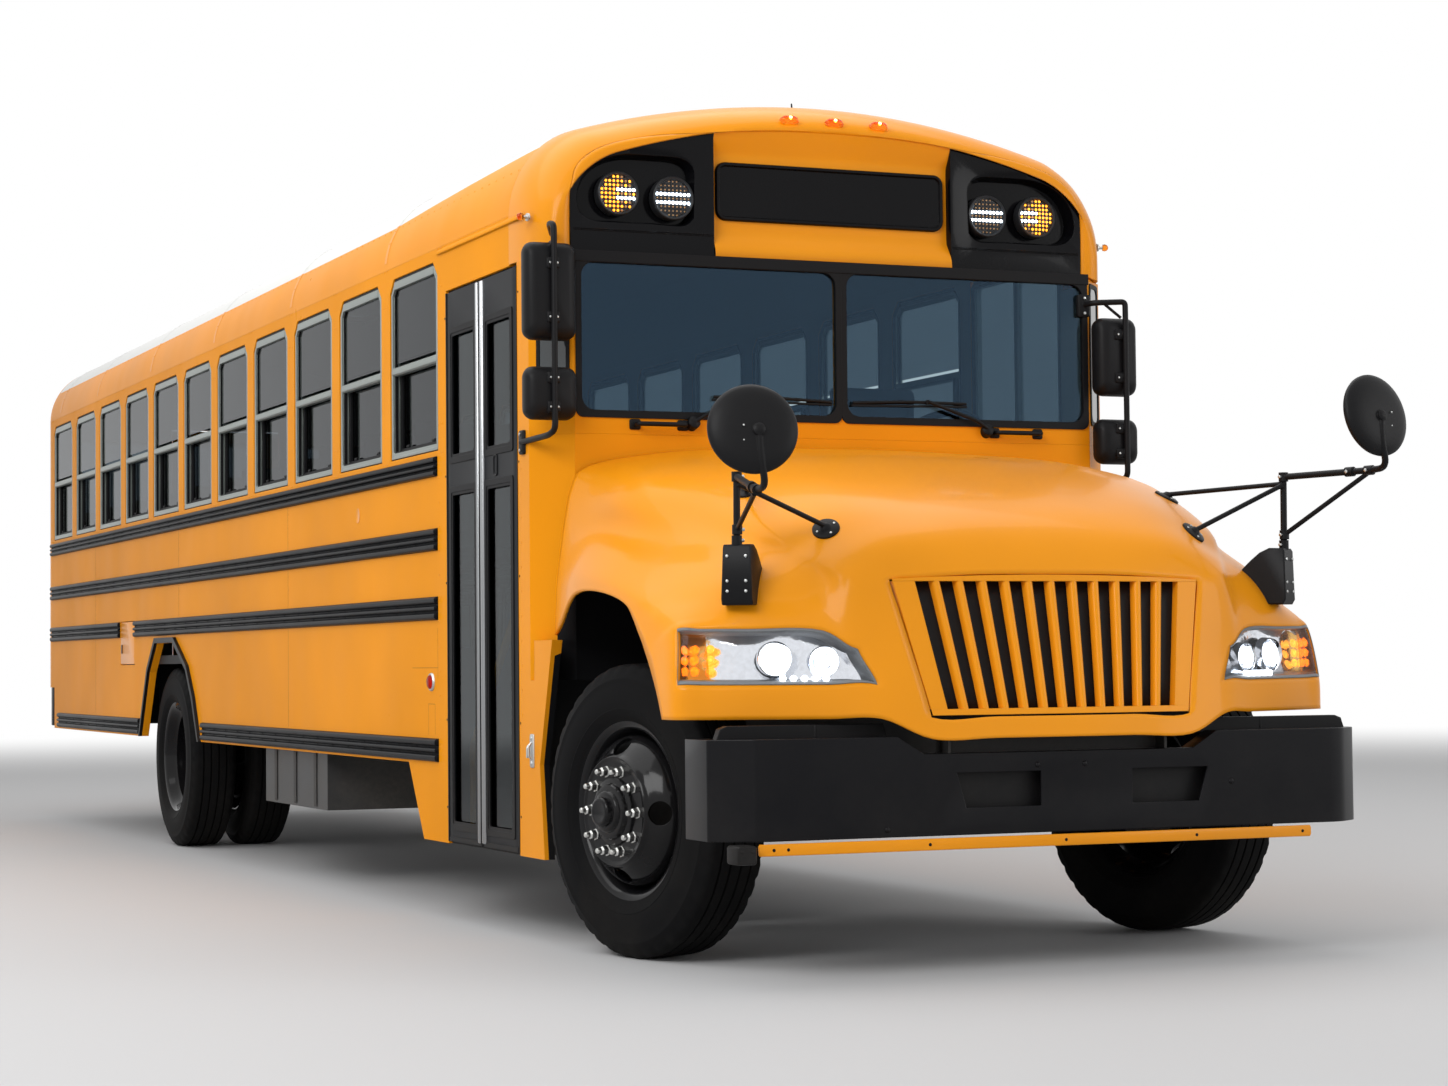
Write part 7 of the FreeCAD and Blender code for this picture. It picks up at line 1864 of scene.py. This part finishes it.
# the escape door's hinges, its lever, and the gap's rubber
for z in (1.22, 1.80, 2.50):
    pressed_into(bolt_bm, rounded(0.050, 0.034, 0.008, 3), ((-0.002, 1), (0.005, 1)),
                 lambda a, b, lift: Vector((low.x + 0.012 + a, high.y + lift, z + b)))
    turned_into(bolt_bm, ((-0.038, 0.008), (0.038, 0.008)), Vector((low.x - 0.004, high.y + 0.008, z)),
                (0, 0, 1), 14)
    for a in (-0.030, 0.030):
        dome_into(bolt_bm, Vector((low.x + 0.012 + a, high.y + 0.005, z + 0.018)), BACKWARD, 0.006, 0.003)
lever_bm = bmesh.new()
turned_into(lever_bm, ((-0.002, 0.030), (0.008, 0.029), (0.012, 0.020), (0.020, 0.014)),
            Vector((0.335, high.y, 1.815)), BACKWARD, 28)
tube_into(lever_bm, [Vector((0.335, high.y + 0.018, 1.815)), Vector((0.335, high.y + 0.034, 1.815)),
                     Vector((0.20, high.y + 0.036, 1.805))], 0.008, 12, 0.014)
built("rear_door_seals", door_bm, seal_black, "rear_door", 40)
built("rear_window_seals", wall_bm, seal_black, "body", 40)
built("rear_window_panes", pane_bm, dark_glass, "body", 40)
built("rear_door_hinges", bolt_bm, metal, "rear_door", 40)
built("rear_door_lever", lever_bm, grained, "rear_door", 40)
dressed(["rear_door_glass"], dark_glass)

# lamps: black shrouds round the warning lamps, rubber rings round the tail lamps
shroud_bm, lens_bm = bmesh.new(), bmesh.new()
for side in (-1, 1):
    panel = [Vector((side * 0.780 + a, 0, 2.800 + b)) for a, b in rounded(0.222, 0.108, 0.05)]
    loops_into(shroud_bm, [[spot + Vector((0, REAR_Y + lift, 0)) for spot in panel]
                           for lift in (-0.002, 0.006)])
    for x, lens in ((0.890, 0), (0.670, 1)):
        spot = Vector((side * x, REAR_Y, 2.800))
        turned_into(shroud_bm, ((0.004, 0.093), (0.040, 0.093), (0.040, 0.087), (0.012, 0.086)),
                    spot, BACKWARD, 40, caps=False)
        turned_into(lens_bm, ((0.012, 0.0855), (0.020, 0.084), (0.028, 0.070), (0.033, 0.045),
                              (0.035, 0.020), (0.0355, 0)), spot, BACKWARD, 40, lens, False)
    for x, z, lens in ((0.900, 1.560, 0), (0.900, 1.330, 1), (1.080, 1.445, 2)):
        spot = Vector((side * x, REAR_Y, z))
        turned_into(shroud_bm, ((-0.002, 0.098), (0.008, 0.098), (0.014, 0.092), (0.014, 0.086),
                                (0.008, 0.084)), spot, BACKWARD, 40, caps=False)
        turned_into(lens_bm, ((0.006, 0.084), (0.018, 0.083), (0.030, 0.072), (0.036, 0.048),
                              (0.038, 0.022), (0.0385, 0)), spot, BACKWARD, 40, lens, False)
for x in (-0.19, 0, 0.19):
    pressed_into(lens_bm, rounded(0.043, 0.016, 0.014), ((-0.004, 1), (0.014, 1), (0.024, 0.8), (0.027, 0.4)),
                 lambda a, b, lift: Vector((x + a, REAR_Y + lift, 3.102 + b)))
built("rear_lamp_rings", shroud_bm, seal_black, "body", 40)
red_lens = lens_glass("tail_red", (0.70, 0.02, 0.015), 0.05, 130.0)
white_lens = lens_glass("reverse_clear", (0.92, 0.94, 0.95), 0.05, 110.0)
built("rear_lamp_lenses", lens_bm, red_lens, "body", 60, (), (amber_lens, white_lens))
# reflectors behind the lenses
bm = bmesh.new()
for side in (-1, 1):
    for x, z, radius in ((0.890, 2.800, 0.083), (0.670, 2.800, 0.083), (0.900, 1.560, 0.082),
                         (0.900, 1.330, 0.082), (1.080, 1.445, 0.082)):
        turned_into(bm, ((0.006, radius), (0.0065, radius * 0.5), (0.010, radius * 0.15), (0.011, 0)),
                    Vector((side * x, REAR_Y, z)), BACKWARD, 32, caps=False)
built("rear_lamp_dishes", bm, bezel_grey, "body", 50)

# the rear bumper: a folded channel with bolted corners
low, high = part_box("rear_bumper")
REAR_FACE = high.y - 0.008
REAR_HALF, REAR_FORE, REAR_CUT, WING_FROM = high.x, 0.060, 0.070, 0.6
wing = [(REAR_HALF, low.y), (REAR_HALF, REAR_FACE - REAR_FORE), (REAR_HALF - REAR_CUT, REAR_FACE),
        (0.5, REAR_FACE)]
path = bent([(x, y, 0) for x, y in wing], (0.03, 0.03))
path = [Vector((-spot.x, spot.y, 0)) for spot in path] + [Vector((0, REAR_FACE, 0))] + list(reversed(path))
section = ((0.055, low.z), (0.004, low.z), (0.0, low.z + 0.004), (0.0, (low.z + high.z) / 2),
           (0.0, high.z - 0.004), (0.004, high.z), (0.055, high.z))
lines = []
for deep, z in section:
    line = []
    for place_along, spot in enumerate(path):
        before, after = path[max(place_along - 1, 0)], path[min(place_along + 1, len(path) - 1)]
        inward = (after - before).cross(Vector((0, 0, 1))).normalized()
        if abs(spot.x) < WING_FROM:
            inward = Vector((0, -1, 0))
        elif inward.dot(Vector((-spot.x, 6.0 - spot.y, 0))) < 0:
            inward = -inward
        line.append(Vector((*(spot + inward * deep).xy, z)))
    lines.append(line)
bm = bmesh.new()
grid_into(bm, lines)
bmesh.ops.recalc_face_normals(bm, faces=bm.faces)
back_face = max(bm.faces, key=lambda face: face.calc_center_median().y)
if back_face.normal.y < 0:
    bmesh.ops.reverse_faces(bm, faces=bm.faces)
thick(built("rear_bumper_channel", bm, black, "body", 30, ["rear_bumper"]), 0.008)
bm = bmesh.new()
for side in (-1, 1):
    for x in (0.42, 0.52, 0.95, 1.05):
        for z in (0.69, 0.83):
            dome_into(bm, Vector((side * x, REAR_FACE, z)), BACKWARD, 0.012, 0.007)
    dome_into(bm, Vector((side * 0.0889, REAR_FACE, 0.790)), BACKWARD, 0.009, 0.006)
built("rear_bumper_bolts", bm, black, "body", 40)

# ---------------------------------------------------------------- stop arm and arm actuators
# An eight-sided aluminium sign, red with a white edge and left blank, on a hinged arm, with two small
# lamps; black moulded housings hold this arm's motor and the crossing arm's.
low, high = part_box("stop_arm")
centre = here(0, 3.245, 1.640)
STOP_NEAR, STOP_FAR = 0.094, 0.227


def octagon(out, share):
    """The sign's outline at a distance from the bus, drawn in to a share of its size."""
    near, far = STOP_NEAR * share, STOP_FAR * share
    return [Vector((out, centre.y + a, centre.z + b)) for a, b in ((near, far), (far, near), (far, -near),
                                                                   (near, -far), (-near, -far),
                                                                   (-far, -near), (-far, near),
                                                                   (-near, far))]


sign_red = plastic("sign_red", (0.50, 0.012, 0.016), 0.35, dust=0.12, coat=0.3, shine=0.5)
sign_white = plastic("sign_white", (0.80, 0.80, 0.78), 0.38, dust=0.15, shine=0.5)
bm = bmesh.new()
for out in (1.2480, 1.2522):
    loops_into(bm, [octagon(out, 0.90), octagon(out, 0.985)], ends=(False, False), material=1)
for out in (1.2475, 1.2527):
    loops_into(bm, [octagon(out, 0.905), octagon(out, 0.2)], ends=(False, True))
loops_into(bm, [octagon(out, share) for out, share in ((1.2480, 0.98), (1.2484, 1.0), (1.2518, 1.0),
                                                       (1.2522, 0.98))], ends=(False, False), material=1)
built("stop_sign_plate", bm, sign_red, "stop_arm", 30, ["stop_arm"], (sign_white,))
bm, lens_bm = bmesh.new(), bmesh.new()
arm = [(low.y + 0.004, centre.z - 0.045), (centre.y - 0.19, centre.z - 0.055),
       (centre.y - 0.15, centre.z - 0.03), (centre.y - 0.15, centre.z + 0.03),
       (centre.y - 0.19, centre.z + 0.055), (low.y + 0.004, centre.z + 0.045)]
prism_into(bm, arm, 1.2440, 1.2478, "x")
prism_into(bm, arm, 1.2522, 1.2555, "x")
for y in (centre.y - 0.175, centre.y - 0.200):
    for b in (-0.03, 0.03):
        dome_into(bm, Vector((1.2555, y, centre.z + b)), (1, 0, 0), 0.006, 0.004)
for up in (0.150, -0.150):
    for facing in (1, -1):
        spot = Vector((1.2522 if facing > 0 else 1.2478, centre.y, centre.z + up))
        turned_into(bm, ((-0.001, 0.036), (0.006, 0.035), (0.009, 0.032), (0.006, 0.030)), spot,
                    (facing, 0, 0), 28, caps=False)
        turned_into(lens_bm, ((0.003, 0.0305), (0.009, 0.028), (0.013, 0.018), (0.0145, 0)), spot,
                    (facing, 0, 0), 28, 0, False)
built("stop_arm_bracket", bm, grained, "stop_arm", 40)
built("stop_arm_lenses", lens_bm, red_lens, "stop_arm", 60)

bm = bmesh.new()
middle = here(0, 2.902, 1.655)
pressed_into(bm, rounded(0.036, 0.065, 0.014), ((1.2195, 1), (1.246, 1), (1.252, 0.94), (1.2538, 0.85)),
             lambda a, b, out: Vector((out, middle.y + a, middle.z + b)))
for up in (-0.058, 0.058):
    turned_into(bm, ((-0.010, 0.006), (0.010, 0.006)), here(1.2475, 2.944, 1.640 + up), (0, 0, 1), 12)
box_low, box_high = (-1.1895, -0.058, 0.386), (-1.1205, 0.028, 0.446)
middle = here(*[(a + b) / 2 for a, b in zip(box_low, box_high)])
half = [(b - a) / 2 for a, b in zip(box_low, box_high)]
pressed_into(bm, rounded(half[0], half[2], 0.010),
             ((-half[1], 0.88), (0.006 - half[1], 1), (half[1] - 0.004, 1), (half[1], 0.9)),
             lambda a, b, lift: middle + Vector((a, lift, b)))
for a in (-0.018, 0.018):
    dome_into(bm, middle + Vector((a, -half[1], 0.012)), TOWARDS, 0.005, 0.003)
built("arm_housings", bm, grained, "body", 40, ["arm_actuators"])

# ---------------------------------------------------------------- passenger seats
# High-backed benches: foam on a bent steel frame, covered in dark blue-grey vinyl pulled tight at the edges,
# bolted to the floor by the aisle and to the wall.
vinyl = plastic("seat_vinyl", (0.022, 0.030, 0.045), 0.48, dust=0.15, grain=420.0, deep=0.0005, shine=0.4)


def puffed(name, boxes, voxel, pressure, cap, smooth_steps=1):
    """A padded shape: rounded blocks remeshed together and blown up a little as cloth."""
    bm = bmesh.new()
    for corners in boxes:
        loops_into(bm, corners)
    mesh = bpy.data.meshes.new(name)
    bm.to_mesh(mesh)
    bm.free()
    thing = bpy.data.objects.new(name, mesh)
    scene.collection.objects.link(thing)
    remesh = thing.modifiers.new("remesh", "REMESH")
    remesh.mode = "VOXEL"
    remesh.voxel_size = voxel
    relax = thing.modifiers.new("relax", "SMOOTH")
    relax.iterations = smooth_steps
    bpy.context.view_layer.update()
    start = bpy.data.meshes.new_from_object(thing.evaluated_get(bpy.context.evaluated_depsgraph_get()))
    thing.modifiers.clear()
    thing.data = start
    before = [vertex.co.copy() for vertex in start.vertices]
    cloth = thing.modifiers.new("puff", "CLOTH")
    cloth.settings.use_pressure = True
    cloth.settings.uniform_pressure_force = pressure
    cloth.settings.effector_weights.gravity = 0
    cloth.settings.quality = 4
    cloth.collision_settings.use_collision = False
    for frame_number in range(1, 21):
        scene.frame_set(frame_number)
    after = bpy.data.meshes.new_from_object(thing.evaluated_get(bpy.context.evaluated_depsgraph_get()))
    thing.modifiers.clear()
    scene.frame_set(1)
    for vertex, old, new in zip(start.vertices, before, after.vertices):
        move = new.co - old
        if move.length > cap:
            move *= cap / move.length
        vertex.co = old + move
    bpy.data.meshes.remove(after)
    return thing


def slab_loops(half_x, section, centre, edge=0.02):
    """A slab along x from a flat section of (y, z), rounded towards both its ends."""
    middle_y = sum(point[0] for point in section) / len(section)
    middle_z = sum(point[1] for point in section) / len(section)
    loops = []
    for x, share in ((-half_x, 0.80), (-half_x + edge * 0.4, 0.94), (-half_x + edge, 1.0),
                     (half_x - edge, 1.0), (half_x - edge * 0.4, 0.94), (half_x, 0.80)):
        loops.append([Vector((centre + x, middle_y + (y - middle_y) * (1 - (1 - share) * 0.15),
                              middle_z + (z - middle_z) * (1 - (1 - share) * 0.15))) for y, z in section])
    return loops


CUSHION_SECTION = ((-0.170, 0.345), (-0.182, 0.365), (-0.182, 0.395), (-0.165, 0.412), (0.150, 0.412),
                   (0.178, 0.405), (0.178, 0.345), (0.150, 0.338))
BACK_SECTION = ((0.212, 0.430), (0.222, 0.560), (0.243, 0.960), (0.252, 0.985), (0.268, 0.992),
                (0.276, 0.980), (0.262, 0.560), (0.252, 0.380), (0.245, 0.350), (0.216, 0.352))
SEAT_HALF, SEAT_PITCH, SEAT_FIRST, SEAT_COUNT = 0.462, 0.770, 3.250, 11
bench = puffed("bench_pad", (slab_loops(SEAT_HALF, CUSHION_SECTION, 0),
                             slab_loops(SEAT_HALF, BACK_SECTION, 0)), 0.021, 4.0, 0.010)
FLOOR_UP = 1.090
for side, name in ((1, "left"), (-1, "right")):
    low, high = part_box(name + "_seats")
    across = (low.x + high.x) / 2
    bm, leg_bm = bmesh.new(), bmesh.new()
    for seat in range(SEAT_COUNT):
        shift = here(across, SEAT_FIRST + seat * SEAT_PITCH, FLOOR_UP)
        count = len(bm.verts)
        bm.from_mesh(bench.data)
        bm.verts.ensure_lookup_table()
        bmesh.ops.translate(bm, vec=shift, verts=bm.verts[count:])
        aisle = side * -0.448
        tube_into(leg_bm, [shift + Vector((aisle, y, z)) for y, z in ((-0.135, 0.014), (-0.125, 0.318),
                                                                      (0.215, 0.318),
                                                                      (0.220, 0.014))], 0.0125, 10, 0.06)
        for y in (-0.135, 0.215):
            turned_into(leg_bm, ((0.0, 0.030), (0.006, 0.029), (0.012, 0.018), (0.016, 0.0135)),
                        shift + Vector((aisle, y, 0.001)), (0, 0, 1), 14)
        for y in (-0.120, 0.120):
            tube_into(leg_bm, [shift + Vector((aisle, y, 0.322)),
                               shift + Vector((-aisle * 1.02, y, 0.322))], 0.011, 8)
        tube_into(leg_bm, [shift + Vector((-aisle * 1.03, -0.15, 0.318)),
                           shift + Vector((-aisle * 1.03, 0.20, 0.318))], 0.012, 8)
    seats = built(name + "_bench_pads", bm, vinyl, "body", 60, [name + "_seats"])
    built(name + "_bench_frames", leg_bm, grained, "body", 45)
bpy.data.objects.remove(bench)

# ---------------------------------------------------------------- driver's place
# A high-backed seat of black vinyl over foam on a sprung base with a rubber bellows, a moulded dashboard
# with round dials and rows of rocker switches, and a three-spoke steering wheel on a slanting column.
low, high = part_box("driver_seat")
driver_x = (low.x + high.x) / 2
COWL_Y = here(0, 1.660, 0).y
start_y, up = COWL_Y + 0.530, FLOOR_UP
cushion = ((0.025, 0.285), (0.012, 0.320), (0.016, 0.352), (0.050, 0.366), (0.330, 0.360), (0.425, 0.368),
           (0.432, 0.290), (0.350, 0.278))
back = ((0.425, 0.330), (0.430, 0.500), (0.448, 0.860), (0.455, 1.060), (0.468, 1.095), (0.492, 1.098),
        (0.502, 1.060), (0.498, 0.600), (0.495, 0.320), (0.470, 0.312))
shapes = []
for section, half in ((cushion, 0.205), (back, 0.200)):
    shapes.append([[Vector((spot.x, start_y + spot.y, up + spot.z)) for spot in loop]
                   for loop in slab_loops(half, section, driver_x, 0.04)])
for side in (-1, 1):
    bolster = ((0.404, 0.420), (0.410, 0.620), (0.425, 0.780), (0.470, 0.800), (0.470, 0.400), (0.430, 0.390))
    shapes.append([[Vector((spot.x, start_y + spot.y, up + spot.z)) for spot in loop]
                   for loop in slab_loops(0.028, bolster, driver_x + side * 0.168, 0.012)])
driver = puffed("driver_pads", shapes, 0.010, 4.0, 0.012, 2)
driver_vinyl = plastic("driver_vinyl", (0.018, 0.019, 0.021), 0.5, dust=0.12, grain=380.0, deep=0.0005,
                       shine=0.4)
driver.data.materials.append(driver_vinyl)
driver.data.shade_smooth()
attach(driver, "body")
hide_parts("driver_seat")
bm = bmesh.new()
for lift, half_a, half_b in ((0.004, 0.150, 0.170), (0.235, 0.165, 0.185)):
    loops_into(bm, [[Vector((driver_x + a, start_y + 0.235 + b, up + lift + z))
                     for a, b in rounded(half_a, half_b, 0.03)] for z in (0.0, 0.030)])
for fold in range(6):
    half = 0.125 + (0.010 if fold % 2 else 0.0)
    loops_into(bm, [[Vector((driver_x + a, start_y + 0.235 + b, up + 0.034 + fold * 0.0335 + z))
                     for a, b in rounded(half, half, 0.03)] for z in (0.0, 0.0335)])
built("driver_seat_base", bm, grained, "body", 45)

dash_plastic = plastic("dash_plastic", (0.030, 0.032, 0.035), 0.5, dust=0.2)
low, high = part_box("dashboard")
DASH_SIDE = ((0.047, 0.292), (0.047, 0.800), (0.075, 0.832), (0.168, 0.843), (0.225, 0.805),
             (0.238, 0.780), (0.220, 0.610), (0.180, 0.450), (0.140, 0.292))
bm = bmesh.new()
loops = []
for x, share in ((low.x + 0.001, 0.96), (low.x + 0.010, 1.0), (high.x - 0.010, 1.0), (high.x - 0.001, 0.96)):
    loops.append([Vector((x, COWL_Y + 0.14 + (y - 0.14) * share, FLOOR_UP + 0.58 + (z - 0.58) * share))
                  for y, z in DASH_SIDE])
loops_into(bm, loops)
# the dials in front of the driver, and two rows of rocker switches beside them
face_low, face_high = Vector((0, COWL_Y + 0.2225,
                              FLOOR_UP + 0.625)), Vector((0, COWL_Y + 0.2365, FLOOR_UP + 0.765))
face_out = Vector((0, 1, -0.1)).normalized()
dial_bm = bmesh.new()
for x, radius, share in ((-0.13, 0.050, 0.5), (-0.005, 0.050, 0.5), (0.090, 0.026, 0.75),
                         (0.090, 0.026, 0.25), (0.155, 0.026, 0.75), (0.155, 0.026, 0.25)):
    spot = face_low.lerp(face_high, share) + Vector((driver_x + x, 0, 0))
    turned_into(bm, ((-0.002, radius), (0.006, radius), (0.007, radius * 0.93), (0.002, radius * 0.90)),
                spot, face_out, 28, caps=False)
    turned_into(dial_bm, ((0.001, radius * 0.9), (0.0015, 0)), spot, face_out, 24, 0, False)
for row in range(2):
    for column in range(6):
        spot = face_low.lerp(face_high, 0.3 + row * 0.4) + Vector((driver_x - 0.24 - column * 0.035, 0, 0))
        pressed_into(bm, rounded(0.013, 0.020, 0.003, 2), ((-0.002, 1), (0.004, 1), (0.006, 0.85)),
                     lambda a, b, lift: spot + Vector((a, lift, b)))
built("dashboard_shell", bm, dash_plastic, "body", 40, ["dashboard"])
built("dashboard_dials", dial_bm, plastic("dial_face", (0.25, 0.26, 0.27), 0.35, shine=0.5),
      "body", 40)

hub = here(0.620, 2.060, 1.830)
column_way = Vector((0, 0.2, 0.15)).normalized()
bm = bmesh.new()
ring = [(math.sin(math.tau * turn / 12) * 0.0155, 0.2235 + math.cos(math.tau * turn / 12) * 0.0155)
        for turn in range(13)]
turned_into(bm, ring, hub, column_way, 64, caps=False)
bmesh.ops.remove_doubles(bm, verts=bm.verts, dist=0.0001)
for turn in (0, 180, 90):
    angle = math.radians(turn)
    aside = Vector((1, 0, 0)) * math.cos(angle) + column_way.cross(Vector((1, 0, 0))) * -math.sin(angle)
    tube_into(bm, [hub + aside * 0.04 - column_way * 0.006, hub + aside * 0.13 - column_way * 0.012,
                   hub + aside * 0.214], 0.0105, 12, 0.04)
turned_into(bm, ((-0.030, 0.030), (-0.012, 0.055), (-0.004, 0.060), (0.004, 0.058), (0.010, 0.045),
                 (0.012, 0.0)), hub, column_way, 36)
turned_into(bm, ((-0.235, 0.029), (-0.030, 0.026)), hub, column_way, 24)
built("steering_wheel_rim", bm, grained, "body", 50, ["steering_wheel"])

# ---------------------------------------------------------------- floor and rails
# Dark rubber sheet covers the plywood floor, with ribs moulded in along the aisle. The grab rails by the
# steps are bent steel tube, painted in the body's yellow.
floor_rubber = plastic("floor_rubber", (0.030, 0.031, 0.033), 0.6, dust=0.4, grain=60.0, deep=0.0008)
dressed(["floor"], floor_rubber)
bm = bmesh.new()
for rib in range(14):
    x = -0.195 + rib * 0.030
    prism_into(bm, [(x - 0.007, FLOOR_UP - 0.0005), (x - 0.0055, FLOOR_UP + 0.0030),
                    (x + 0.0055, FLOOR_UP + 0.0030), (x + 0.007, FLOOR_UP - 0.0005)], FRONT + 2.90,
               FRONT + 11.78)
built("aisle_ribs", bm, floor_rubber, "body", 30)
dressed(["grab_rails"], yellow, 0.0)

# ---------------------------------------------------------------- running gear
# Black-painted channel frame, leaf springs, axles and shaft, a grey cast engine with its radiator, a
# bare steel tank and exhaust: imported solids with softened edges, plus the tank's straps.
frame_black = plastic("frame_black", (0.010, 0.010, 0.011), 0.55, dust=0.45, shine=0.35)
engine_cast = plastic("engine_cast", (0.16, 0.17, 0.18), 0.55, dust=0.3, grain=150.0, deep=0.0008, metal=0.3)
tank_steel = plastic("tank_steel", (0.055, 0.056, 0.058), 0.42, dust=0.4, metal=0.4)
pipe_steel = plastic("pipe_steel", (0.20, 0.17, 0.14), 0.5, dust=0.4, grain=70.0, deep=0.0006, metal=0.7)
dressed(["frame_rails", "leaf_springs"], frame_black, 0.003, 2)
dressed(["front_axle", "rear_axle", "driveshaft", "steering_knuckle_left",
         "steering_knuckle_right"], frame_black, 0.004, 2)
dressed(["engine_block", "radiator"], engine_cast, 0.012, 3)
dressed(["fuel_tank"], tank_steel, 0.025, 4)
dressed(["exhaust"], pipe_steel, 0.0)
low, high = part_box("fuel_tank")
bm = bmesh.new()
middle = (low + high) / 2
for share in (0.18, 0.5, 0.82):
    y = low.y + (high.y - low.y) * share
    outer = rounded((high.x - low.x) / 2 + 0.004, (high.z - low.z) / 2 + 0.004, 0.028)
    inner = rounded((high.x - low.x) / 2 - 0.001, (high.z - low.z) / 2 - 0.001, 0.026)
    frame_into(bm, outer, inner, -0.025, 0.025,
               lambda a, b, depth: Vector((middle.x + a, y + depth, middle.z + b)))
built("fuel_tank_straps", bm, frame_black, "body", 35)
